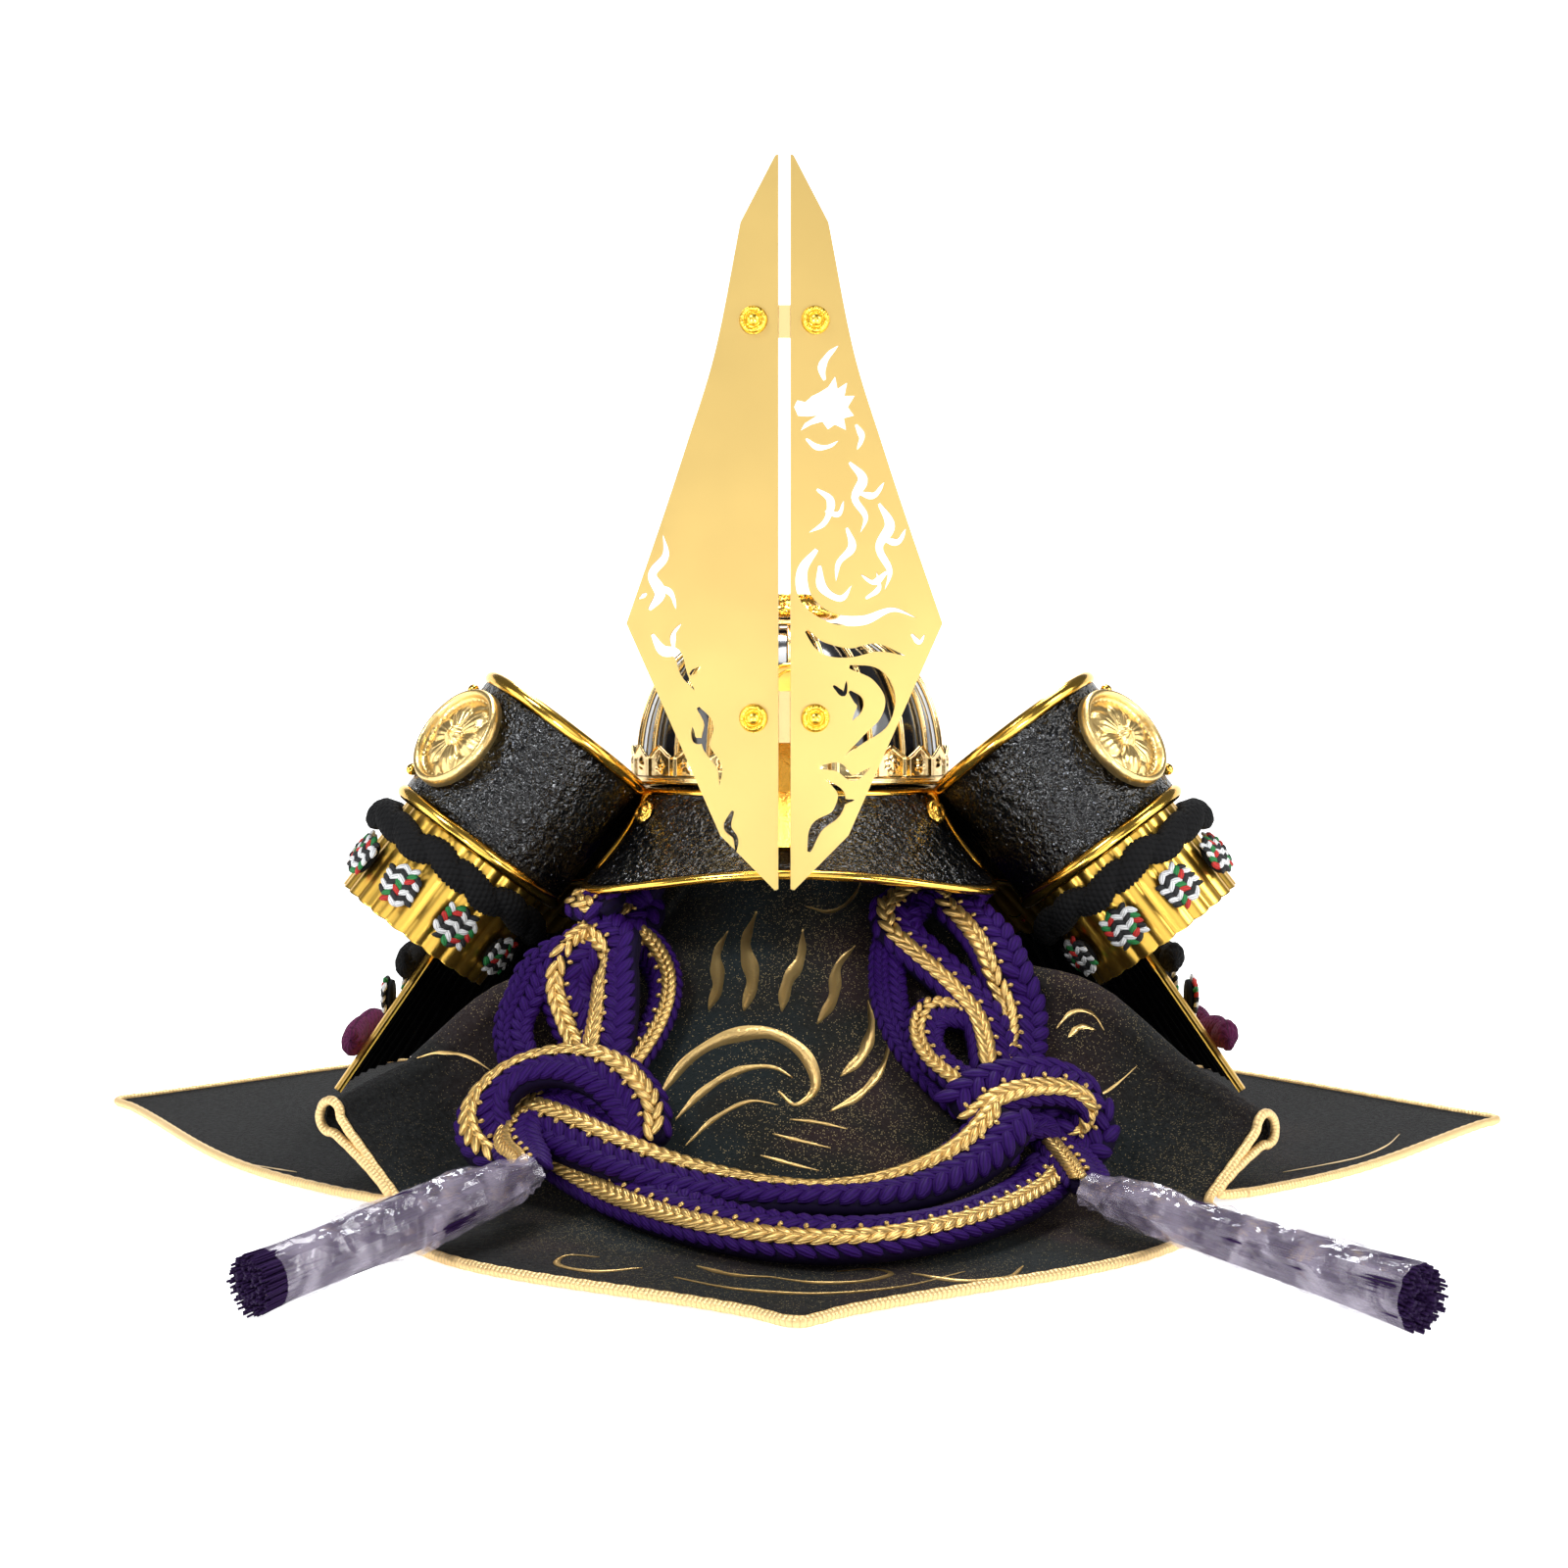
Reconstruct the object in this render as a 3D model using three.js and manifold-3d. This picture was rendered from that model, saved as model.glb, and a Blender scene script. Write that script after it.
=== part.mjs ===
// A samurai helmet (kabuto) for display: black ribbed bowl, leather-covered peak and turn-backs,
// corrugated gilt neck guard, tall pierced two-plate crest and a knotted chin cord with two tassels.
// It rests on a plain post that is draped with a square wrapping cloth.
// Millimetres, +Z up, the wearer's front towards -Y, origin at the bottom centre on the floor.
import * as THREE from "three";
import { mergeVertices } from "three/addons/utils/BufferGeometryUtils.js";
import Module from "manifold-3d";

const wasm = await Module();
wasm.setup();

// ---------------------------------------------------------------- driving dimensions
const GAP = 0.3; // clearance between neighbouring pieces

const BOWL = { radius: 64, baseZ: 142, height: 66, wall: 2.5, power: 2.6, ribs: 24 };
const RIB = { width: 1.8, height: 1.9 };
const CROWN = { radius: 66.7, wall: 1.4, bottomZ: 145.3, valleyZ: 153.5, peakZ: 157.5 };
const FRONT_PLATE = { halfWidth: 12, from: 0.115, to: 0.42, arch: 0.07, wall: 1.2 };
const BASE_RING = { inner: 65, outer: 69.5, bottomZ: 142.2, topZ: 145 };

const VISOR = { topRadius: 66.3, topZ: 137, spread: 60, halfWidth: 81, backY: -60, frontY: -115 };
const VISOR_WALL = 1.8;
const RIM_RADIUS = 1.8;

// The front ends of the two upper lames roll outwards about this slanting axis (right-hand side).
const ROLL_CENTRE = new THREE.Vector3(93, -28, 162);
const ROLL_AXIS = new THREE.Vector3(0.595, -0.12, -0.795).normalize();
const ROLL_TURN = 208; // degrees from the inner fold round the front to the free edge

// Each lame: how far along the roll axis it runs, and its edges at the side and at the back.
const LAMES = {
  lame_1: {
    roll: { radius: 38, from: 2.5, to: 55, columns: 9 },
    side: { topR: 66, topZ: 136.5, bottomR: 104, bottomZ: 100 },
    back: { topR: 66, topZ: 136.5, bottomR: 97, bottomZ: 96 },
    start: -4,
    columns: 11,
    wall: 2,
    wave: 0,
  },
  lame_2: {
    roll: { radius: 33.6, from: 50, to: 102, columns: 31 },
    side: { topR: 104.5, topZ: 106, bottomR: 146, bottomZ: 73 },
    back: { topR: 99, topZ: 101, bottomR: 127, bottomZ: 64 },
    start: -4,
    columns: 47,
    wall: 1.2,
    wave: 0.8,
  },
  lame_3: {
    roll: null,
    side: { topR: 151, topZ: 71, bottomR: 190, bottomZ: 14 },
    back: { topR: 131, topZ: 67, bottomR: 160, bottomZ: 13 },
    start: -7.7,
    columns: 59,
    wall: 1.4,
    wave: 1.2,
  },
};

const CREST = { centreX: -2, frontY: -122, wall: 1.2, yaw: 5 };

const CLOTH_WALL = 2.2;
const PIPING_RADIUS = 2.25;

// ---------------------------------------------------------------- materials
const finish = (color, roughness, metalness) =>
  new THREE.MeshStandardMaterial({ color, roughness, metalness });
const GOLD = finish(0xe0a92e, 0.22, 1);
const PALE_GOLD = finish(0xd9b877, 0.38, 1);
const LACQUER = finish(0x08080a, 0.12, 0);
const LEATHER = finish(0x121214, 0.5, 0);
const BLACK_YARN = finish(0x0e0e10, 0.95, 0);
const PURPLE_YARN = finish(0x4a1c44, 0.95, 0);
const MIXED_BRAID = finish(0x8a8f7c, 0.8, 0);
const VIOLET = finish(0x2a0f6b, 0.75, 0);
const CLOTH = finish(0x0b0b0c, 0.85, 0);
const PIPING = finish(0xcfa860, 0.5, 0.4);
const FILM = finish(0xb9b2bd, 0.15, 0);
const WOOD = finish(0x8a6a45, 0.7, 0);

// ---------------------------------------------------------------- helpers
const vec = (x, y, z) => new THREE.Vector3(x, y, z);
const rad = THREE.MathUtils.degToRad;
const lerp = THREE.MathUtils.lerp;
const route = (rows) => rows.map(([x, y, z]) => vec(x, y, z));
const mirrored = (points) => points.map((p) => vec(-p.x, p.y, p.z));
const smooth = (points, steps) => new THREE.CatmullRomCurve3(points).getSpacedPoints(steps);

/** One set of shared vertices, without the triangles that have lost a side. */
function weld(geometry) {
  const bare = new THREE.BufferGeometry();
  bare.setAttribute("position", geometry.getAttribute("position").clone());
  if (geometry.index) bare.setIndex(geometry.index.clone());
  const merged = mergeVertices(bare, 1e-3);
  const index = merged.index.array;
  const kept = [];
  for (let i = 0; i < index.length; i += 3) {
    const [a, b, c] = [index[i], index[i + 1], index[i + 2]];
    if (a !== b && b !== c && a !== c) kept.push(a, b, c);
  }
  merged.setIndex(kept);
  return merged;
}

/** Turns a closed surface so that its faces point outwards. */
function facingOut(geometry) {
  const position = geometry.getAttribute("position");
  const index = geometry.index.array;
  const [a, b, c] = [vec(), vec(), vec()];
  let volume = 0;
  for (let i = 0; i < index.length; i += 3) {
    a.fromBufferAttribute(position, index[i]);
    b.fromBufferAttribute(position, index[i + 1]);
    c.fromBufferAttribute(position, index[i + 2]);
    volume += a.dot(b.cross(c));
  }
  if (volume >= 0) return geometry;
  const turned = [];
  for (let i = 0; i < index.length; i += 3) turned.push(index[i], index[i + 2], index[i + 1]);
  geometry.setIndex(turned);
  return geometry;
}

function closedSurface(points, triangles) {
  const geometry = new THREE.BufferGeometry().setFromPoints(points);
  geometry.setIndex(triangles);
  return facingOut(weld(geometry));
}

function solidOf(geometry) {
  const g = facingOut(weld(geometry));
  const triVerts = new Uint32Array(g.index.array);
  const vertProperties = new Float32Array(g.getAttribute("position").array);
  return new wasm.Manifold(new wasm.Mesh({ numProp: 3, vertProperties, triVerts }));
}

/** The solid's surface, without corners that lie within the given distance of it. */
function geometryOf(solid, coarseness = 0.02) {
  const mesh = solid.setTolerance(coarseness).getMesh();
  const geometry = new THREE.BufferGeometry();
  geometry.setAttribute("position", new THREE.BufferAttribute(mesh.vertProperties, 3));
  geometry.setIndex(Array.from(mesh.triVerts));
  return geometry;
}

const joined = (geometries) =>
  geometryOf(geometries.map(solidOf).reduce((whole, piece) => whole.add(piece)));

const cut = (geometry, tools) =>
  geometryOf(tools.map(solidOf).reduce((whole, tool) => whole.subtract(tool), solidOf(geometry)));

/** The largest body that is left of a solid when the others have been cut out of it. */
function clearOf(solid, others) {
  const rest = others.reduce((whole, other) => whole.subtract(other), solid);
  return rest.decompose().reduce((a, b) => (a.volume() > b.volume() ? a : b));
}

/** Unit normals of a grid of points, rows of columns; the sign follows column x row. */
function gridNormals(grid, wrap) {
  const rows = grid.length;
  const cols = grid[0].length;
  const at = (i, j) => grid[Math.min(Math.max(i, 0), rows - 1)][
    wrap ? (j + cols) % cols : Math.min(Math.max(j, 0), cols - 1)
  ];
  return grid.map((row, i) =>
    row.map((_, j) => {
      const across = at(i, j + 1).clone().sub(at(i, j - 1));
      const along = at(i + 1, j).clone().sub(at(i - 1, j));
      return across.cross(along).normalize();
    }),
  );
}

/** A closed wall between a face and its back, both grids of points. */
function wallBetween(face, back, wrap = false) {
  const rows = face.length;
  const cols = face[0].length;
  const points = [...face.flat(), ...back.flat()];
  const triangles = [];
  const front = (i, j) => i * cols + (j % cols);
  const behind = (i, j) => rows * cols + front(i, j);
  const quad = (a, b, c, d) => triangles.push(a, b, c, a, c, d);
  const lastCol = wrap ? cols : cols - 1;
  for (let i = 0; i < rows - 1; i++)
    for (let j = 0; j < lastCol; j++) {
      quad(front(i, j), front(i, j + 1), front(i + 1, j + 1), front(i + 1, j));
      quad(behind(i, j), behind(i + 1, j), behind(i + 1, j + 1), behind(i, j + 1));
    }
  for (let j = 0; j < lastCol; j++) {
    quad(front(0, j + 1), front(0, j), behind(0, j), behind(0, j + 1));
    quad(front(rows - 1, j), front(rows - 1, j + 1), behind(rows - 1, j + 1), behind(rows - 1, j));
  }
  if (!wrap)
    for (let i = 0; i < rows - 1; i++) {
      quad(front(i, 0), front(i + 1, 0), behind(i + 1, 0), behind(i, 0));
      quad(front(i + 1, lastCol), front(i, lastCol), behind(i, lastCol), behind(i + 1, lastCol));
    }
  return closedSurface(points, triangles);
}

const shifted = (grid, normals, distance) =>
  grid.map((row, i) => row.map((p, j) => p.clone().addScaledVector(normals[i][j], distance)));

/** A wall with the grid as its middle surface. */
function sheetSolid(grid, thickness, wrap = false) {
  const normals = gridNormals(grid, wrap);
  return wallBetween(
    shifted(grid, normals, thickness / 2),
    shifted(grid, normals, -thickness / 2),
    wrap,
  );
}

/** Tube round a closed line; an extrusion along it would keep its two end caps. */
function closedTube(points, radius, sides) {
  const count = points.length;
  const tangents = points.map((_, i) =>
    points[(i + 1) % count].clone().sub(points[(i + count - 1) % count]).normalize(),
  );
  const normals = [vec(0.31, 0.2, 1).cross(tangents[0]).normalize()];
  for (let i = 1; i <= count; i++) {
    const turn = new THREE.Quaternion().setFromUnitVectors(tangents[i - 1], tangents[i % count]);
    normals.push(normals[i - 1].clone().applyQuaternion(turn));
  }
  const side = tangents[0].clone().cross(normals[0]);
  const twist = Math.atan2(normals[count].dot(side), normals[count].dot(normals[0]));
  const rings = points.map((p, i) => {
    const normal = normals[i].clone().applyAxisAngle(tangents[i], (-twist * i) / count);
    const binormal = tangents[i].clone().cross(normal);
    return Array.from({ length: sides }, (_, k) => {
      const angle = (2 * Math.PI * k) / sides;
      return p.clone()
        .addScaledVector(normal, radius * Math.cos(angle))
        .addScaledVector(binormal, radius * Math.sin(angle));
    });
  });
  const triangles = [];
  for (let i = 0; i < count; i++)
    for (let k = 0; k < sides; k++) {
      const [a, b] = [i * sides + k, i * sides + ((k + 1) % sides)];
      const [c, d] = [((i + 1) % count) * sides + k, ((i + 1) % count) * sides + ((k + 1) % sides)];
      triangles.push(a, b, d, a, d, c);
    }
  return closedSurface(rings.flat(), triangles);
}

/** A body of revolution about Z from a profile of [radius, height] rows. */
function turned(profile, segments, closeProfile = false) {
  const points = profile.map(([r, z]) => new THREE.Vector2(r, z));
  if (closeProfile) points.push(points[0].clone());
  return new THREE.LatheGeometry(points, segments).rotateX(Math.PI / 2);
}

/** A flat outline in X and Z, extruded towards +Y from y = 0. */
function plateXZ(outline, depth) {
  const shape = new THREE.Shape(outline.map(([x, z]) => new THREE.Vector2(x, z)));
  const geometry = new THREE.ExtrudeGeometry(shape, { depth, bevelEnabled: false });
  return geometry.rotateX(Math.PI / 2).translate(0, depth, 0);
}

/** A side profile in Y and Z, extruded equally to both sides of x = 0. */
function profileYZ(outline, width) {
  const shape = new THREE.Shape(outline.map(([y, z]) => new THREE.Vector2(y, z)));
  const geometry = new THREE.ExtrudeGeometry(shape, { depth: width, bevelEnabled: false });
  const toYZ = new THREE.Matrix4().makeBasis(vec(0, 1, 0), vec(0, 0, 1), vec(1, 0, 0));
  return geometry.applyMatrix4(toYZ).translate(-width / 2, 0, 0);
}

const helmet = new THREE.Group();

function addPiece(name, geometry, material, parent = helmet) {
  const mesh = new THREE.Mesh(geometry, material);
  mesh.name = name;
  parent.add(mesh);
  return mesh;
}

// ---------------------------------------------------------------- bowl
/** Radius of the dome at a share of its height, and the height at that share. */
function domePoint(radius, height, share) {
  const angle = (share * Math.PI) / 2;
  return [
    radius * Math.cos(angle) ** (2 / BOWL.power),
    BOWL.baseZ + height * Math.sin(angle) ** (2 / BOWL.power),
  ];
}

// Shares of the height where the faceted dome has its edges; the ribs bend at the same places.
const DOME_SHARES = [0.02, 0.2, 0.4, 0.62, 0.84];

function addBowl() {
  const innerRadius = BOWL.radius - BOWL.wall;
  const innerHeight = BOWL.height - BOWL.wall;
  const shares = [0, ...DOME_SHARES];
  const outer = shares.map((s) => domePoint(BOWL.radius, BOWL.height, s));
  const inner = [0, 0.3, 0.6, 0.84].map((s) => domePoint(innerRadius, innerHeight, s));
  const profile = [
    [0, BOWL.baseZ + innerHeight],
    ...inner.reverse(),
    ...outer,
    [0, BOWL.baseZ + BOWL.height],
  ];
  addPiece("bowl", turned(profile, BOWL.ribs), LACQUER);

  // Ribs of three-cornered section stand on the corners of the bowl and hang from a ring on top.
  const clear = GAP + 0.1;
  const under = DOME_SHARES.map((s) => domePoint(BOWL.radius + clear, BOWL.height + clear, s));
  const over = DOME_SHARES.map((s) =>
    domePoint(BOWL.radius + clear + RIB.height, BOWL.height + clear + RIB.height, s),
  );
  const stations = under.map(([r, z], k) => [
    vec(r, -RIB.width / 2, z),
    vec(r, RIB.width / 2, z),
    vec(over[k][0], 0, over[k][1]),
  ]);
  const triangles = [0, 1, 2];
  for (let k = 0; k < stations.length - 1; k++)
    for (let c = 0; c < 3; c++) {
      const [a, b] = [3 * k + c, 3 * k + ((c + 1) % 3)];
      triangles.push(a, b + 3, b, a, a + 3, b + 3);
    }
  const end = 3 * (stations.length - 1);
  triangles.push(end, end + 2, end + 1);
  const rib = closedSurface(stations.flat(), triangles);
  const step = 360 / BOWL.ribs;
  const ribs = Array.from({ length: BOWL.ribs }, (_, k) => rib.clone().rotateZ(rad(k * step)));

  const last = DOME_SHARES.length - 1;
  const [inside, outside] = [under[last][0] - 7, under[last][0] + 1];
  const [bottom, top] = [over[last][1] - 0.5, over[last][1] + 0.9];
  const ring = turned(
    [
      [inside, bottom],
      [outside, bottom],
      [outside, top],
      [inside, top],
    ],
    BOWL.ribs,
    true,
  );
  addPiece("bowl_ribs", joined([ring, ...ribs]), GOLD);
}

function addCrownBand() {
  const plates = BOWL.ribs;
  const columns = Array.from({ length: plates * 2 }, (_, k) => rad((k * 180) / plates));
  const ring = (radius, heightAt) =>
    columns.map((a, k) => vec(radius * Math.cos(a), radius * Math.sin(a), heightAt(k)));
  const top = (k) => (k % 2 ? CROWN.peakZ : CROWN.valleyZ);
  const outerRadius = CROWN.radius + CROWN.wall;
  const face = [ring(outerRadius, () => CROWN.bottomZ), ring(outerRadius, top)];
  const back = [ring(CROWN.radius, () => CROWN.bottomZ), ring(CROWN.radius, top)];
  addPiece("crown_band", wallBetween(face, back, true), GOLD);

  const ringProfile = [
    [BASE_RING.inner, BASE_RING.bottomZ],
    [BASE_RING.outer, BASE_RING.bottomZ],
    [BASE_RING.outer, BASE_RING.topZ],
    [BASE_RING.inner, BASE_RING.topZ],
  ];
  addPiece("base_ring", turned(ringProfile, 24, true), GOLD);
}

/** Plate with an arched top on the front of the bowl, seen between the two halves of the crest. */
function addFrontPlate() {
  const { halfWidth, from, to, arch, wall } = FRONT_PLATE;
  const clear = RIB.height + 3 * GAP + wall / 2;
  const grid = [0, 0.35, 0.7, 1].map((v) =>
    [-1, -0.66, -0.33, 0, 0.33, 0.66, 1].map((u) => {
      const share = lerp(from, to - arch * u * u, v);
      const [radius, z] = domePoint(BOWL.radius + clear, BOWL.height + clear, share);
      const x = halfWidth * u;
      return vec(x, -Math.sqrt(radius * radius - x * x), z);
    }),
  );
  addPiece("front_plate", sheetSolid(grid, wall), PALE_GOLD);
}

/** Ring of petals at the very top, open in the middle. */
function addFinial() {
  const bottom = BOWL.baseZ + BOWL.height + GAP + 3.4;
  const petals = 8;
  const profile = [
    [7, bottom + 1],
    [18, bottom],
    [20, bottom + 3],
    [14, bottom + 6],
    [11, bottom + 10],
    [7, bottom + 9],
  ];
  const columns = petals * 3;
  const grid = profile.map(([r, z], row) =>
    Array.from({ length: columns }, (_, k) => {
      const angle = (2 * Math.PI * k) / columns;
      const lobe = row === 0 || row === profile.length - 1 ? 0 : 0.09 * Math.cos(petals * angle);
      const radius = r * (1 + lobe);
      return vec(radius * Math.cos(angle), radius * Math.sin(angle), z);
    }),
  );
  const triangles = [];
  const rows = profile.length;
  for (let i = 0; i < rows; i++)
    for (let j = 0; j < columns; j++) {
      const [a, b] = [i * columns + j, i * columns + ((j + 1) % columns)];
      const next = ((i + 1) % rows) * columns;
      const [c, d] = [next + j, next + ((j + 1) % columns)];
      triangles.push(a, b, d, a, d, c);
    }
  addPiece("finial", closedSurface(grid.flat(), triangles), GOLD);
}

// ---------------------------------------------------------------- visor
/** Point of the visor's middle surface; u runs from -1 to 1 across, v from 0 at the bowl to 1. */
function visorPoint(u, v) {
  const angle = rad(u * VISOR.spread);
  const top = vec(
    VISOR.topRadius * Math.sin(angle),
    -VISOR.topRadius * Math.cos(angle),
    VISOR.topZ,
  );
  const sweep = (u * Math.PI) / 2;
  const low = vec(
    VISOR.halfWidth * Math.sin(sweep),
    VISOR.backY + (VISOR.frontY - VISOR.backY) * Math.cos(sweep),
    111 - 8 * Math.sin(Math.min(Math.abs(u) / 0.8, 1) * (Math.PI / 2)) ** 2,
  );
  const point = top.lerp(low, v);
  point.z -= 3 * Math.sin(Math.PI * Math.min(v, 1));
  return point;
}

/** How far down the visor reaches at u: the two lower corners are rounded off. */
function visorReach(u) {
  const over = Math.max(0, (Math.abs(u) - 0.78) / 0.22);
  return 1 - 0.24 * (1 - Math.sqrt(1 - Math.min(over, 1) ** 2));
}

function addVisor() {
  const columns = 14;
  const rows = 3;
  const across = Array.from({ length: columns + 1 }, (_, j) => Math.sin(((j / columns) * 2 - 1) * 1.45));
  const us = across.map((value) => value / across[columns]);
  const grid = Array.from({ length: rows + 1 }, (_, i) =>
    us.map((u) => visorPoint(u, (i / rows) * visorReach(u))),
  );
  addPiece("visor", sheetSolid(grid, VISOR_WALL), LEATHER);

  // The rim follows the four edges, just clear of them.
  const clear = RIM_RADIUS + GAP;
  const outward = (edge, inside) => edge.clone().sub(inside).setLength(clear).add(edge);
  const inner = us.slice(1, -1);
  const top = inner.map((u) => outward(visorPoint(u, 0), visorPoint(u, 0.1)));
  const bottom = inner.map((u) => {
    const reach = visorReach(u);
    return outward(visorPoint(u, reach), visorPoint(u * 0.985, reach - 0.1));
  });
  const side = (sign) =>
    [0, 0.5, 1].map((share) => {
      const v = share * visorReach(1);
      const within = visorPoint(sign * 0.95, lerp(v, 0.5 * visorReach(1), 0.12));
      const edge = visorPoint(sign, v);
      return edge.clone().sub(within).setLength(share === 0.5 ? 1.15 * clear : 2.2 * clear).add(edge);
    });
  const loop = [...top, ...side(1), ...bottom.reverse(), ...side(-1).reverse()];
  addPiece("visor_rim", closedTube(loop, RIM_RADIUS, 5), GOLD);

  for (const [name, sign] of [["visor_rivet_left", -1], ["visor_rivet_right", 1]]) {
    const centre = visorPoint(sign * 0.9, 0.17);
    const acrossDir = visorPoint(sign * 0.94, 0.17).sub(visorPoint(sign * 0.86, 0.17));
    const downDir = visorPoint(sign * 0.9, 0.27).sub(visorPoint(sign * 0.9, 0.07));
    const normal = acrossDir.cross(downDir).normalize();
    if (normal.y > 0) normal.negate();
    const disc = turned(
      [
        [0, 0],
        [4.2, 0],
        [4.6, 1],
        [2.6, 2.3],
        [0, 2.6],
      ],
      12,
    );
    disc.scale(0.8, 1.25, 1);
    const rivet = addPiece(name, disc, GOLD);
    rivet.position.copy(centre.addScaledVector(normal, VISOR_WALL / 2 + 0.5));
    rivet.quaternion.setFromUnitVectors(vec(0, 0, 1), normal);
  }
}

// ---------------------------------------------------------------- neck guard
const ROLL_INWARD = vec(-1, 0, 0)
  .addScaledVector(ROLL_AXIS, -vec(-1, 0, 0).dot(ROLL_AXIS))
  .normalize();
const ROLL_FRONT = ROLL_INWARD.clone().cross(ROLL_AXIS).normalize();

/** Point of the right-hand roll: radius, distance along the axis, degrees from the inner fold. */
function rollPoint(radius, along, turn) {
  return ROLL_CENTRE.clone()
    .addScaledVector(ROLL_AXIS, along)
    .addScaledVector(ROLL_INWARD, radius * Math.cos(rad(turn)))
    .addScaledVector(ROLL_FRONT, radius * Math.sin(rad(turn)));
}

/** Point of a lame behind the fold: azimuth in degrees from +X, share from its top edge. */
function guardPoint(lame, azimuth, share, raise = 0) {
  const backness = Math.max(0, Math.sin(rad(azimuth))) ** 2;
  const edge = (key) => lerp(lame.side[key], lame.back[key], backness);
  const [topR, topZ, bottomR, bottomZ] = ["topR", "topZ", "bottomR", "bottomZ"].map(edge);
  const slope = new THREE.Vector2(bottomR - topR, bottomZ - topZ).normalize();
  const radius = lerp(topR, bottomR, share) - slope.y * raise;
  const height = lerp(topZ, bottomZ, share) + slope.x * raise;
  return vec(radius * Math.cos(rad(azimuth)), radius * Math.sin(rad(azimuth)), height);
}

/** The lame's edge line at a share of its depth, from the right free end round to the left. */
function lameLine(lame, share) {
  const right = [];
  if (lame.roll) {
    const { radius, from, to, columns } = lame.roll;
    for (let k = 0; k < columns; k++)
      right.push(rollPoint(radius, lerp(from, to, share), ROLL_TURN * (1 - k / (columns - 1))));
  }
  const guard = Array.from({ length: lame.columns }, (_, k) =>
    guardPoint(lame, lerp(lame.start, 180 - lame.start, k / (lame.columns - 1)), share),
  );
  return [...right, ...guard, ...mirrored(right).reverse()];
}

function addLames() {
  for (const [name, lame] of Object.entries(LAMES)) {
    let grid = [lameLine(lame, 0), lameLine(lame, 1)];
    if (lame.wave) {
      const normals = gridNormals(grid, false);
      grid = grid.map((row, i) =>
        row.map((p, j) => p.clone().addScaledVector(normals[i][j], j % 2 ? lame.wave : -lame.wave)),
      );
    }
    addPiece(name, sheetSolid(grid, lame.wall), name === "lame_1" ? LEATHER : GOLD);
  }

  // One rim runs round all four edges of the uppermost lame.
  const top = lameLine(LAMES.lame_1, 0);
  const bottom = lameLine(LAMES.lame_1, 1);
  const clear = 2.55 + GAP;
  const down = top.map((p, k) => bottom[k].clone().sub(p).normalize());
  const upper = top.map((p, k) => p.clone().addScaledVector(down[k], -clear));
  const lower = bottom.map((p, k) => p.clone().addScaledVector(down[k], clear));
  const freeEdge = (k, inside) => {
    const out = top[k].clone().sub(top[inside]).setLength(clear);
    return [0.04, 0.5, 0.96].map((s) => top[k].clone().lerp(bottom[k], s).add(out));
  };
  const last = top.length - 1;
  const loop = [
    ...upper,
    ...freeEdge(last, last - 1),
    ...lower.reverse(),
    ...freeEdge(0, 1).reverse(),
  ];
  addPiece("lame_1_rim", closedTube(loop, 2, 5), GOLD);
}

/** A row of yarn or of braided ties: a round whose size swells once for every lump. */
function lumpyRow(points, lumps, thick, thin, sides = 5) {
  const line = smooth(points, lumps * 2);
  const grid = [];
  line.forEach((p, i) => {
    const next = line[Math.min(i + 1, line.length - 1)];
    const before = line[Math.max(i - 1, 0)];
    const tangent = next.clone().sub(before).normalize();
    const side = vec(0, 0, 1).cross(tangent).normalize();
    const up = tangent.clone().cross(side);
    const radius = i % 2 ? thick : thin;
    grid.push(
      Array.from({ length: sides }, (_, k) => {
        const angle = (2 * Math.PI * k) / sides;
        return p.clone()
          .addScaledVector(side, radius * Math.cos(angle))
          .addScaledVector(up, radius * Math.sin(angle));
      }),
    );
  });
  const triangles = [];
  for (let i = 0; i < grid.length - 1; i++)
    for (let k = 0; k < sides; k++) {
      const [a, b] = [i * sides + k, i * sides + ((k + 1) % sides)];
      triangles.push(a, b, b + sides, a, b + sides, a + sides);
    }
  const end = (grid.length - 1) * sides;
  for (let k = 1; k < sides - 1; k++) {
    triangles.push(0, k + 1, k);
    triangles.push(end, end + k, end + k + 1);
  }
  return closedSurface(grid.flat(), triangles);
}

// Rows of lacing: where each lies on its lame, its lumps and its half-thickness.
const ROWS = [
  { name: "yarn_2", lame: "lame_2", share: 0.34, rollLumps: 4, lumps: 10, thick: 5.4, thin: 4.5,
    material: BLACK_YARN },
  { name: "ties_2", lame: "lame_2", share: 0.72, rollLumps: 5, lumps: 14, thick: 4.2, thin: 1.4,
    material: MIXED_BRAID },
  { name: "yarn_3", lame: "lame_3", share: 0.14, rollLumps: 0, lumps: 12, thick: 5, thin: 4.2,
    material: BLACK_YARN },
  { name: "ties_3", lame: "lame_3", share: 0.42, rollLumps: 0, lumps: 16, thick: 4.2, thin: 1.4,
    material: MIXED_BRAID },
  { name: "purple_yarn_3", lame: "lame_3", share: 0.71, rollLumps: 0, lumps: 12, thick: 5, thin: 4.2,
    material: PURPLE_YARN },
];

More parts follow.
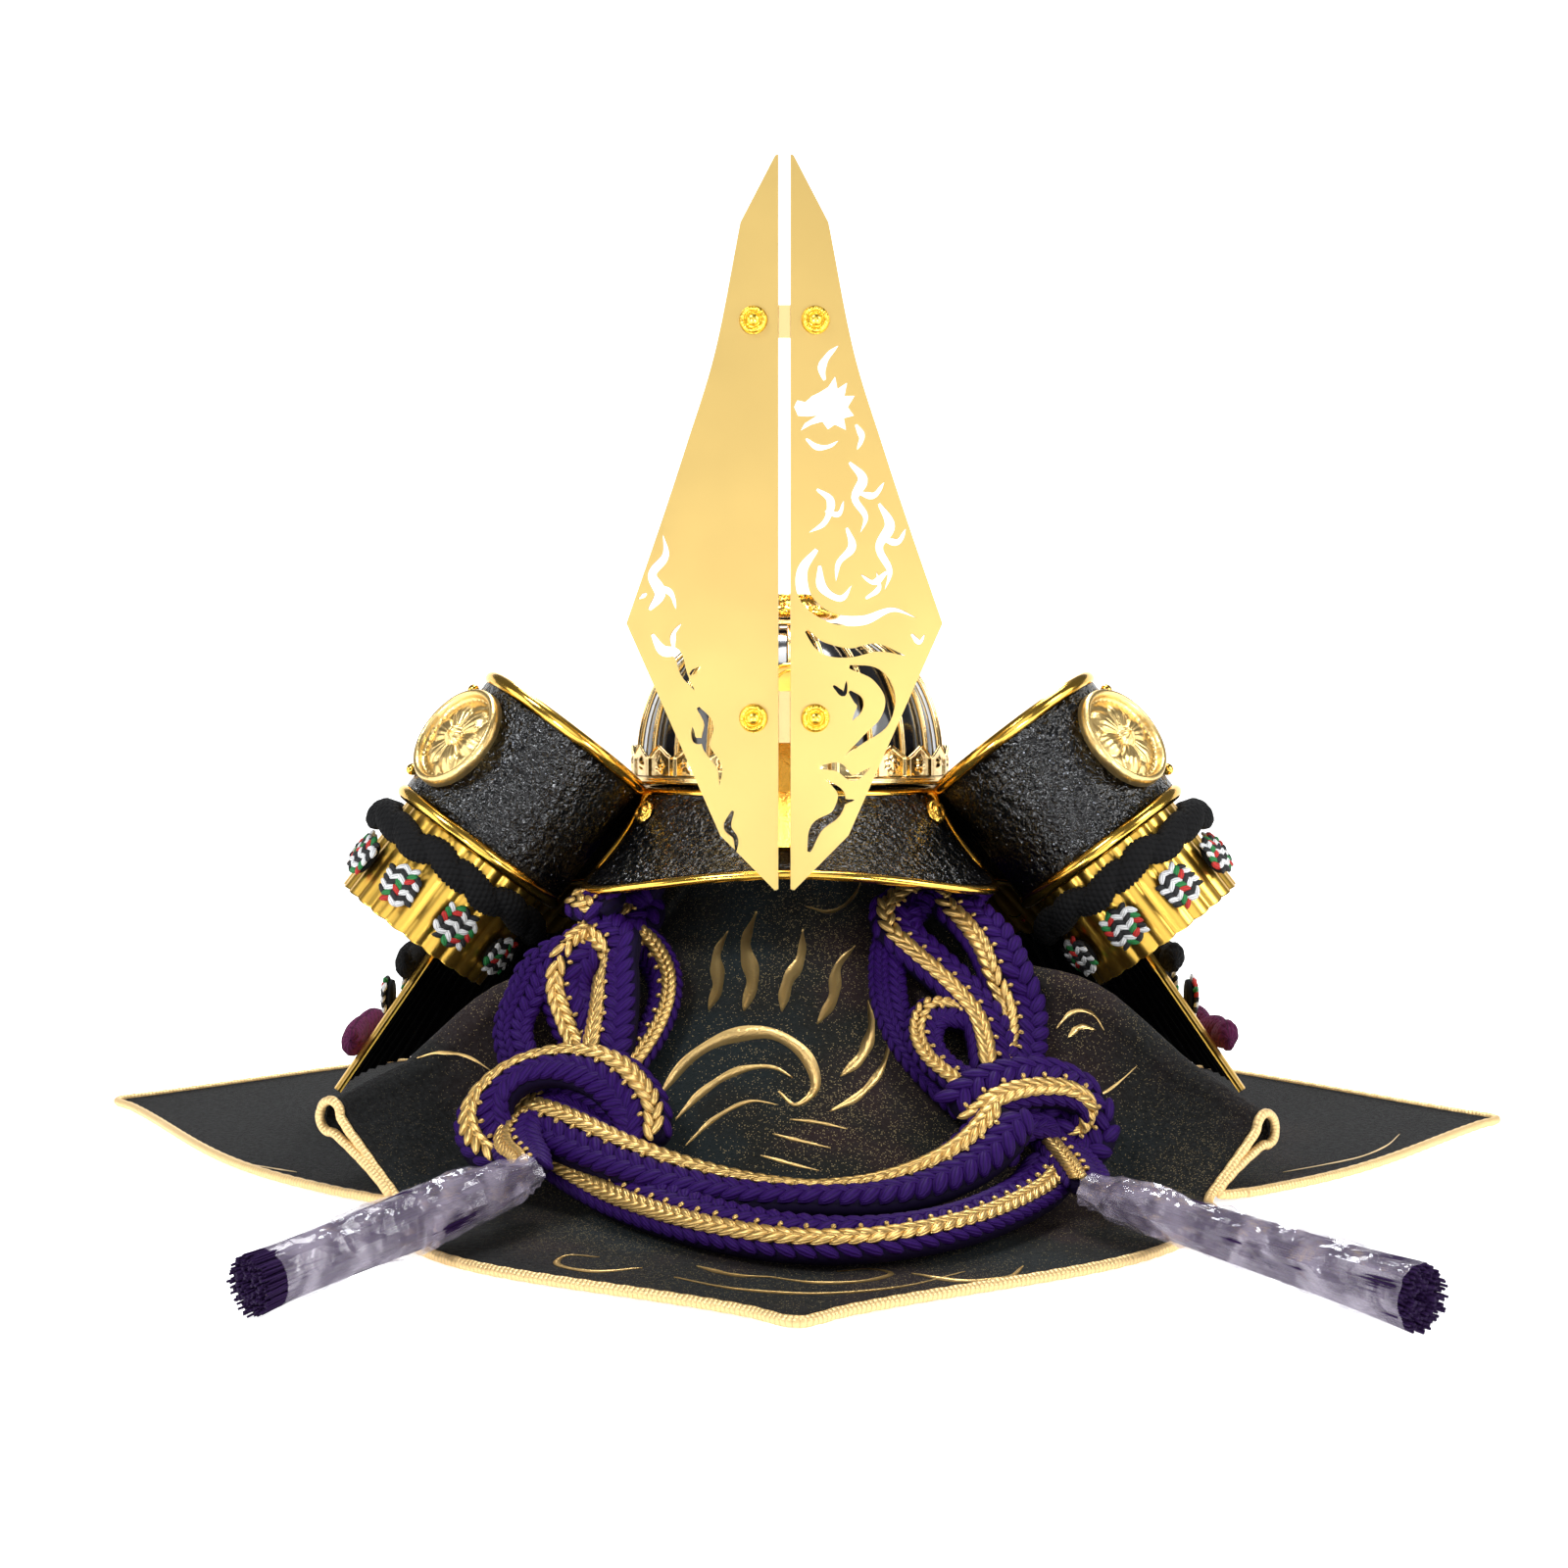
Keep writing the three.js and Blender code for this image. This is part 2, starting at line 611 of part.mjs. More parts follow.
function addLacing() {
  for (const row of ROWS) {
    const lame = LAMES[row.lame];
    const clear = row.thick + lame.wave + lame.wall / 2 + GAP + 0.15;
    // Behind the fold the row lies on the outside of the guard, and on the roll on its outside.
    const turnStart = lame.roll ? 8 : lame.start + 0.6;
    const guardLine = Array.from({ length: 19 }, (_, k) =>
      guardPoint(lame, lerp(turnStart, 180 - turnStart, k / 18), row.share, clear),
    );
    addPiece(
      lame.roll ? `${row.name}_back` : row.name,
      lumpyRow(guardLine, row.lumps, row.thick, row.thin),
      row.material,
    );
    if (!lame.roll) continue;
    const { radius, from, to } = lame.roll;
    const rollLine = Array.from({ length: 12 }, (_, k) =>
      rollPoint(radius + clear, lerp(from, to, row.share), lerp(ROLL_TURN - 4, 2, k / 11)),
    );
    for (const [side, line] of [["right", rollLine], ["left", mirrored(rollLine)]])
      addPiece(
        `${row.name}_${side}`,
        lumpyRow(line, row.rollLumps, row.thick, row.thin),
        row.material,
      );
  }
}

/** Pierced disc on each turn-back: a rim, six petals and a boss, all one casting. */
function medallion() {
  const rim = turned(
    [
      [18.5, 0],
      [22, 0],
      [21.4, 4],
      [18.5, 3.6],
    ],
    18,
    true,
  );
  const boss = turned(
    [
      [0, 0],
      [6, 0],
      [4.6, 4.4],
      [0, 6],
    ],
    9,
  );
  const petalOutline = new THREE.Shape();
  petalOutline.moveTo(3.5, -1.6);
  petalOutline.lineTo(11, -4.6);
  petalOutline.lineTo(15.5, -2.6);
  petalOutline.lineTo(19.4, 0);
  petalOutline.lineTo(15.5, 2.6);
  petalOutline.lineTo(11, 4.6);
  petalOutline.lineTo(3.5, 1.6);
  petalOutline.closePath();
  const petal = new THREE.ExtrudeGeometry(petalOutline, { depth: 2.8, bevelEnabled: false });
  const petals = Array.from({ length: 6 }, (_, k) => petal.clone().rotateZ(rad(60 * k + 30)));
  return joined([rim, boss, ...petals]);
}

function addTurnBackFittings() {
  const seat = LAMES.lame_1.roll.radius + LAMES.lame_1.wall / 2 + GAP;
  const disc = medallion();
  for (const [side, sign] of [["right", 1], ["left", -1]]) {
    const flip = (p) => vec(sign * p.x, p.y, p.z);
    const centre = flip(rollPoint(seat, 28, 135));
    const normal = centre.clone().sub(flip(rollPoint(0, 28, 0))).normalize();
    const piece = addPiece(`medallion_${side}`, disc, GOLD);
    piece.position.copy(centre);
    piece.quaternion.setFromUnitVectors(vec(0, 0, 1), normal);
    for (const [where, along] of [["upper", 8], ["lower", 49]]) {
      const stud = addPiece(
        `stud_${where}_${side}`,
        new THREE.SphereGeometry(2.3, 7, 4),
        GOLD,
      );
      stud.position.copy(flip(rollPoint(seat + 2.4, along, 172)));
    }
  }
}

// ---------------------------------------------------------------- crest
// Outline of the right-hand plate, from the inner bottom corner round: x from the centre line, z.
const CREST_OUTLINE = [
  [2.3, 105.4],
  [3.6, 105],
  [23.6, 125],
  [58.5, 203],
  [44.6, 243],
  [36, 269],
  [26, 301],
  [16.2, 350],
  [3.4, 374.2],
  [2.3, 374.6],
];

/** A tongue of flame: a leaf with a round foot that bends to a point. Angles from +X. */
function tongue(x, z, length, width, heading, bend, points = 4) {
  const left = [];
  const right = [];
  for (let k = 0; k < points; k++) {
    const share = k / points;
    const direction = rad(heading + bend * share);
    const middle = rad(heading + (bend * share) / 2);
    const cx = x + length * share * Math.cos(middle);
    const cz = z + length * share * Math.sin(middle);
    const half = (width / 2) * Math.sin(Math.PI * (0.18 + 0.82 * share)) ** 0.9;
    left.push([cx - half * Math.sin(direction), cz + half * Math.cos(direction)]);
    right.unshift([cx + half * Math.sin(direction), cz - half * Math.cos(direction)]);
  }
  const last = rad(heading + bend / 2);
  return [...left, [x + length * Math.cos(last), z + length * Math.sin(last)], ...right];
}

/** Three tongues from one root: a tall one and a short one on each side of it. */
const flame = (x, z, size, heading, curl = 1) => [
  tongue(x, z, size, size * 0.27, heading, 46 * curl),
  tongue(x, z, size * 0.66, size * 0.2, heading + 44 * curl, -58 * curl),
  tongue(x, z, size * 0.5, size * 0.18, heading - 48 * curl, 70 * curl),
];

// The serpent: its back as a line of places, from the neck down to the tail, and its head.
const SERPENT_LINE = [[25, 263], [32, 253], [29, 241], [17, 233], [12, 222], [20, 211], [35, 206],
  [43, 195], [37, 184], [26, 177], [24, 166], [29, 155], [22, 144], [11, 137], [9, 123]];
const SERPENT_HEAD = [[-11, 3], [-10, 5.6], [-7, 5], [-4, 6.4], [-1.8, 10], [0, 10], [1.4, 17],
  [6.5, 25], [5, 15], [4.4, 9.6], [10.5, 16], [8.4, 7.6], [14, 9], [9.8, 3.4], [14.4, 1],
  [9.2, -2.4], [12.4, -8], [6, -6], [3.6, -13], [1, -7.4], [-6, -11], [-7.6, -16.5], [-9.6, -9.6],
  [-7, -6.4], [-5.4, -7.6], [-0.6, -2], [-4, -1.4], [-6, -4.8], [-7.6, -0.6], [-10.6, -1.6]];
const SERPENT = { segments: 6, gap: 0.026, neck: 3.3, spike: 2.3, head: [14.6, 280] };

/** Body of the serpent, cut into lengths, with spikes along one side of each. */
function serpentBody() {
  const curve = new THREE.CatmullRomCurve3(SERPENT_LINE.map(([x, z]) => vec(x, 0, z)));
  return Array.from({ length: SERPENT.segments }, (_, n) => {
    const from = n / SERPENT.segments + SERPENT.gap / 2;
    const to = (n + 1) / SERPENT.segments - SERPENT.gap / 2;
    const belly = [];
    const back = [];
    const steps = 6;
    for (let k = 0; k <= steps; k++) {
      const t = lerp(from, to, k / steps);
      const p = curve.getPointAt(t);
      const along = curve.getTangentAt(t);
      const half = SERPENT.neck * (1 - 0.8 * t ** 1.6) * (k === 0 || k === steps ? 0.5 : 1);
      const spike = k % 2 && k < steps ? SERPENT.spike * (1 - 0.6 * t) : 0;
      belly.push([p.x - along.z * half, p.z + along.x * half]);
      back.unshift([
        p.x + along.z * (half + spike) - along.x * spike * 0.4,
        p.z - along.x * (half + spike) - along.z * spike * 0.4,
      ]);
    }
    return [...belly, ...back];
  });
}

// Flames round the serpent, and up the outer edge of the other plate: root, size, heading, curl.
const RIGHT_FLAMES = [
  [42, 226, 18, 80, 1], [51, 202, 14, 95, 1], [9, 242, 15, 92, -1], [25, 220, 13, 60, 1],
  [9, 198, 16, 84, 1], [27, 190, 12, 100, -1], [36, 164, 14, 55, 1], [11, 147, 12, 70, -1],
  [17, 120, 14, 58, 1],
];
const LEFT_FLAMES = [
  [42, 199, 28, 84, 1], [41, 180, 13, 62, -1], [33, 166, 22, 66, 1], [22, 141, 23, 74, 1],
  [13, 121, 15, 72, -1],
];

function crestPlate(outlines) {
  const plate = plateXZ(CREST_OUTLINE, CREST.wall);
  const tools = outlines.map((outline) => plateXZ(outline, CREST.wall + 4).translate(0, -2, 0));
  return cut(plate, tools);
}

function addCrest() {
  const crest = new THREE.Group();
  crest.position.set(CREST.centreX, CREST.frontY, 0);
  helmet.add(crest);
  const head = SERPENT_HEAD.map(([x, z]) => [x + SERPENT.head[0], z + SERPENT.head[1]]);
  const flames = (rows) => rows.flatMap((row) => flame(...row));
  const rightWork = [head, ...serpentBody(), ...flames(RIGHT_FLAMES)];
  const right = addPiece("crest_right", crestPlate(rightWork), PALE_GOLD, crest);
  right.rotation.z = rad(CREST.yaw);
  const leftShape = crestPlate(flames(LEFT_FLAMES));
  leftShape.applyMatrix4(new THREE.Matrix4().makeScale(-1, 1, 1));
  const left = addPiece("crest_left", facingOut(leftShape), PALE_GOLD, crest);
  left.rotation.z = rad(-CREST.yaw);

  const button = turned(
    [
      [0, 0],
      [5.2, 0],
      [4.6, 1.7],
      [1.8, 2.6],
      [0, 2.7],
    ],
    12,
  ).rotateX(Math.PI / 2);
  for (const [level, z] of [["upper", 314], ["lower", 168]])
    for (const [side, sign] of [["left", -1], ["right", 1]]) {
      const arm = new THREE.Group();
      arm.rotation.z = rad(sign * CREST.yaw);
      crest.add(arm);
      const rivet = addPiece(`crest_rivet_${level}_${side}`, button, GOLD, arm);
      rivet.position.set(sign * 11.4, -GAP, z);
    }

  // Brackets behind the plates; the lower one has the tongue that plugs into the holder.
  const behind = CREST.wall + 2;
  const bracket = (halfWidth, bottom, height) =>
    plateXZ(
      [
        [-halfWidth, bottom],
        [halfWidth, bottom],
        [halfWidth, bottom + height],
        [-halfWidth, bottom + height],
      ],
      1.4,
    ).translate(0, behind, 0);
  addPiece("crest_bridge_upper", bracket(13, 308, 12), PALE_GOLD, crest);
  const plug = profileYZ(
    [
      [behind + 0.7, 160],
      [behind + 0.7, 176],
      [36, 176],
      [45.6, 166],
      [45.6, 150],
      [43.8, 150],
      [43.8, 164.6],
      [35, 173.6],
      [behind + 3, 173.6],
      [behind + 3, 160],
    ],
    7,
  );
  addPiece("crest_bridge_lower", joined([bracket(13, 159, 19), plug]), PALE_GOLD, crest);

  // Holder: a socket in front of the bowl above a cast ornament that lies on the visor.
  const holder = profileYZ(
    [
      [-70.6, 162],
      [-70.6, 146],
      [-70.6, 142.5],
      [-105, 118.2],
      [-107.4, 120],
      [-83, 140],
      [-81.6, 162],
      [-79, 162],
      [-79, 148],
      [-74.4, 148],
      [-74.4, 162],
    ],
    12,
  ).translate(CREST.centreX, 0, 0);
  addPiece("crest_holder", holder, GOLD);
}

// ---------------------------------------------------------------- stand and cloth
// Rows of the cloth from the centre outwards: radius and height of its outer face, then each
// pleat's length, its lean in degrees and the radius of its round top, in front and behind.
const CLOTH_ROWS = [
  { r: 20, z: 203, front: [0, 0, 0], back: [0, 0, 0] },
  { r: 38, z: 150, front: [1, 0, 0.5], back: [1, 0, 0.5] },
  { r: 58, z: 112, front: [2, 0, 1.4], back: [3, 10, 1.4] },
  { r: 92, z: 81, front: [4, 4, 3.6], back: [7, 35, 2.4] },
  { r: 126, z: 54, front: [17, 10, 6], back: [10, 60, 2.8] },
  { r: 158, z: 28, front: [38, 26, 6.8], back: [13, 78, 3] },
  { r: 190, z: 2.6, front: [45, 40, 6.8], back: [18, 82, 3] },
];
const CLOTH_TOP_Z = 205.2;
const CLOTH_FLOOR_SHARES = [0.5, 1]; // from the foot of the drape to the hem
// Corners of the cloth and feet of its four pleats, anticlockwise from the right-hand corner.
// Each hem bulges outwards on both sides of a corner: by "before" and "after" millimetres.
const CLOTH_CORNERS = [
  { at: vec(293, -22, 0), before: 10, after: 8 },
  { at: vec(8, 302, 0), before: 8, after: 8 },
  { at: vec(-293, 20, 0), before: 8, after: 15 },
  { at: vec(2, -302, 0), before: 30, after: 27 },
];
const CLOTH_PLEATS = [
  { foot: vec(146, 150, 0), kind: "back", side: -1, hem: [24, 82, 3] },
  { foot: vec(-144, 152, 0), kind: "back", side: 1, hem: [24, 82, 3] },
  { foot: vec(-134, -166, 0), kind: "front", side: -1, hem: [43, 55, 6.6] },
  { foot: vec(145, -160, 0), kind: "front", side: 1, hem: [37, 59, 6.6] },
];
const PLEAT_NECK = 3.5; // half the width of a pleat at its foot
const PLEAT_ARC = [-140, -70, 0, 70, 140];
const SECTOR_COLUMNS = 6;
const DRAPE_CORE = 40; // inside this radius the drape is round

/** Radius of the foot of the drape: far out in front, close in behind. */
const drapeFoot = (azimuth) => 160 - 30 * Math.sin(azimuth);

/** Cross-section of a pleat: offsets across and up, from one side of its neck to the other. */
function pleatSection([length, lean, round], side) {
  const slant = vec(Math.sin(rad(lean)) * side, Math.cos(rad(lean)), 0);
  const across = vec(slant.y, -slant.x, 0);
  const count = PLEAT_ARC.length + 1;
  const top = PLEAT_ARC.map((degrees, k) => {
    const flat = PLEAT_NECK * ((2 * (k + 1)) / count - 1) * (1 - Math.min(1, round));
    const w = flat + round * Math.sin(rad(degrees));
    const h = length + round * Math.cos(rad(degrees));
    return [slant.x * h + across.x * w, slant.y * h + across.y * w];
  });
  return [[-PLEAT_NECK, 0], ...top, [PLEAT_NECK, 0]];
}

/** Place on the hem between a corner (0) and a pleat's foot (1). */
function hemPoint(corner, foot, share, bulge) {
  const chord = foot.clone().sub(corner);
  const outward = vec(chord.y, -chord.x, 0).normalize();
  if (outward.dot(corner) < 0) outward.negate();
  const reach = bulge * Math.sin(Math.PI * share ** 1.5);
  return corner.clone().addScaledVector(chord, share).addScaledVector(outward, reach);
}

function clothGrid() {
  const foot = CLOTH_ROWS[CLOTH_ROWS.length - 1];
  const azimuthOf = (p) => Math.atan2(p.y, p.x);
  const onDrape = (row, azimuth) => {
    if (row.r <= DRAPE_CORE) return row.r;
    const stretch = (drapeFoot(azimuth) - DRAPE_CORE) / (foot.r - DRAPE_CORE);
    return DRAPE_CORE + (row.r - DRAPE_CORE) * stretch;
  };
  const rows = [
    ...CLOTH_ROWS.map((row) => ({ ...row, share: 0 })),
    ...CLOTH_FLOOR_SHARES.map((share) => ({ ...foot, z: CLOTH_WALL, share })),
  ];
  return rows.map((row) => {
    const line = [];
    CLOTH_CORNERS.forEach((corner, q) => {
      const before = CLOTH_PLEATS[(q + 3) % 4];
      const after = CLOTH_PLEATS[q];
      const start = azimuthOf(before.foot);
      let middle = azimuthOf(corner.at);
      let end = azimuthOf(after.foot);
      while (middle < start) middle += 2 * Math.PI;
      while (end < middle) end += 2 * Math.PI;
      for (let j = 1; j < SECTOR_COLUMNS; j++) {
        const f = (2 * j) / SECTOR_COLUMNS - 1;
        const azimuth = f < 0 ? lerp(middle, start, -f) : lerp(middle, end, f);
        const radius = onDrape(row, azimuth);
        const point = vec(radius * Math.cos(azimuth), radius * Math.sin(azimuth), row.z);
        const [pleat, bulge] = f < 0 ? [before, corner.before] : [after, corner.after];
        const hem = hemPoint(corner.at, pleat.foot, Math.abs(f), bulge).setZ(row.z);
        line.push(point.lerp(hem, row.share));
      }
      const azimuth = azimuthOf(after.foot);
      const radius = lerp(onDrape(row, azimuth), Math.hypot(after.foot.x, after.foot.y), row.share);
      const out = vec(Math.cos(azimuth), Math.sin(azimuth), 0);
      const across = vec(-out.y, out.x, 0);
      const section = row[after.kind].map((value, k) => lerp(value, after.hem[k], row.share));
      for (const [w, h] of pleatSection(section, after.side))
        line.push(out.clone().multiplyScalar(radius).addScaledVector(across, w).setZ(row.z + h));
    });
    return line;
  });
}

/** Stand, cloth and piping; returns the room that the cloth takes up, with its clearance. */
function addStandAndCloth() {
  const head = [
    [0, 0],
    [55, 0],
    [55, 4],
    [50, 7],
    [12, 9],
    [12, 160],
    [20, 170],
    [22, 188],
    [18.5, 197.2],
    [12.5, 201.2],
    [0, 202.2],
  ];
  addPiece("stand", turned(head, 14), WOOD);

  const grid = clothGrid();
  const columns = grid[0].length;
  const pole = Array.from({ length: columns }, () => vec(0, 0, CLOTH_TOP_Z));
  const normals = gridNormals(grid, true);
  const upwards = normals[1][0].z > 0 ? 1 : -1;
  const under = grid.map((row, i) =>
    row.map((p, j) => {
      const q = p.clone().addScaledVector(normals[i][j], -upwards * CLOTH_WALL);
      return q.setZ(Math.max(q.z, 0));
    }),
  );
  const underPole = pole.map((p) => p.clone().setZ(CLOTH_TOP_Z - CLOTH_WALL));
  addPiece("cloth", wallBetween([pole, ...grid], [underPole, ...under], true), CLOTH);
  const above = shifted(grid, normals, upwards * GAP);
  const abovePole = pole.map((p) => p.clone().setZ(CLOTH_TOP_Z + GAP));
  const room = solidOf(wallBetween([abovePole, ...above], [underPole, ...under], true));

  // The piping follows the hem, just outside it.
  const hem = grid[grid.length - 1];
  const lower = under[under.length - 1];
  const line = hem.map((p, k) => {
    const middle = p.clone().add(lower[k]).multiplyScalar(0.5);
    const out = hem[(k + columns - 1) % columns].clone().sub(hem[(k + 1) % columns]);
    const radial = vec(middle.x, middle.y, 0).normalize();
    const sideways = vec(-out.y, out.x, 0).normalize();
    if (sideways.dot(radial) < 0) sideways.negate();
    const away = sideways.dot(radial) > 0.6 ? sideways : radial;
    middle.addScaledVector(away, PIPING_RADIUS + GAP + 0.5);
    return middle.setZ(Math.max(middle.z, PIPING_RADIUS));
  });
  const piping = solidOf(closedTube(line, PIPING_RADIUS, 5));
  addPiece("cloth_piping", geometryOf(clearOf(piping, [room])), PIPING);
  return room;
}

// ---------------------------------------------------------------- chin cord
// A flat braid. Its routes are chosen by hand: down from under the visor, through a knot on each
// side, in two bights that hang between the knots, and round behind the post out of sight.
const BRAID = { width: 22, thick: 11 };
const SLIM_BRAID = { width: 15, thick: 9 };
const CORD_GAP = 0.5; // the braids keep a little more clearance from each other
const KNOT_LEFT = {
  strand_a: [[-56, -74, 93], [-66, -91, 90], [-76, -101, 87], [-82, -106, 81], [-84, -108, 73],
    [-82, -111, 65], [-78, -117, 55], [-73, -127, 45]],
  strand_b: [[-58, -60, 97], [-61, -78, 93], [-63, -92, 88], [-62, -102, 81], [-60, -108, 73],
    [-60, -118, 63], [-62, -130, 53], [-66, -142, 43]],
  ear_right: [[-60, -84, 84], [-54, -88, 83], [-46, -97, 77], [-41, -108, 69], [-42, -119, 60],
    [-48, -130, 51], [-57, -142, 42]],
  ear_left: [[-84, -104, 80], [-91, -106, 75], [-97, -111, 68], [-101, -118, 58], [-100, -126, 48],
    [-92, -134, 38]],
  wrap: [[-86, -170, 14], [-98, -166, 16], [-105, -156, 21], [-108, -148, 29], [-106, -144, 38],
    [-99, -139, 44], [-88, -134, 48], [-76, -138, 49], [-64, -147, 47], [-54, -157, 42],
    [-48, -168, 35], [-46, -176, 26], [-54, -178, 17]],
  wrap_under: [[-100, -152, 18], [-104, -143, 26], [-98, -137, 33], [-86, -138, 37], [-74, -144, 37],
    [-62, -154, 32], [-54, -166, 24]],
};
const KNOT_RIGHT = {
  top: [[66, -72, 92], [58, -69, 96], [50, -68, 96], [43, -73, 92], [41, -84, 87], [43, -93, 81]],
  slant: [[42, -80, 93], [42, -92, 90], [46, -101, 84], [52, -107, 77], [58, -113, 70],
    [64, -119, 62], [70, -128, 53]],
  outer: [[47, -80, 88], [41, -96, 81], [39, -111, 70], [41, -125, 59], [46, -136, 49],
    [53, -144, 41], [62, -150, 34]],
  bight: [[66, -118, 52], [58, -115, 58], [52, -118, 60], [50, -126, 55], [53, -136, 47],
    [60, -144, 39], [68, -150, 33]],
  strand: [[64, -74, 95], [71, -84, 89], [78, -90, 82], [84, -95, 73], [88, -99, 63], [88, -106, 53],
    [86, -116, 44], [81, -130, 36]],
  wrap: [[68, -184, 13], [59, -182, 17], [57, -175, 24], [60, -166, 31], [66, -157, 36],
    [76, -149, 39], [87, -142, 40], [98, -136, 37], [105, -137, 31], [107, -143, 24],
    [104, -152, 18]],
  wrap_under: [[68, -176, 14], [68, -167, 22], [76, -158, 28], [87, -152, 29], [97, -150, 25],
    [99, -156, 17]],
};
const SWAG_UPPER = [[-92, -152, 26], [-80, -163, 25], [-62, -174, 22], [-45, -184, 19],
  [-28, -190, 17], [-8, -194, 15.5], [11, -195, 15], [30, -192, 15.3], [50, -184, 17.5],
  [64, -174, 20], [74, -164, 24], [80, -156, 28]];
const SWAG_LOWER = [[-78, -164, 16], [-66, -174, 13], [-52, -190, 10], [-36, -208, 9],
  [-20, -226, 9], [-2, -238, 9], [16, -241, 9], [34, -236, 9], [53, -222, 9], [70, -202, 9.5],
  [82, -184, 11], [90, -169, 15]];
const CORD_BEHIND = [[-62, -60, 101], [-71, -42, 101], [-76, -20, 102], [-74, 6, 103],
  [-64, 34, 102], [-40, 57, 101], [0, 67, 101], [40, 57, 101], [64, 34, 102], [74, 6, 103],
  [76, -20, 102], [72, -44, 100], [66, -62, 96]];
const TASSEL_CORD_LEFT = [[-88, -152, 24], [-87, -162, 22], [-84, -174, 21], [-82, -188, 20.5],
  [-83, -203, 20]];
const TASSEL_CORD_RIGHT = [[89, -152, 24], [92, -161, 19], [95, -172, 16], [97, -186, 15],
  [97, -204, 14.6]];
// Tassels in their film sleeves, lying out over the hem: where each sleeve starts and ends, and
// its radius there and halfway.
const SLEEVES = {
  left: { from: vec(-84, -205, 20), to: vec(-146, -288, 9.2), radii: [8.6, 11, 8.8] },
  right: { from: vec(97, -206, 14.6), to: vec(169, -312, 10.6), radii: [8, 9.2, 10] },
};
const FILM_WALL = 0.8;

/** The draped face of the cloth as triangles, for cords to lie on. */
function drapedTriangles() {
  const grid = clothGrid();
  const triangles = [];
  for (let i = 0; i < grid.length - 1; i++)
    grid[i].forEach((p, j) => {
      const next = (j + 1) % grid[i].length;
      triangles.push(new THREE.Triangle(p, grid[i][next], grid[i + 1][j]));
      triangles.push(new THREE.Triangle(grid[i][next], grid[i + 1][next], grid[i + 1][j]));
    });
  return triangles;
}

const DRAPE = drapedTriangles();

/** The nearest place on the draped cloth and the way out from it. */
function drapeBelow(point) {
  let best = Infinity;
  let nearest = DRAPE[0];
  const foot = vec();
  const place = vec();
  for (const triangle of DRAPE) {
    triangle.closestPointToPoint(point, foot);
    const distance = foot.distanceToSquared(point);
    if (distance < best) {
      best = distance;
      nearest = triangle;
      place.copy(foot);
    }
  }
  const normal = nearest.getNormal(vec());
  if (normal.z < 0) normal.negate();
  return { place, normal };
}

/** Lays a route on the cloth: nowhere nearer to it than the clearance. */
function laidOnCloth(rows, count, clearance) {
  const points = smooth(route(rows), count);
  return points.map((p) => {
    const { place, normal } = drapeBelow(p);
    const lift = clearance - p.clone().sub(place).dot(normal);
    return lift > 0 ? p.clone().addScaledVector(normal, lift) : p;
  });
}

/** Solid of a flat braid that follows a route with its broad side to the cloth. */
function braid(rows, { width, thick, pitch = 13 }, spare = 0) {
  const length = new THREE.CatmullRomCurve3(route(rows)).getLength();
  const points = laidOnCloth(rows, Math.ceil(length / pitch), thick / 2 + GAP);
  const outward = points.map((p) => drapeBelow(p).normal);
  const corners = [[1, 0], [0.72, 1], [-0.72, 1], [-1, 0], [-0.72, -1], [0.72, -1]];
  const rings = points.map((p, i) => {
    const tangent = points[Math.min(i + 1, points.length - 1)]
      .clone()
      .sub(points[Math.max(i - 1, 0)])
      .normalize();
    const up = vec();
    for (let k = -2; k <= 2; k++)
      up.add(outward[Math.min(Math.max(i + k, 0), points.length - 1)]);
    up.addScaledVector(tangent, -up.dot(tangent)).normalize();
    const side = up.clone().cross(tangent);
    const beyond = i === 0 ? -spare : i === points.length - 1 ? spare : 0;
    return corners.map(([w, h]) =>
      p.clone()
        .addScaledVector(tangent, beyond)
        .addScaledVector(side, w * (width / 2 + spare))
        .addScaledVector(up, h * (thick / 2 + spare)),
    );
  });
  const sides = corners.length;
  const triangles = [];
  for (let i = 0; i < rings.length - 1; i++)
    for (let k = 0; k < sides; k++) {
      const [a, b] = [i * sides + k, i * sides + ((k + 1) % sides)];
      triangles.push(a, b, b + sides, a, b + sides, a + sides);
    }
  const end = (rings.length - 1) * sides;
  for (let k = 1; k < sides - 1; k++)
    triangles.push(0, k + 1, k, end, end + k, end + k + 1);
  return closedSurface(rings.flat(), triangles);
}

/** The strands of a knot as one solid; the doubled bands of its wrap are narrower. */
function knotSolid(strands, spare = 0) {
  const pieces = Object.entries(strands).map(([name, rows]) => {
    const narrow = name.startsWith("ear") || name === "bight" || name === "outer";
    return braid(rows, narrow ? SLIM_BRAID : BRAID, spare);
  });
  return pieces.map(solidOf).reduce((whole, piece) => whole.add(piece));
}

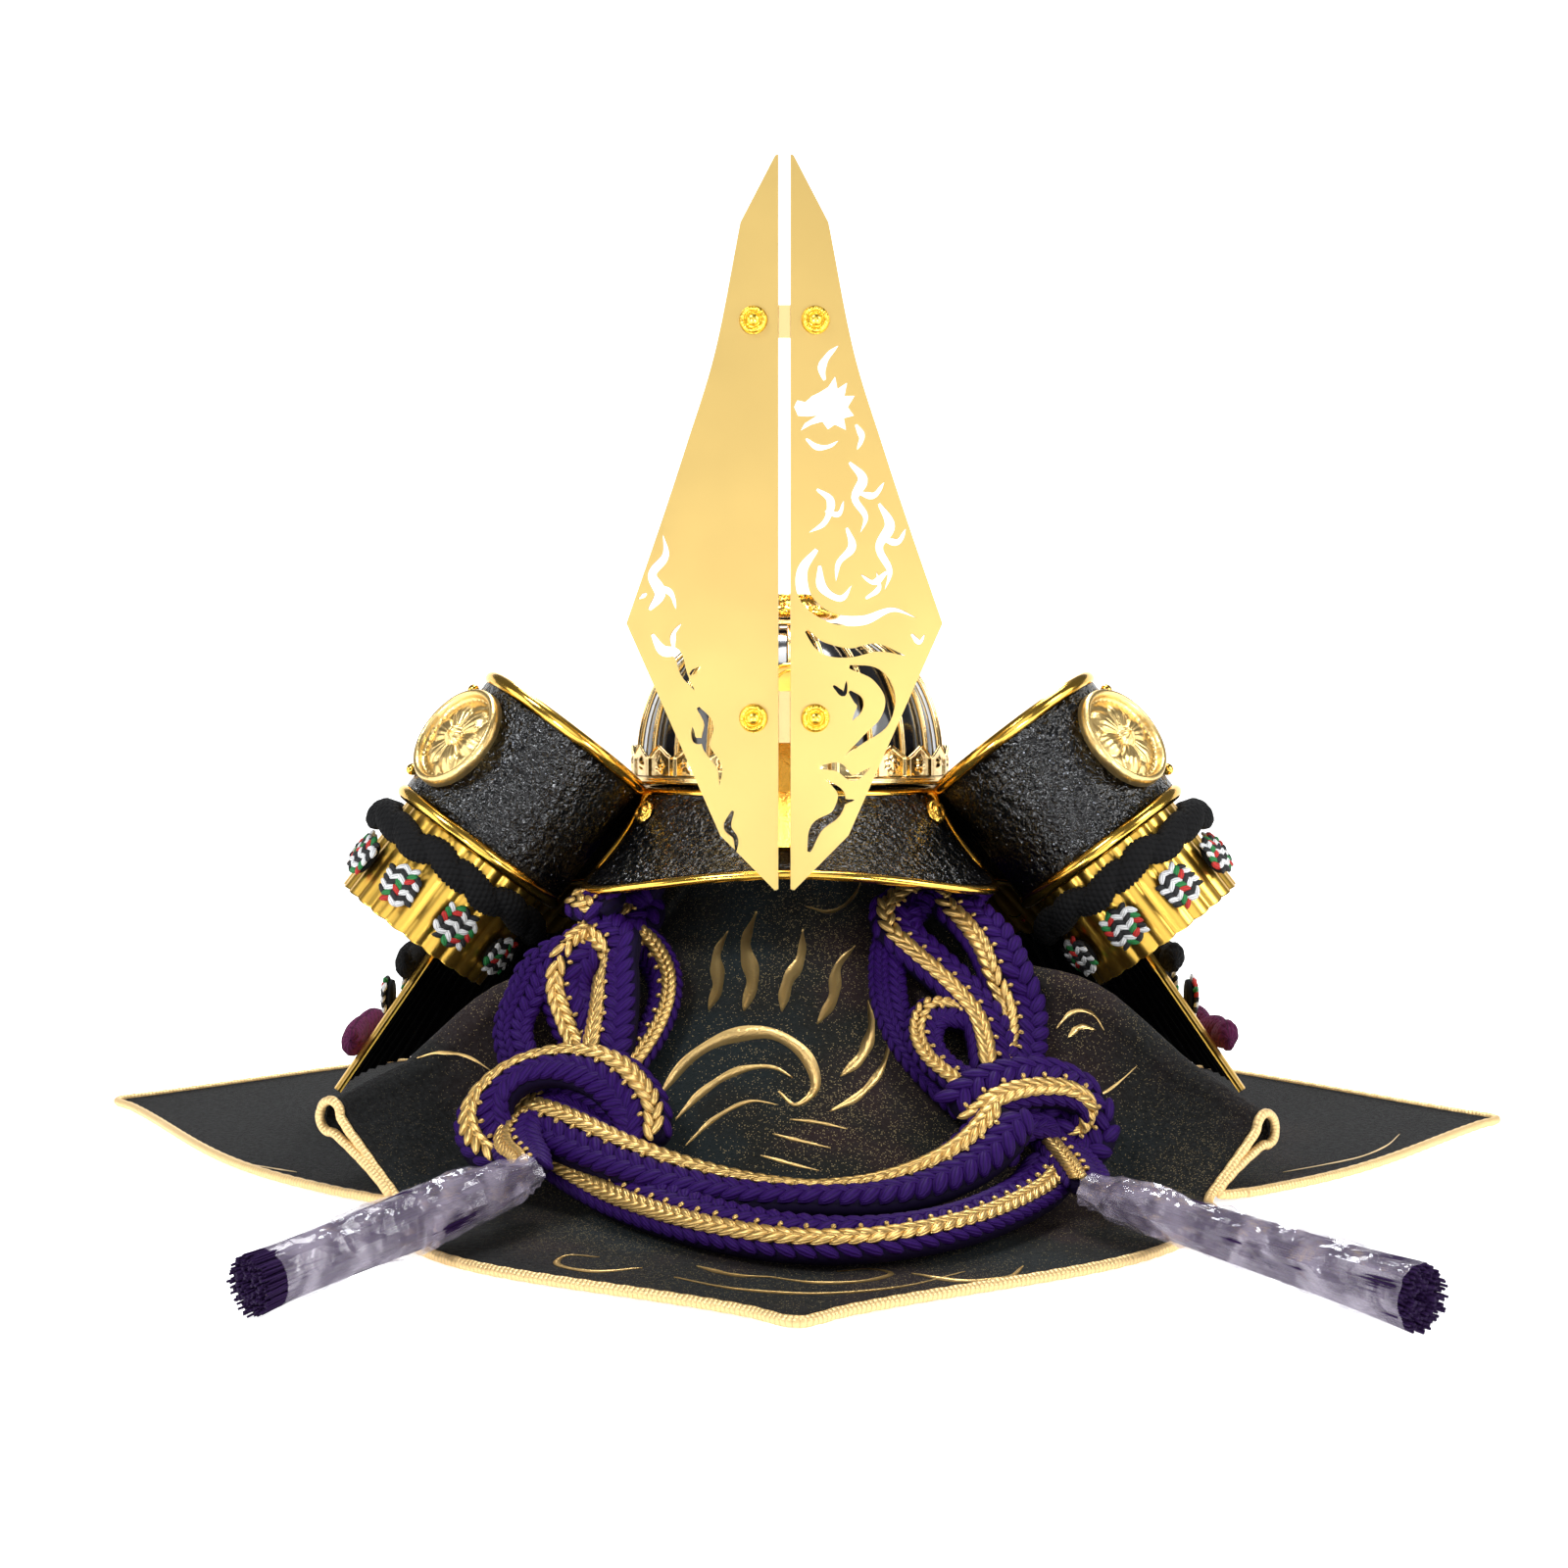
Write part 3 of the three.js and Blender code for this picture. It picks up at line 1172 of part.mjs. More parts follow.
/** Film sleeve round a tassel, and the tassel as locks fused to its head; returns their room. */
function addTassel(side) {
  const { from, to, radii } = SLEEVES[side];
  const along = to.clone().sub(from);
  const length = along.length();
  along.normalize();
  const across = vec(-along.y, along.x, 0).normalize();
  const up = across.clone().cross(along).normalize();
  const radiusAt = (share) =>
    share < 0.5 ? lerp(radii[0], radii[1], share * 2) : lerp(radii[1], radii[2], share * 2 - 1);
  const ring = (share, radius, sides, groove = 0) =>
    Array.from({ length: sides }, (_, k) => {
      const angle = (2 * Math.PI * k) / sides;
      const r = radius * (k % 2 ? 1 : 1 - groove);
      return from.clone()
        .addScaledVector(along, share * length)
        .addScaledVector(across, r * Math.cos(angle))
        .addScaledVector(up, r * Math.sin(angle));
    });
  const shares = [0, 0.25, 0.5, 0.75, 1];
  const face = shares.map((s) => ring(s, radiusAt(s), 10));
  const back = shares.map((s) => ring(s, radiusAt(s) - FILM_WALL, 10));
  addPiece(`film_${side}`, geometryOf(solidOf(wallBetween(face, back, true))), FILM);

  const locks = 14;
  const inside = 1.15 * FILM_WALL + 0.8;
  const tasselShares = [0.02, 0.12, 0.35, 0.65, 0.98];
  const grid = tasselShares.map((s, i) =>
    ring(s, (i === 0 ? 0.7 : 1) * (radiusAt(s) - inside), locks, 0.14),
  );
  const points = grid.flat();
  const triangles = [];
  for (let i = 0; i < grid.length - 1; i++)
    for (let k = 0; k < locks; k++) {
      const [a, b] = [i * locks + k, i * locks + ((k + 1) % locks)];
      triangles.push(a, b, b + locks, a, b + locks, a + locks);
    }
  const middle = (share) => from.clone().addScaledVector(along, share * length);
  const head = points.push(middle(tasselShares[0])) - 1;
  const tip = points.push(middle(0.96)) - 1;
  const last = (grid.length - 1) * locks;
  for (let k = 0; k < locks; k++) {
    triangles.push(head, (k + 1) % locks, k);
    triangles.push(tip, last + k, last + ((k + 1) % locks));
  }
  addPiece(`tassel_${side}`, closedSurface(points, triangles), VIOLET);
  const mouth = from.clone().addScaledVector(along, -GAP);
  const bore = new THREE.CylinderGeometry(radii[1], radii[1], length, 10).rotateX(Math.PI / 2);
  const turn = new THREE.Quaternion().setFromUnitVectors(vec(0, 0, 1), along);
  const place = mouth.addScaledVector(along, length / 2);
  return solidOf(bore.applyQuaternion(turn).translate(place.x, place.y, place.z));
}

function addChinCord(clothTool) {
  const spare = CORD_GAP;
  const sleeves = [addTassel("left"), addTassel("right")];
  const add = (name, solid) => addPiece(name, geometryOf(solid, 0.3), VIOLET);
  const left = clearOf(knotSolid(KNOT_LEFT), [clothTool]);
  const right = clearOf(knotSolid(KNOT_RIGHT), [clothTool]);
  add("knot_left", left);
  add("knot_right", right);
  const knots = [knotSolid(KNOT_LEFT, spare), knotSolid(KNOT_RIGHT, spare), clothTool];
  const strand = (rows, size = BRAID, extra = 0) => solidOf(braid(rows, size, extra));
  add("cord_behind", clearOf(strand(CORD_BEHIND, { ...BRAID, pitch: 18 }), knots));
  const slim = SLIM_BRAID;
  const blocks = [...knots, ...sleeves];
  add("tassel_cord_left", clearOf(strand(TASSEL_CORD_LEFT, slim), blocks));
  add("tassel_cord_right", clearOf(strand(TASSEL_CORD_RIGHT, slim), blocks));
  const tasselCords = [TASSEL_CORD_LEFT, TASSEL_CORD_RIGHT].map((rows) => strand(rows, slim, spare));
  const upper = clearOf(strand(SWAG_UPPER), [...blocks, ...tasselCords]);
  add("swag_upper", upper);
  const upperRoom = strand(SWAG_UPPER, BRAID, spare);
  add("swag_lower", clearOf(strand(SWAG_LOWER), [...blocks, ...tasselCords, upperRoom]));
}

const clothRoom = addStandAndCloth();
addBowl();
addCrownBand();
addFrontPlate();
addFinial();
addVisor();
addLames();
addLacing();
addTurnBackFittings();
addCrest();
addChinCord(clothRoom);

export default helmet;
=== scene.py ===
"""A samurai helmet (kabuto) for display, with its crest, neck guard, lacing, knotted chin cord and cloth.

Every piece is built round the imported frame, in metres, with +Z up and the wearer's front towards -Y.
Lengths in the tables are millimetres, as on a bench drawing, and are turned to metres when a mesh is made.
"""

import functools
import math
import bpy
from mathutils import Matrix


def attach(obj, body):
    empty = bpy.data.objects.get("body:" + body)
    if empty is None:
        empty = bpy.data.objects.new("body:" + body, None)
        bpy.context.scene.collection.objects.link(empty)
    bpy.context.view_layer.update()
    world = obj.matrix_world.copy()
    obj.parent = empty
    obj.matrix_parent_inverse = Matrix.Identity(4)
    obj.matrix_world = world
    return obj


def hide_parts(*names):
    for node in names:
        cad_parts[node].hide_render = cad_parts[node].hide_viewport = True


bl_info = {
    "name": "Samurai Helmet",
    "version": (1, 0, 0),
    "blender": (4, 5, 0),
    "location": "3D View > Sidebar > Helmet",
    "description": "Builds a display kabuto on a cloth-draped stand around its packed frame",
    "category": "Add Mesh",
}

import bmesh
import bpy
import numpy as np
from bpy.props import FloatProperty, FloatVectorProperty, IntProperty, PointerProperty
from mathutils import Matrix, Vector, noise
from mathutils.bvhtree import BVHTree
from mathutils.geometry import delaunay_2d_cdt

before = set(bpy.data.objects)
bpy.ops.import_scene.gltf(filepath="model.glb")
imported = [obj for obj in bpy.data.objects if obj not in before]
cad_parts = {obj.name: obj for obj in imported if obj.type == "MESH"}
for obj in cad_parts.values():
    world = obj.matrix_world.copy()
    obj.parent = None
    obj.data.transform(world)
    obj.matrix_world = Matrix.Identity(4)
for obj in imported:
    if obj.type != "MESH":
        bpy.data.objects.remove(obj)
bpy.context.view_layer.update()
MM = 0.001
ROOT = "root"
TINY = 1e-12


# ---------------------------------------------------------------- settings
class HelmetSizes(bpy.types.PropertyGroup):
    """Sizes that a maker would change."""

    stitch_pitch: FloatProperty(
        name="Stitch Pitch", description="Distance between two stitches of the violet braid", default=0.0058,
        min=0.003, max=0.009, unit="LENGTH",
    )
    rib_width: FloatProperty(
        name="Rib Width", description="Width of a gilt rib on the bowl", default=0.0026, unit="LENGTH",
    )
    flute_pitch: FloatProperty(
        name="Flute Pitch", description="Width of one scale of the gilt lames", default=0.0088,
        unit="LENGTH",
    )
    fibres: IntProperty(
        name="Tassel Fibres", description="How many fibres show in each tassel", default=420, min=50,
        max=1500,
    )
    camera_distance: FloatProperty(
        name="Camera Distance", description="How far in front of the stand the camera is", default=0.83,
        unit="LENGTH",
    )


class HelmetColours(bpy.types.PropertyGroup):
    """Colours of the finishes, as linear values."""

    gilt: FloatVectorProperty(
        name="Gilt", description="Bright gilt of rims, lames and rivets", default=(0.95, 0.58, 0.10),
        subtype="COLOR", size=3,
    )
    pale_gilt: FloatVectorProperty(
        name="Pale Gilt", description="Satin gilt of the crest", default=(0.74, 0.52, 0.175),
        subtype="COLOR", size=3,
    )
    violet: FloatVectorProperty(
        name="Violet", description="Violet of the chin cord", default=(0.022, 0.0018, 0.088),
        subtype="COLOR", size=3,
    )
    gold_thread: FloatVectorProperty(
        name="Gold Thread", description="Gold thread of the cord and the piping",
        default=(0.75, 0.49, 0.165), subtype="COLOR", size=3,
    )
    purple_yarn: FloatVectorProperty(
        name="Purple Yarn", description="Wool of the lowest row of lacing", default=(0.10, 0.014, 0.06),
        subtype="COLOR", size=3,
    )
    floor: FloatVectorProperty(
        name="Floor", description="Colour of the plain floor", default=(0.86, 0.86, 0.86), subtype="COLOR",
        size=3,
    )


def sizes():
    return bpy.context.scene.helmet_sizes


def colours():
    return bpy.context.scene.helmet_colours


# ---------------------------------------------------------------- geometry helpers
def lerp(a, b, t):
    return a + (b - a) * t


def rad(degrees):
    return math.radians(degrees)


def unit(v):
    v = np.asarray(v, float)
    return v / max(np.linalg.norm(v), TINY)


def units(v):
    return v / np.maximum(np.linalg.norm(v, axis=-1, keepdims=True), TINY)


def square_to(along, v):
    """Each vector with its share along a line taken out, a unit long."""
    return units(v - along * np.einsum("ij,ij->i", v, along)[:, None])


def circle(count):
    """Evenly spaced angles of one turn."""
    return np.linspace(0, 2 * math.pi, count, endpoint=False)


def run_of(points):
    """Distance along a line at each of its places."""
    return np.concatenate([[0], np.cumsum(np.linalg.norm(np.diff(points, axis=0), axis=1))])


def smooth_line(points, count, closed=False):
    """Evenly spaced places on a centripetal Catmull-Rom line through the points."""
    pts = np.asarray(points, float)
    if closed:
        pts = np.vstack([pts[-1], pts, pts[0], pts[1]])
    else:
        pts = np.vstack([2 * pts[0] - pts[1], pts, 2 * pts[-1] - pts[-2]])
    dense = []
    for i in range(1, len(pts) - 2):
        p = pts[i - 1 : i + 3]
        t = [0.0]
        for k in range(3):
            t.append(t[-1] + max(np.linalg.norm(p[k + 1] - p[k]), 1e-9) ** 0.5)
        for s in np.linspace(t[1], t[2], 17)[:-1]:
            a = [((t[k + 1] - s) * p[k] + (s - t[k]) * p[k + 1]) / (t[k + 1] - t[k]) for k in range(3)]
            b = [((t[k + 2] - s) * a[k] + (s - t[k]) * a[k + 1]) / (t[k + 2] - t[k]) for k in range(2)]
            dense.append(((t[2] - s) * b[0] + (s - t[1]) * b[1]) / (t[2] - t[1]))
    dense.append(pts[-2])
    dense = np.array(dense)
    run = run_of(dense)
    at = np.linspace(0, run[-1], count + 1)
    line = np.stack([np.interp(at, run, dense[:, k]) for k in range(dense.shape[1])], axis=1)
    return line[:-1] if closed else line


def length_of(points):
    return float(np.linalg.norm(np.diff(np.asarray(points), axis=0), axis=1).sum())


def tangents(points, closed=False):
    p = np.asarray(points)
    if closed:
        t = np.roll(p, -1, axis=0) - np.roll(p, 1, axis=0)
    else:
        t = np.gradient(p, axis=0)
    return units(t)


def carried_frames(points, closed=False, hint=(0.31, 0.2, 1)):
    """Tangent, normal and binormal at each place, with as little turning as can be."""
    t = tangents(points, closed)
    normals = [unit(np.cross(hint, t[0]))]
    for i in range(1, len(t)):
        n = normals[-1] - t[i] * np.dot(normals[-1], t[i])
        normals.append(unit(n))
    normals = np.array(normals)
    if closed:
        n = normals[-1] - t[0] * np.dot(normals[-1], t[0])
        side = np.cross(t[0], normals[0])
        twist = math.atan2(np.dot(n, side), np.dot(n, normals[0]))
        for i in range(len(t)):
            a = -twist * i / len(t)
            b = np.cross(t[i], normals[i])
            normals[i] = normals[i] * math.cos(a) + b * math.sin(a)
    return t, normals, np.cross(t, normals)


class Shape:
    """Vertices, faces and their UVs and material places, gathered before they become a mesh."""

    def __init__(self):
        self.verts, self.faces, self.uvs, self.slots = [], [], [], []

    def add(self, verts, faces, uvs=None):
        base = len(self.verts)
        verts = np.asarray(verts, float).reshape(-1, 3)
        self.verts.extend(verts.tolist())
        uvs = np.zeros((len(verts), 2)) if uvs is None else np.asarray(uvs, float).reshape(-1, 2)
        for face in faces:
            self.faces.append([base + v for v in face])
            self.uvs.extend([uvs[v] for v in face])
        self.slots.extend([0] * len(faces))

    def build(self, name, *finishes, outward=True, smooth=True, scale=MM):
        """Object of the shape, with its finishes by name."""
        mesh = bpy.data.meshes.new(name)
        mesh.from_pydata([tuple(c * scale for c in v) for v in self.verts], [], self.faces)
        layer = mesh.uv_layers.new(name="UVMap")
        layer.data.foreach_set("uv", np.asarray(self.uvs, np.float32).ravel())
        mesh.polygons.foreach_set("material_index", self.slots)
        mesh.polygons.foreach_set("use_smooth", [smooth] * len(self.faces))
        mesh.update()
        if outward and signed_volume(mesh) < 0:
            mesh.flip_normals()
        return place(name, mesh, *(finish(look) for look in finishes))


def signed_volume(mesh):
    mesh.calc_loop_triangles()
    co = np.empty(len(mesh.vertices) * 3)
    mesh.vertices.foreach_get("co", co)
    co = co.reshape(-1, 3)
    tri = np.empty(len(mesh.loop_triangles) * 3, int)
    mesh.loop_triangles.foreach_get("vertices", tri)
    a, b, c = (co[tri.reshape(-1, 3)[:, k]] for k in range(3))
    return float(np.einsum("ij,ij->i", a, np.cross(b, c)).sum())


def place(name, mesh, *materials):
    """Object at the origin that holds the mesh and its materials."""
    obj = bpy.data.objects.new(name, mesh)
    bpy.context.scene.collection.objects.link(obj)
    for material in materials:
        mesh.materials.append(material)
    return obj


def finished(obj, slot, *nodes):
    """The piece rides on the helmet and stands for its CAD nodes, which are hidden; its slot is not used."""
    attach(obj, ROOT)
    if nodes:
        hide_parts(*nodes)
    return obj


def grid_faces(rows, columns, wrap_rows=False, wrap_columns=False, base=0):
    faces = []
    for i in range(rows if wrap_rows else rows - 1):
        for j in range(columns if wrap_columns else columns - 1):
            a = base + i * columns + j
            b = base + i * columns + (j + 1) % columns
            c = base + ((i + 1) % rows) * columns + (j + 1) % columns
            d = base + ((i + 1) % rows) * columns + j
            faces.append((a, b, c, d))
    return faces


def grid_uv(grid):
    """UVs in metres: along the columns and down the rows."""
    g = np.asarray(grid)
    across = np.zeros(g.shape[:2])
    across[:, 1:] = np.cumsum(np.linalg.norm(np.diff(g, axis=1), axis=2), axis=1)
    down = np.zeros(g.shape[:2])
    down[1:] = np.cumsum(np.linalg.norm(np.diff(g, axis=0), axis=2), axis=0)
    return np.stack([across, down], axis=2).reshape(-1, 2) * MM


def grid_normals(grid, wrap=False):
    g = np.asarray(grid, float)
    if wrap:
        du = np.roll(g, -1, axis=1) - np.roll(g, 1, axis=1)
    else:
        du = np.gradient(g, axis=1)
    n = np.cross(du, np.gradient(g, axis=0))
    return units(n)


def wall(shape, face, back, wrap=False, back_slot=0):
    """Closed wall between two grids: both skins and the band along their edges."""
    face, back = np.asarray(face, float), np.asarray(back, float)
    rows, columns = face.shape[:2]
    uv = grid_uv(face)
    count = rows * columns
    faces = [f[::-1] for f in grid_faces(rows, columns, wrap_columns=wrap)]
    skin = len(faces)
    faces += grid_faces(rows, columns, wrap_columns=wrap, base=count)
    loops = []
    for i in (0, rows - 1):
        line = [i * columns + j for j in range(columns)] + ([i * columns] if wrap else [])
        loops.append((line, i == 0))
    if not wrap:
        for j in (0, columns - 1):
            loops.append(([i * columns + j for i in range(rows)], j != 0))
    for line, flip in loops:
        for a, b in zip(line, line[1:]):
            quad = (a, b, b + count, a + count)
            faces.append(quad if not flip else quad[::-1])
    start = len(shape.slots)
    shape.add(np.concatenate([face, back]), faces, np.concatenate([uv, uv]))
    shape.slots[start + skin : start + 2 * skin] = [back_slot] * skin
    return shape


def sheet(shape, grid, thickness):
    g = np.asarray(grid, float)
    n = grid_normals(g)
    return wall(shape, g + n * thickness / 2, g - n * thickness / 2)


def ring_uv(run, angle):
    """UVs of rings along a line: metres along it, and shares of a turn round it."""
    return np.stack(np.broadcast_arrays((run * MM)[:, None], angle[None] / (2 * math.pi)), axis=2)


def ring_skin(shape, rings, uv, ends=None, tips=None):
    """Skin over rings of places: closed on itself, or drawn to a point at both ends."""
    count, sides = rings.shape[:2]
    verts, uvs = rings.reshape(-1, 3), uv.reshape(-1, 2)
    faces = grid_faces(count, sides, wrap_rows=ends is None, wrap_columns=True)
    if ends is not None:
        first, last = count * sides, (count - 1) * sides
        verts, uvs = np.vstack([verts, *ends]), np.vstack([uvs, *(tips or (uvs[0], uvs[-1]))])
        for k in range(sides):
            faces.append((first, (k + 1) % sides, k))
            faces.append((first + 1, last + k, last + (k + 1) % sides))
    shape.add(verts, faces, uvs)


def tube(shape, points, radius, sides=12, closed=False):
    """Round bar along a line; radius may be one number or one for each place."""
    p = np.asarray(points, float)
    _, n, b = carried_frames(p, closed)
    r = np.broadcast_to(np.asarray(radius, float), (len(p),))[:, None, None]
    angle = circle(sides)
    rings = (p[:, None] + r * np.cos(angle)[None, :, None] * n[:, None]
             + r * np.sin(angle)[None, :, None] * b[:, None])
    ring_skin(shape, rings, ring_uv(run_of(p), angle), None if closed else (p[0], p[-1]))
    return shape


def gridded(rows, wrap_rows=False, wrap_columns=True):
    """Shape of one skin over rows of places."""
    shape = Shape()
    shape.add(rows, grid_faces(len(rows), len(rows[0]), wrap_rows, wrap_columns))
    return shape


def lathe(profile, segments, closed=False):
    """Turned form round +Z; the profile is rows of radius and height."""
    angle = circle(segments)
    ring = np.stack([np.cos(angle), np.sin(angle)], axis=1)
    rows = [np.column_stack([r * ring, np.full(segments, z)]) for r, z in np.array(profile, float)]
    return gridded(rows, closed)


def moved(shape, centre, normal, scale=(1, 1, 1)):
    """The shape's own +Z turned to a normal, and set down at a place."""
    turn = np.array(Vector((0, 0, 1)).rotation_difference(Vector(normal)).to_matrix())
    v = (np.array(shape.verts) * np.array(scale)) @ turn.T + np.asarray(centre, float)
    shape.verts = v.tolist()
    return shape


# ---------------------------------------------------------------- node helpers
class Nodes:
    """A short way to write a node tree."""

    def __init__(self, tree):
        self.tree = tree

    def add(self, kind, inputs=None, **settings):
        node = self.tree.nodes.new(kind)
        for key, value in settings.items():
            setattr(node, key, value)
        for key, value in (inputs or {}).items():
            self.feed(node.inputs[key], value)
        return node

    def feed(self, socket, value):
        if isinstance(value, bpy.types.NodeSocket):
            self.tree.links.new(value, socket)
        elif isinstance(value, bpy.types.Node):
            self.tree.links.new(value.outputs[0], socket)
        else:
            socket.default_value = value

    def where(self):
        """Coordinates of the piece itself."""
        return self.add("ShaderNodeTexCoord").outputs["Object"]

    def cloud(self, where, scale, detail, **more):
        """Noise texture, whose further inputs go by name."""
        return self.add("ShaderNodeTexNoise", {"Vector": where, "Scale": scale, "Detail": detail, **more})

    def math(self, operation, a, b=0.0):
        return self.add("ShaderNodeMath", {0: a, 1: b}, operation=operation).outputs[0]

    def ramp(self, value, *stops):
        """Soft ramp through stops, each a place and a grey or a colour."""
        node = self.tree.nodes.new("ShaderNodeValToRGB")
        node.color_ramp.interpolation = "EASE"
        elements = node.color_ramp.elements
        while len(elements) < len(stops):
            elements.new(0.5)
        for element, (at, tone) in zip(elements, stops):
            element.position = at
            element.color = (*tone, 1) if isinstance(tone, (list, tuple)) else (tone, tone, tone, 1)
        self.feed(node.inputs[0], value)
        return node.outputs[0]

    def mix(self, share, a, b):
        node = self.tree.nodes.new("ShaderNodeMix")
        node.data_type = "RGBA"
        for index, value in ((0, share), (6, a), (7, b)):
            if isinstance(value, (list, tuple)) or hasattr(value, "r"):
                value = (*tuple(value)[:3], 1.0)
            self.feed(node.inputs[index], value)
        return node.outputs[2]


def shader_group(name, inputs, outputs):
    """New shader group with named sockets: inputs and outputs are (name, kind, default)."""
    tree = bpy.data.node_groups.new(name, "ShaderNodeTree")
    for label, kind, default in inputs:
        socket = tree.interface.new_socket(label, in_out="INPUT", socket_type=f"NodeSocket{kind}")
        if default is not None:
            socket.default_value = default
    for label, kind in outputs:
        tree.interface.new_socket(label, in_out="OUTPUT", socket_type=f"NodeSocket{kind}")
    nodes = Nodes(tree)
    return tree, nodes, nodes.add("NodeGroupInput"), nodes.add("NodeGroupOutput")


def grain_group():
    """Creased leather grain: height of the grain and a mask of its crests, where a painted sheen is laid."""
    tree, n, inp, out = shader_group(
        "Leather Grain",
        [("Scale", "Float", 900.0), ("Crease", "Float", 0.5)],
        [("Height", "Float"), ("Painted Sheen", "Float")],
    )
    where = n.where()
    warp = n.cloud(where, 260.0, 3.0)
    drift = n.add("ShaderNodeVectorMath", {0: warp.outputs["Color"], "Scale": 0.004}, operation="SCALE")
    bent = n.add("ShaderNodeVectorMath", {0: where, 1: drift}, operation="ADD")
    cells = n.add("ShaderNodeTexVoronoi", {"Vector": bent, "Scale": inp.outputs["Scale"]})
    cells.feature = "SMOOTH_F1"
    folds = n.cloud(bent, n.math("MULTIPLY", inp.outputs["Scale"], 1.1), 1.5, Roughness=0.5)
    ridge = n.math("ABSOLUTE", n.math("SUBTRACT", folds.outputs["Fac"], 0.5))
    height = n.math("ADD", cells.outputs["Distance"], n.math("MULTIPLY", ridge, inp.outputs["Crease"]))
    n.feed(out.inputs["Height"], height)
    n.feed(out.inputs["Painted Sheen"], n.ramp(folds.outputs["Fac"], (0.56, 0.0), (0.70, 1.0)))
    return tree


def speckle_group():
    """Small scattered specks: a mask that is white on each speck, for painted glints on the leather and gold
    flecks on the cloth.
    """
    tree, n, inp, out = shader_group(
        "Speckle",
        [("Scale", "Float", 1500.0), ("Cover", "Float", 0.12), ("Drift", "Float", 60.0)],
        [("Mask", "Float")],
    )
    where = n.where()
    cells = n.add("ShaderNodeTexVoronoi", {"Vector": where, "Scale": inp.outputs["Scale"]})
    grain = n.math("LESS_THAN", cells.outputs["Distance"], 0.42)
    pick = n.add("ShaderNodeSeparateColor", {0: cells.outputs["Color"]})
    cover = n.ramp(n.cloud(where, inp.outputs["Drift"], 4.0).outputs["Fac"], (0.3, 0.1), (0.75, 1.0))
    share = n.math("MULTIPLY", cover, inp.outputs["Cover"])
    n.feed(out.inputs["Mask"], n.math("MULTIPLY", grain, n.math("LESS_THAN", pick.outputs[0], share)))
    return tree


def thread_group():
    """Fine threads along a piece's own UV map: their height and the shade between them."""
    tree, n, inp, out = shader_group(
        "Thread Lines",
        [("Across", "Float", 9.0), ("Slant", "Float", 0.0), ("Fuzz", "Float", 0.25)],
        [("Height", "Float"), ("Shade", "Float")],
    )
    uv = n.add("ShaderNodeSeparateXYZ", {0: n.add("ShaderNodeTexCoord").outputs["UV"]})
    turns = n.math("ADD", n.math("MULTIPLY", uv.outputs[1], inp.outputs["Across"]),
                   n.math("MULTIPLY", uv.outputs[0], inp.outputs["Slant"]))
    line = n.math("ABSOLUTE", n.math("SINE", n.math("MULTIPLY", turns, math.pi)))
    fuzz = n.cloud(n.where(), 2600.0, 3.0)
    height = n.math("ADD", line, n.math("MULTIPLY", fuzz.outputs["Fac"], inp.outputs["Fuzz"]))
    n.feed(out.inputs["Height"], height)
    n.feed(out.inputs["Shade"], n.ramp(height, (0.05, 0.35), (0.8, 1.0)))
    return tree


def polish_group():
    """Hand-polished metal: roughness that drifts, soft dents and a tone that drifts."""
    tree, n, inp, out = shader_group(
        "Hand Polish",
        [("Roughness", "Float", 0.2), ("Drift", "Float", 0.1), ("Dents", "Float", 120.0)],
        [("Roughness", "Float"), ("Height", "Float"), ("Tone", "Float")],
    )
    where = n.where()
    dents = n.cloud(where, inp.outputs["Dents"], 2.0)
    drift = n.cloud(where, 35.0, 4.0)
    spread = n.math("MULTIPLY", n.math("SUBTRACT", drift.outputs["Fac"], 0.5), inp.outputs["Drift"])
    n.feed(out.inputs["Roughness"], n.math("ADD", inp.outputs["Roughness"], spread))
    n.feed(out.inputs["Height"], dents.outputs["Fac"])
    n.feed(out.inputs["Tone"], n.ramp(drift.outputs["Fac"], (0.3, 0.82), (0.7, 1.0)))
    return tree


GROUPS = {"Leather Grain": grain_group, "Speckle": speckle_group,
          "Thread Lines": thread_group, "Hand Polish": polish_group}


def group(name):
    return bpy.data.node_groups.get(name) or GROUPS[name]()


class Finish(Nodes):
    """A material with a Principled BSDF, whose sockets are fed by name."""

    def __init__(self, name, **plain):
        self.material = bpy.data.materials.new(name)
        self.material.use_nodes = True
        super().__init__(self.material.node_tree)
        self.tree.nodes.clear()
        self.shader = self.add("ShaderNodeBsdfPrincipled")
        self.out = self.add("ShaderNodeOutputMaterial")
        self.tree.links.new(self.shader.outputs[0], self.out.inputs["Surface"])
        self.plain(**plain)

    def set(self, key, value):
        if isinstance(value, (list, tuple)) or hasattr(value, "r"):
            value = (*tuple(value)[:3], 1.0)
        self.feed(self.shader.inputs[key], value)

    def plain(self, **values):
        """Values that are the same all over the surface."""
        for key, value in values.items():
            self.set("Specular IOR Level" if key == "specular" else key.replace("_", " ").title(), value)

    def use(self, name, **inputs):
        node = self.add("ShaderNodeGroup", node_tree=group(name))
        for key, value in inputs.items():
            self.feed(node.inputs[key], value)
        return node.outputs

    def bump(self, height, strength, distance):
        node = self.add("ShaderNodeBump", {"Height": height, "Strength": strength, "Distance": distance})
        self.feed(self.shader.inputs["Normal"], node.outputs[0])


def tinted(colour, shade):
    return tuple(min(1.0, c * shade) for c in tuple(colour)[:3])


def gilt_finish(name, colour, roughness, drift, dents, depth):
    f = Finish(name, metallic=1.0)
    polish = f.use("Hand Polish", Roughness=roughness, Drift=drift, Dents=dents)
    f.set("Base Color", f.mix(polish["Tone"], tinted(colour, 0.78), colour))
    f.set("Roughness", polish["Roughness"])
    f.bump(polish["Height"], 0.35, depth)
    return f.material


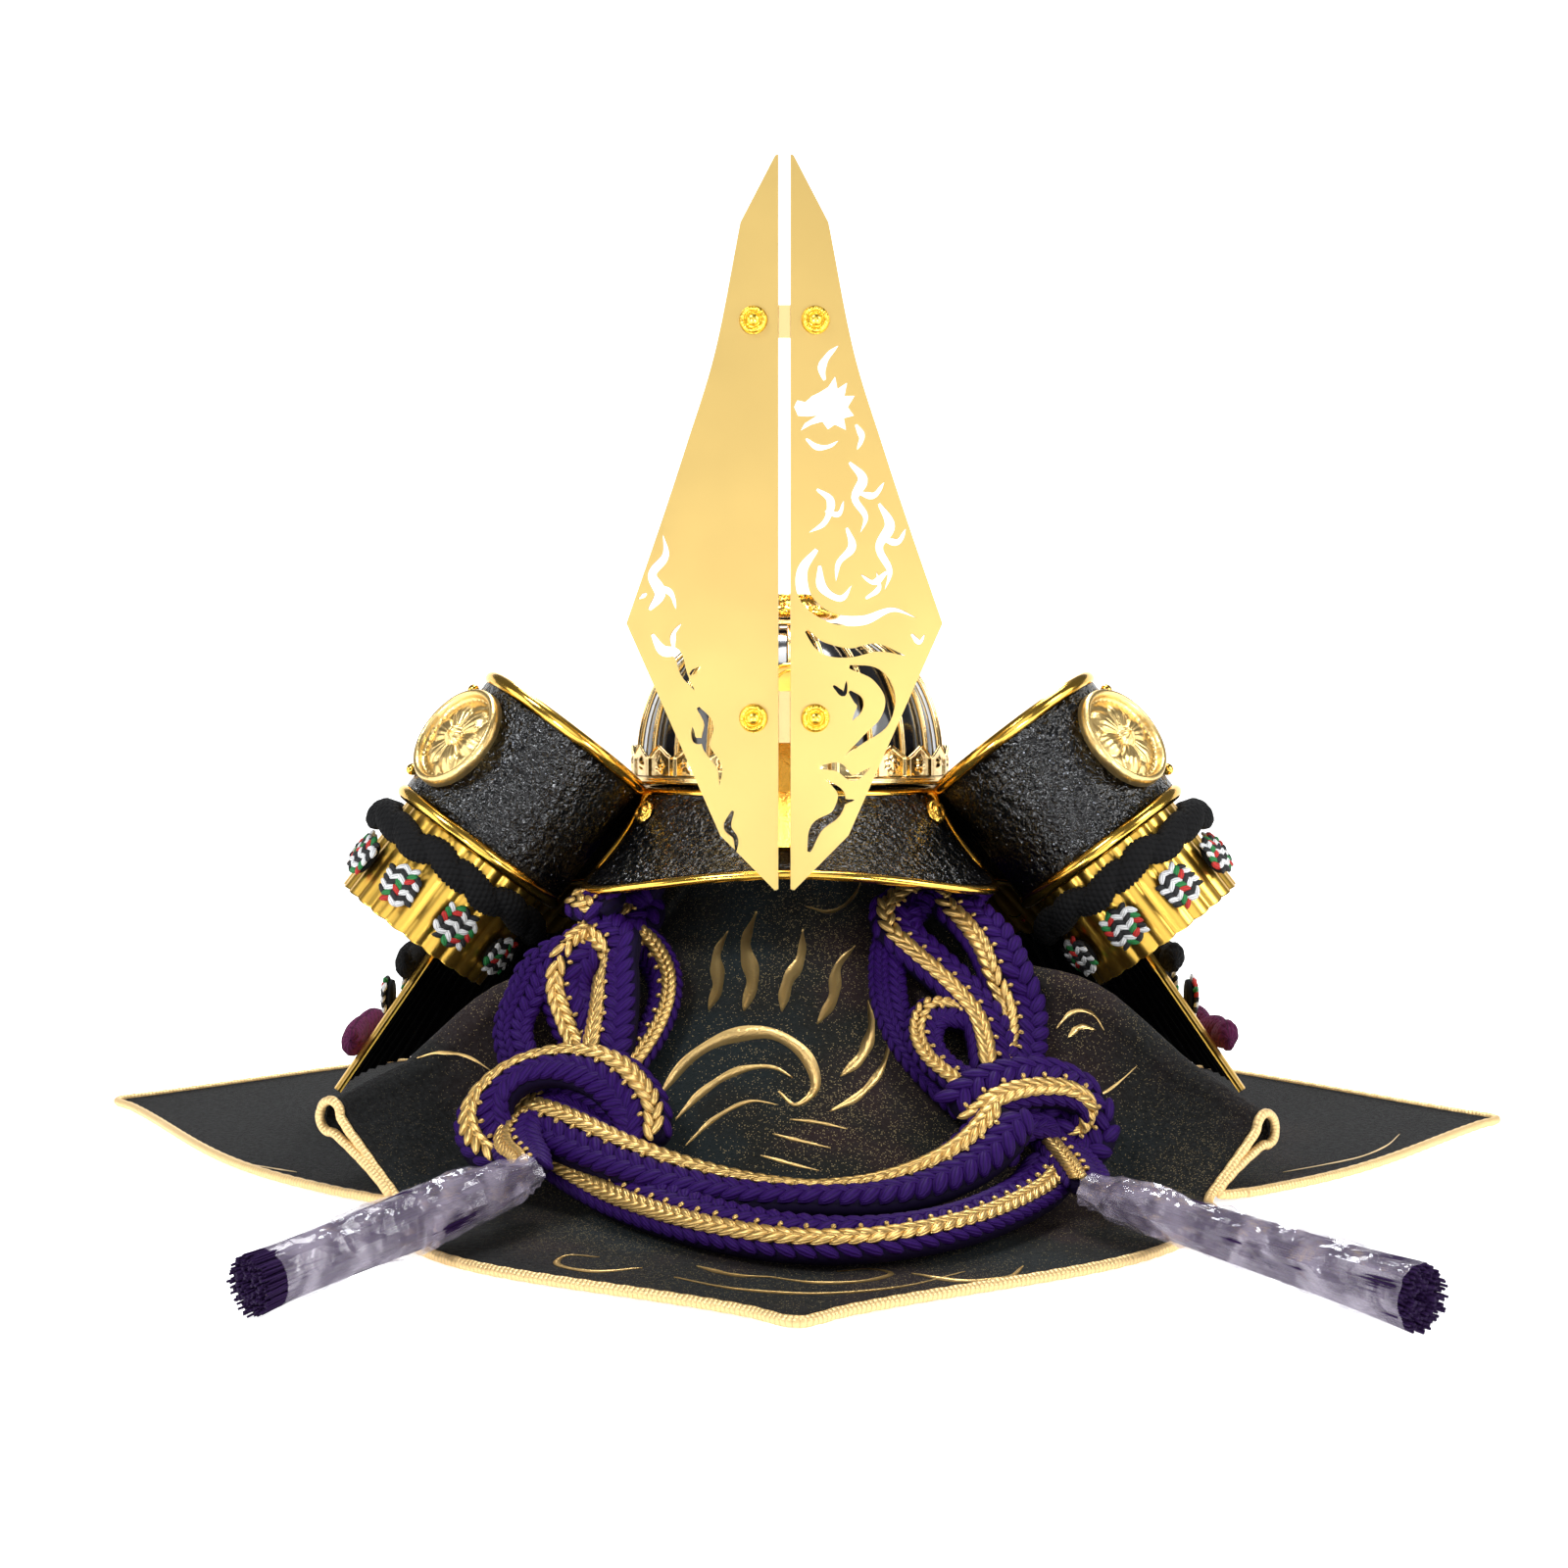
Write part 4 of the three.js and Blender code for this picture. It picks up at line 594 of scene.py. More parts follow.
@functools.cache
def make_finishes():
    """Every finish of the helmet, by name."""
    c = colours()
    made = {}
    made["gilt"] = gilt_finish("Bright Gilt", c.gilt, 0.17, 0.12, 150.0, 0.0004)
    made["lame gilt"] = gilt_finish("Lame Gilt", c.gilt, 0.3, 0.08, 90.0, 0.0002)
    made["cast gilt"] = gilt_finish("Cast Gilt", c.gilt, 0.26, 0.2, 700.0, 0.0006)
    made["rivet gilt"] = gilt_finish("Rivet Gilt", (1.0, 0.66, 0.09), 0.28, 0.1, 400.0, 0.0002)
    made["band gilt"] = gilt_finish("Band Gilt", (0.90, 0.66, 0.30), 0.2, 0.12, 300.0, 0.0004)
    made["medallion gilt"] = gilt_finish("Medallion Gilt", (0.86, 0.62, 0.25), 0.34, 0.2, 500.0, 0.0006)

    f = Finish("Satin Gilt Plate", metallic=1.0)
    where = f.add("ShaderNodeMapping", {"Vector": f.where(), "Scale": (9.0, 9.0, 0.25)})
    brushed = f.cloud(where, 900.0, 3.0)
    polish = f.use("Hand Polish", Roughness=0.36, Drift=0.1, Dents=60.0)
    f.set("Base Color", f.mix(polish["Tone"], tinted(c.pale_gilt, 0.9), c.pale_gilt))
    f.set("Roughness", polish["Roughness"])
    f.bump(brushed.outputs["Fac"], 0.12, 0.0001)
    made["pale gilt"] = f.material

    f = Finish("Black Lacquer", base_color=(0.006, 0.006, 0.008), coat_weight=0.7, coat_roughness=0.03)
    polish = f.use("Hand Polish", Roughness=0.16, Drift=0.08, Dents=60.0)
    f.set("Roughness", polish["Roughness"])
    f.bump(polish["Height"], 0.15, 0.0006)
    made["lacquer"] = f.material

    f = Finish("Grained Leather", specular=0.5)
    grain = f.use("Leather Grain", Scale=330.0, Crease=1.8)
    specks = f.use("Speckle", Scale=1300.0, Cover=0.02, Drift=90.0)
    # Painted sheen: the crests of the grain are painted a little lighter than the black between them.
    base = f.mix(grain["Painted Sheen"], (0.001, 0.001, 0.0012), (0.004, 0.004, 0.005))
    # Painted glints: sparse bluish-white specks stand for sparkling highlights on the black leather.
    f.set("Base Color", f.mix(specks["Mask"], base, (0.22, 0.24, 0.29)))
    f.set("Roughness", f.ramp(grain["Height"], (0.1, 0.12), (0.8, 0.2)))
    f.bump(grain["Height"], 1.0, 0.0010)
    made["leather"] = f.material

    f = Finish("Velvet Cloth", sheen_weight=0.02, sheen_roughness=0.5, specular=0.25)
    pile = f.cloud(f.where(), 520.0, 6.0, Roughness=0.7)
    drift = f.cloud(f.where(), 14.0, 3.0)
    specks = f.use("Speckle", Scale=2100.0, Cover=0.30, Drift=16.0)
    tips = f.ramp(pile.outputs["Fac"], (0.35, 0.0), (0.7, 1.0))
    nap = f.mix(tips, (0.0012, 0.0012, 0.0015), (0.011, 0.012, 0.0125))
    print_area = f.add("ShaderNodeAttribute", attribute_name="print_area").outputs["Fac"]
    hue = f.ramp(drift.outputs["Fac"], (0.40, (0.011, 0.020, 0.022)), (0.5, (0.012, 0.013, 0.010)),
                 (0.62, (0.034, 0.016, 0.016)))
    mist = f.mix(f.math("MULTIPLY", print_area, 0.8), nap, hue)
    glint = f.math("MULTIPLY", specks["Mask"], print_area)
    f.set("Base Color", f.mix(glint, mist, (0.40, 0.31, 0.15)))
    f.set("Roughness", f.ramp(pile.outputs["Fac"], (0.3, 0.95), (0.8, 0.75)))
    f.bump(pile.outputs["Fac"], 1.0, 0.0026)
    made["cloth"] = f.material

    f = Finish("Gold Print", metallic=0.85)
    polish = f.use("Hand Polish", Roughness=0.34, Drift=0.25, Dents=900.0)
    f.set("Base Color", f.mix(polish["Tone"], (0.42, 0.25, 0.06), (0.82, 0.56, 0.22)))
    f.set("Roughness", polish["Roughness"])
    f.bump(polish["Height"], 0.5, 0.0005)
    made["print"] = f.material

    def yarn(name, colour, across, slant, rough, sheen=0.2, metallic=0.0, low=0.35, strength=0.8):
        f = Finish(name, metallic=metallic, specular=0.5 if metallic else 0.12, roughness=rough,
                   sheen_weight=sheen)
        thread = f.use("Thread Lines", Across=across, Slant=slant, Fuzz=0.3)
        # Painted shade: in the grooves between the threads the colour falls to the share low of itself.
        f.set("Base Color", f.mix(thread["Shade"], tinted(colour, low), colour))
        f.bump(thread["Height"], strength, 0.0003)
        return f.material

    made["violet"] = yarn("Violet Braid", c.violet, 9.0, 0.0, 0.6, 0.0, low=0.22)
    # Painted shade: the braid's core is a much darker violet that stands for the shade between the stitches.
    made["violet painted shade"] = yarn("Violet Braid Painted Shade", tinted(c.violet, 0.16), 9.0, 0.0, 0.8, 0.0)
    made["gold thread"] = yarn("Gold Thread", c.gold_thread, 5.0, 0.0, 0.33, 0.0, 0.85, 0.25)
    made["piping"] = yarn("Gold Piping", (0.86, 0.60, 0.27), 0.0, 620.0, 0.42, 0.0, 0.55, 0.55, 0.6)
    made["black yarn"] = yarn("Black Wool", (0.006, 0.006, 0.0065), 12.0, 260.0, 0.75, 0.0, low=0.1)
    made["purple yarn"] = yarn("Purple Wool", c.purple_yarn, 10.0, 260.0, 0.9, 0.05)
    made["fibre"] = yarn("Tassel Fibre", (0.022, 0.006, 0.05), 3.0, 0.0, 0.6, 0.0)

    f = Finish("Mixed Braid", roughness=0.7)
    tint = f.add("ShaderNodeAttribute", attribute_name="tint")
    thread = f.use("Thread Lines", Across=7.0, Slant=0.0, Fuzz=0.3)
    # Painted shade: between their threads the tie stitches go near black.
    f.set("Base Color", f.mix(thread["Shade"], (0.01, 0.01, 0.01), tint.outputs["Color"]))
    f.bump(thread["Height"], 0.6, 0.0003)
    made["ties"] = f.material

    f = Finish("Clear Film", base_color=(0.50, 0.44, 0.56), roughness=0.04, specular=1.0,
               coat_weight=1.0, coat_roughness=0.03)
    crease = f.cloud(f.where(), 60.0, 2.0, Distortion=1.5)
    f.set("Alpha", f.ramp(crease.outputs["Fac"], (0.38, 0.12), (0.68, 0.34)))
    f.bump(crease.outputs["Fac"], 0.5, 0.004)
    made["film"] = f.material

    f = Finish("Pale Wood", roughness=0.55)
    where = f.add("ShaderNodeMapping", {"Vector": f.where(), "Scale": (1.0, 1.0, 0.12)})
    rings = f.cloud(where, 160.0, 5.0)
    late = f.ramp(rings.outputs["Fac"], (0.35, 0.0), (0.65, 1.0))
    f.set("Base Color", f.mix(late, (0.30, 0.17, 0.08), (0.47, 0.31, 0.17)))
    f.bump(rings.outputs["Fac"], 0.3, 0.0004)
    made["wood"] = f.material
    return made


def finish(name):
    return make_finishes()[name]


def repaint(node, material):
    """A CAD node that stays as it is gets the finish."""
    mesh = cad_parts[node].data
    mesh.materials.clear()
    mesh.materials.append(material)


# ---------------------------------------------------------------- copies on points
def copies_tree():
    """Geometry Nodes tree that sets a form on every point, turned and scaled by the point."""
    tree = bpy.data.node_groups.new("Copies On Points", "GeometryNodeTree")
    tree.interface.new_socket("Geometry", in_out="INPUT", socket_type="NodeSocketGeometry")
    tree.interface.new_socket("Form", in_out="INPUT", socket_type="NodeSocketObject")
    tree.interface.new_socket("Finish", in_out="INPUT", socket_type="NodeSocketMaterial")
    size = tree.interface.new_socket("Size", in_out="INPUT", socket_type="NodeSocketFloat")
    size.default_value = 1.0
    tree.interface.new_socket("Geometry", in_out="OUTPUT", socket_type="NodeSocketGeometry")
    n = Nodes(tree)
    inp, out = n.add("NodeGroupInput"), n.add("NodeGroupOutput")
    form = n.add("GeometryNodeObjectInfo", {"Object": inp.outputs["Form"]})
    turn = n.add("GeometryNodeInputNamedAttribute", {"Name": "turn"}, data_type="QUATERNION")
    scale = n.add("GeometryNodeInputNamedAttribute", {"Name": "scale"}, data_type="FLOAT_VECTOR")
    sized = n.add("ShaderNodeVectorMath", {0: scale.outputs["Attribute"]}, operation="SCALE")
    n.feed(sized.inputs["Scale"], inp.outputs["Size"])
    points = n.add("GeometryNodeInstanceOnPoints", {
        "Points": inp.outputs["Geometry"],
        "Instance": form.outputs["Geometry"],
        "Rotation": turn.outputs["Attribute"],
        "Scale": sized.outputs[0],
    })
    real = n.add("GeometryNodeRealizeInstances", {0: points.outputs[0]})
    painted = n.add("GeometryNodeSetMaterial", {"Geometry": real.outputs[0], "Material": inp.outputs["Finish"]})
    n.feed(out.inputs["Geometry"], painted.outputs[0])
    return tree


def turn_of(along, up):
    """Quaternion whose X runs along and whose Z points up."""
    x = unit(along)
    z = unit(np.asarray(up, float) - x * np.dot(up, x))
    y = np.cross(z, x)
    return Matrix(np.column_stack([x, y, z]).tolist()).to_quaternion()


def copies(name, rows, form, material, size=1.0):
    """Mesh with the form copied to each row: place, quaternion, scale and tint."""
    tree = bpy.data.node_groups.get("Copies On Points") or copies_tree()
    mesh = bpy.data.meshes.new(name)
    mesh.from_pydata([tuple(c * MM for c in row[0]) for row in rows], [], [])
    turn = mesh.attributes.new("turn", "QUATERNION", "POINT")
    turn.data.foreach_set("value", [c for row in rows for c in row[1]])
    scale = mesh.attributes.new("scale", "FLOAT_VECTOR", "POINT")
    scale.data.foreach_set("vector", [c for row in rows for c in row[2]])
    if len(rows[0]) > 3:
        tint = mesh.attributes.new("tint", "FLOAT_COLOR", "POINT")
        tint.data.foreach_set("color", [c for row in rows for c in (*row[3], 1.0)])
    holder = place(name, mesh)
    modifier = holder.modifiers.new("Copies", "NODES")
    modifier.node_group = tree
    sockets = {s.name: s.identifier for s in tree.interface.items_tree if s.in_out == "INPUT"}
    modifier[sockets["Form"]] = form
    modifier[sockets["Finish"]] = material
    modifier[sockets["Size"]] = size
    depsgraph = bpy.context.evaluated_depsgraph_get()
    result = bpy.data.meshes.new_from_object(
        holder.evaluated_get(depsgraph), preserve_all_data_layers=True, depsgraph=depsgraph
    )
    bpy.data.objects.remove(holder)
    for extra in ("turn", "scale"):
        if extra in result.attributes:
            result.attributes.remove(result.attributes[extra])
    result.polygons.foreach_set("use_smooth", [True] * len(result.polygons))
    return place(name, result)


def stitch_form():
    """One plump stitch of yarn, a millimetre long, wide and high."""
    shape = Shape()
    angle = circle(6) + 0.3
    stations = [(-0.36, 0.30), (-0.1, 0.5), (0.16, 0.5), (0.40, 0.32)]
    rings = np.array([[(x, r * math.cos(a), r * math.sin(a)) for a in angle] for x, r in stations])
    uv = np.array([[(x + 0.5, a / (2 * math.pi)) for a in angle] for x, _ in stations])
    ring_skin(shape, rings, uv, ends=((-0.5, 0, 0), (0.5, 0, 0)), tips=((0, 0.5), (1, 0.5)))
    return hidden(shape.build("Stitch Form"))


def bead_form():
    """Small round bead, a millimetre across."""
    turns = [math.pi * k / 5 for k in range(1, 5)]
    profile = [(0.5 * math.sin(a), -0.5 * math.cos(a)) for a in turns]
    return hidden(lathe([(0.02, -0.5), *profile, (0.02, 0.5)], 8).build("Bead Form"))


FORMS = []


def hidden(obj):
    """A form that is only copied: it is removed once everything is made."""
    FORMS.append(obj)
    return obj


def form(name):
    for obj in FORMS:
        if obj.name == name:
            return obj
    return {"Stitch Form": stitch_form, "Bead Form": bead_form}[name]()


# ---------------------------------------------------------------- bench measures, in millimetres
GAP = 0.3
BOWL = {"radius": 64.0, "base": 142.0, "height": 66.0, "power": 2.6, "ribs": 24, "wall": 2.5}
RIB_HEIGHT = 1.9
RIB_FOOT = 0.35
CROWN = {"radius": 66.7, "bottom": 145.3, "valley": 153.5, "peak": 157.5, "flower": 150.2}
BASE_RING = {"inner": 65.0, "outer": 69.5, "bottom": 142.2, "top": 145.0}
FRONT_PLATE = {"half_width": 12.0, "start": 0.115, "end": 0.42, "arch": 0.07, "wall": 1.2}
VISOR = {"top_radius": 66.3, "top": 137.0, "spread": 60.0, "half_width": 81.0, "back": -60.0, "front": -115.0}
VISOR_WALL = 1.8
VISOR_RIM = 1.8
LAME_RIM = {"radius": 2.9, "offset": 2.55}
MEDALLION = {"radius": 22, "along": 28, "turn": 135}

ROLL_CENTRE = np.array([93.0, -28.0, 162.0])
ROLL_AXIS = unit([0.595, -0.12, -0.795])
ROLL_INWARD = unit(np.array([-1.0, 0.0, 0.0]) + ROLL_AXIS * ROLL_AXIS[0])
ROLL_FRONT = unit(np.cross(ROLL_INWARD, ROLL_AXIS))
ROLL_TURN = 208.0
SIDE_LEFT = np.array([-1.0, 1.0, 1.0])

# Each lame: its roll (radius, from, to), its edges at the side and at the back, and its wall.
LAMES = {
    "lame_1": {"roll": (38.0, 2.5, 55.0), "side": (66, 136.5, 104, 100), "back": (66, 136.5, 97, 96),
               "start": -4.0, "wall": 2.0, "wave": 0.0},
    "lame_2": {"roll": (33.6, 50.0, 102.0), "side": (104.5, 106, 146, 73), "back": (99, 101, 127, 64),
               "start": -4.0, "wall": 1.2, "wave": 0.8},
    "lame_3": {"roll": None, "side": (151, 71, 190, 14), "back": (131, 67, 160, 13),
               "start": -7.7, "wall": 1.4, "wave": 1.2},
}

# Each row of lacing: its lame, how far down it lies, its lumps on a roll and behind, its half-thickness.
ROWS = {
    "yarn_2": ("lame_2", 0.39, 8, 20, 5.0),
    "ties_2": ("lame_2", 0.72, 5, 14, 4.2),
    "yarn_3": ("lame_3", 0.14, 0, 24, 5.0),
    "ties_3": ("lame_3", 0.42, 0, 16, 4.2),
    "purple_yarn_3": ("lame_3", 0.71, 0, 24, 5.0),
}

CREST_PLACE = np.array([-2.0, -122.0, 0.0])
CREST_WALL = 1.2
CREST_YAW = 5.0
CREST_RIVETS = {"upper": 314, "lower": 168}
CREST_RIVET_OUT = 11.4

# Rows of the cloth outwards: radius, height, then each pleat's length, lean and round top in front and behind.
CLOTH_ROWS = [
    (20, 203, 0, 0, 0, 0, 0, 0), (38, 150, 1, 0, 0.5, 1, 0, 0.5), (58, 112, 2, 0, 1.4, 3, 10, 1.4),
    (92, 81, 4, 4, 3.6, 7, 35, 2.4), (126, 54, 17, 10, 6, 10, 60, 2.8), (158, 28, 38, 26, 6.8, 13, 78, 3),
    (190, 2.6, 45, 40, 6.8, 18, 82, 3),
]
CLOTH_WALL = 2.2
CLOTH_TOP = 205.2
CLOTH_CORNERS = [((293, -22), 10, 8), ((8, 302), 8, 8), ((-293, 20), 8, 15), ((2, -302), 30, 27)]
CLOTH_PLEATS = [
    ((146, 150), "back", -1, (24, 82, 3)), ((-144, 152), "back", 1, (24, 82, 3)),
    ((-134, -166), "front", -1, (43, 55, 6.6)), ((145, -160), "front", 1, (37, 59, 6.6)),
]
PLEAT_NECK = 3.5
PIPING_RADIUS = 1.75

# The chin cord: width and thickness of its braids, their oval section and their core, then the listed routes.
BRAID = (22.0, 11.0)
SLIM_BRAID = (15.0, 9.0)
BRAID_POWER = 2.7
CORE_INSET = (1.0, 1.3)
KNOT_LEFT = {
    "strand_a": [(-56, -70, 90), (-66, -84, 85), (-75, -96, 82), (-81, -103, 78), (-83, -108, 72),
        (-81, -113, 64), (-77, -119, 55), (-72, -128, 45)],
    "strand_b": [(-62, -62, 97), (-78, -76, 97), (-69, -90, 93), (-64, -102, 82), (-64, -113, 71),
        (-64, -125, 60), (-65, -136, 50), (-67, -146, 40)],
    "ear_right": [(-62, -84, 84), (-57, -89, 82), (-50, -98, 76), (-46, -109, 68), (-47, -120, 59),
        (-52, -131, 50), (-59, -142, 42)],
    "ear_left": [(-84, -104, 80), (-91, -106, 75), (-97, -111, 68), (-101, -118, 58), (-100, -126, 48),
        (-92, -134, 38)],
    "wrap": [(-88, -172, 13), (-97, -170, 15.5), (-104, -163, 21), (-106, -155, 28), (-103, -149, 35),
        (-94, -145, 41), (-80, -145, 44), (-66, -151, 42.5), (-56, -160, 37), (-50, -170, 30),
        (-50, -178, 22)],
    "wrap_under": [(-97, -156, 16), (-99, -148, 23), (-93, -143, 30), (-82, -145, 33), (-72, -151, 32),
        (-62, -160, 27), (-56, -170, 20)],
}
KNOT_RIGHT = {
    "top": [(66, -72, 92), (58, -69, 96), (50, -68, 96), (43, -73, 92), (41, -84, 87), (43, -93, 81)],
    "slant": [(41, -80, 94), (40, -88, 88), (46.3, -94, 81), (56, -101, 72.5), (64.5, -107, 64.3),
        (70.5, -114, 57), (73.5, -122, 48), (74, -132, 39)],
    "outer": [(44, -80, 90), (38, -93, 81), (36.5, -103, 72), (35.5, -112, 61.5), (37.5, -122, 50.5),
        (43.5, -132, 41), (54, -142, 33), (64, -150, 28)],
    "bight": [(68, -112, 51), (61, -117, 57.5), (54, -121, 60), (48.4, -128, 55), (49.6, -138, 47.5),
        (56.2, -148, 42), (65, -156, 37.5)],
    "strand": [(64, -74, 95), (71, -84, 89), (77, -91, 82), (82, -97, 73), (85.5, -102, 63), (86, -109, 53),
        (84, -119, 44), (80, -132, 36)],
    "wrap": [(57, -172.5, 32), (62, -170, 36.2), (73, -164, 40), (87, -158, 40.5), (99, -153, 37),
        (105, -151, 30), (104.5, -154, 22), (97, -160, 17)],
    "wrap_under": [(66, -178, 20), (71, -170, 27), (80, -163, 30), (90, -158, 27), (95, -160, 20)],
}
SWAG_UPPER = [
    (-92, -152, 26), (-80, -164, 25), (-64, -178, 21), (-46, -191, 17), (-28, -200, 14), (-8, -206, 12),
    (12, -208, 11.5), (32, -204, 12.5), (49, -196, 16), (61, -188, 21), (69, -181, 27), (75, -173, 33),
]
SWAG_LOWER = [
    (-78, -164, 16), (-68, -176, 13), (-54, -194, 10), (-38, -214, 9), (-20, -233, 9), (0, -246, 9),
    (18, -249, 9), (36, -243, 9), (54, -229, 9), (70, -209, 9.5), (82, -190, 11), (90, -172, 15),
]
CORD_BEHIND = [
    (-62, -60, 101), (-71, -42, 101), (-76, -20, 102), (-74, 6, 103), (-64, 34, 102), (-40, 57, 101),
    (0, 67, 101), (40, 57, 101), (64, 34, 102), (74, 6, 103), (76, -20, 102), (72, -44, 100), (66, -62, 96),
]
TASSEL_CORD_LEFT = [(-92, -156, 25), (-93, -166, 23), (-91, -178, 21), (-87, -190, 20.5), (-84, -203, 20)]
TASSEL_CORD_RIGHT = [(89, -152, 24), (92, -161, 19), (95, -172, 16), (97, -186, 15), (97, -204, 14.6)]
# Film sleeves of the tassels: where each starts and ends, and its radius there and halfway.
GOLDEN_ANGLE = 2.39996
SLEEVES = {
    "left": ((-84, -205, 20), (-146, -288, 9.2), (8.6, 11.0, 8.8)),
    "right": ((97, -206, 14.6), (169, -312, 10.6), (8.0, 9.2, 10.0)),
}


# ---------------------------------------------------------------- surfaces that pieces are set out on
def dome_point(share, raise_by=0.0):
    """Radius and height on the dome at a share of its height, raised off it."""
    angle = share * math.pi / 2
    radius, height = BOWL["radius"] + raise_by, BOWL["height"] + raise_by
    return (
        radius * max(math.cos(angle), 0.0) ** (2 / BOWL["power"]),
        BOWL["base"] + height * math.sin(angle) ** (2 / BOWL["power"]),
    )


def visor_point(u, v):
    """Middle surface of the visor; u runs from -1 to 1 across, v from 0 at the bowl to 1."""
    a = rad(u * VISOR["spread"])
    top = np.array([VISOR["top_radius"] * math.sin(a), -VISOR["top_radius"] * math.cos(a), VISOR["top"]])
    sweep = u * math.pi / 2
    low = np.array([
        VISOR["half_width"] * math.sin(sweep),
        VISOR["back"] + (VISOR["front"] - VISOR["back"]) * math.cos(sweep),
        111 - 8 * math.sin(min(abs(u) / 0.8, 1) * math.pi / 2) ** 2,
    ])
    p = lerp(top, low, v)
    p[2] -= 3 * math.sin(math.pi * min(v, 1))
    return p


def visor_reach(u):
    over = max(0.0, (abs(u) - 0.78) / 0.22)
    return 1 - 0.24 * (1 - math.sqrt(1 - min(over, 1.0) ** 2))


def roll_point(radius, along, turn):
    """Right-hand roll: radius, distance along its axis, degrees from the inner fold."""
    return (ROLL_CENTRE + ROLL_AXIS * along + ROLL_INWARD * radius * math.cos(rad(turn))
            + ROLL_FRONT * radius * math.sin(rad(turn)))


def guard_point(lame, azimuth, share, raise_by=0.0):
    """A lame behind its fold: azimuth in degrees from +X, share from its top edge."""
    backness = max(0.0, math.sin(rad(azimuth))) ** 2
    top_r, top_z, low_r, low_z = (lerp(a, b, backness) for a, b in zip(lame["side"], lame["back"]))
    dr, dz = unit((low_r - top_r, low_z - top_z))
    radius = lerp(top_r, low_r, share) - dz * raise_by
    height = lerp(top_z, low_z, share) + dr * raise_by
    return np.array([radius * math.cos(rad(azimuth)), radius * math.sin(rad(azimuth)), height])


def lame_grid(lame, shares, spacing):
    """Rows of evenly spaced places from the right free end of a lame round to the left one."""
    def line(share):
        right = []
        if lame["roll"]:
            radius, start, end = lame["roll"]
            right = [roll_point(radius, lerp(start, end, share), t) for t in np.linspace(ROLL_TURN, 0, 105)]
        first = lame["start"]
        guard = [guard_point(lame, a, share) for a in np.linspace(first, 180 - first, 220)]
        return np.array(right + guard + [p * SIDE_LEFT for p in reversed(right)])

    middle = line(0.5)
    run = run_of(middle)
    at = np.linspace(0, run[-1], int(run[-1] / spacing) + 1)
    place = np.interp(at, run, np.arange(len(run)))
    low = np.minimum(place.astype(int), len(run) - 2)
    part = (place - low)[:, None]
    rows = []
    for share in shares:
        p = line(share)
        rows.append(p[low] * (1 - part) + p[low + 1] * part)
    return np.array(rows), at


def pleat_section(length, lean, round_top, side, arc):
    slant = np.array([math.sin(rad(lean)) * side, math.cos(rad(lean))])
    across = np.array([slant[1], -slant[0]])
    count = len(arc) + 1
    places = [(-PLEAT_NECK, 0.0)]
    for k, degrees in enumerate(arc):
        flat = PLEAT_NECK * (2 * (k + 1) / count - 1) * (1 - min(1.0, round_top))
        w = flat + round_top * math.sin(rad(degrees))
        h = length + round_top * math.cos(rad(degrees))
        places.append(tuple(slant * h + across * w))
    return places + [(PLEAT_NECK, 0.0)]


def cloth_grid(row_steps=5, sector=26, arc_steps=15, floor_steps=10):
    """Outer face of the draped cloth: rows from the post outwards, columns round it."""
    at = np.linspace(0, len(CLOTH_ROWS) - 1, (len(CLOTH_ROWS) - 1) * row_steps + 1)
    knots = np.arange(len(CLOTH_ROWS))
    rows = np.array(CLOTH_ROWS, float)
    table = np.stack([catmull(at, knots, rows[:, k]) for k in range(8)], axis=1)
    arc = np.linspace(-140, 140, arc_steps)
    foot_row = rows[-1]
    lines = [(row, 0.0, row[1]) for row in table]
    lines += [(foot_row, share, CLOTH_WALL) for share in np.linspace(0, 1, floor_steps + 1)[1:]]
    grid = []
    for row, share, z in lines:
        line = []
        for q, (corner, before_bulge, after_bulge) in enumerate(CLOTH_CORNERS):
            before, after = CLOTH_PLEATS[(q + 3) % 4], CLOTH_PLEATS[q]
            start, middle, end = (math.atan2(p[1], p[0]) for p in (before[0], corner, after[0]))
            while middle < start:
                middle += 2 * math.pi
            while end < middle:
                end += 2 * math.pi
            for j in range(1, sector):
                f = 2 * j / sector - 1
                a = lerp(middle, start, -f) if f < 0 else lerp(middle, end, f)
                radius = drape_radius(row[0], a)
                point = np.array([radius * math.cos(a), radius * math.sin(a)])
                pleat, bulge = (before, before_bulge) if f < 0 else (after, after_bulge)
                hem = hem_point(np.array(corner, float), np.array(pleat[0], float), abs(f), bulge)
                line.append((*lerp(point, hem, share), z))
            foot, kind, side, hem_pleat = after
            a = math.atan2(foot[1], foot[0])
            radius = lerp(drape_radius(row[0], a), math.hypot(*foot), share)
            out = np.array([math.cos(a), math.sin(a)])
            across = np.array([-out[1], out[0]])
            pleat = row[2:5] if kind == "front" else row[5:8]
            pleat = [lerp(p, h, share) for p, h in zip(pleat, hem_pleat)]
            for w, h in pleat_section(*pleat, side, arc):
                line.append((*(out * radius + across * w), z + h))
        grid.append(line)
    return np.array(grid)


def catmull(at, knots, values):
    """Smooth curve through the values that doesn't overshoot at its ends."""
    slope = np.gradient(values, knots)
    low = np.clip(np.searchsorted(knots, at, side="right") - 1, 0, len(knots) - 2)
    t = at - knots[low]
    return ((2 * t**3 - 3 * t**2 + 1) * values[low] + (t**3 - 2 * t**2 + t) * slope[low]
            + (-2 * t**3 + 3 * t**2) * values[low + 1] + (t**3 - t**2) * slope[low + 1])


def drape_radius(radius, azimuth):
    if radius <= 40:
        return radius
    return 40 + (radius - 40) * (160 - 30 * math.sin(azimuth) - 40) / (CLOTH_ROWS[-1][0] - 40)


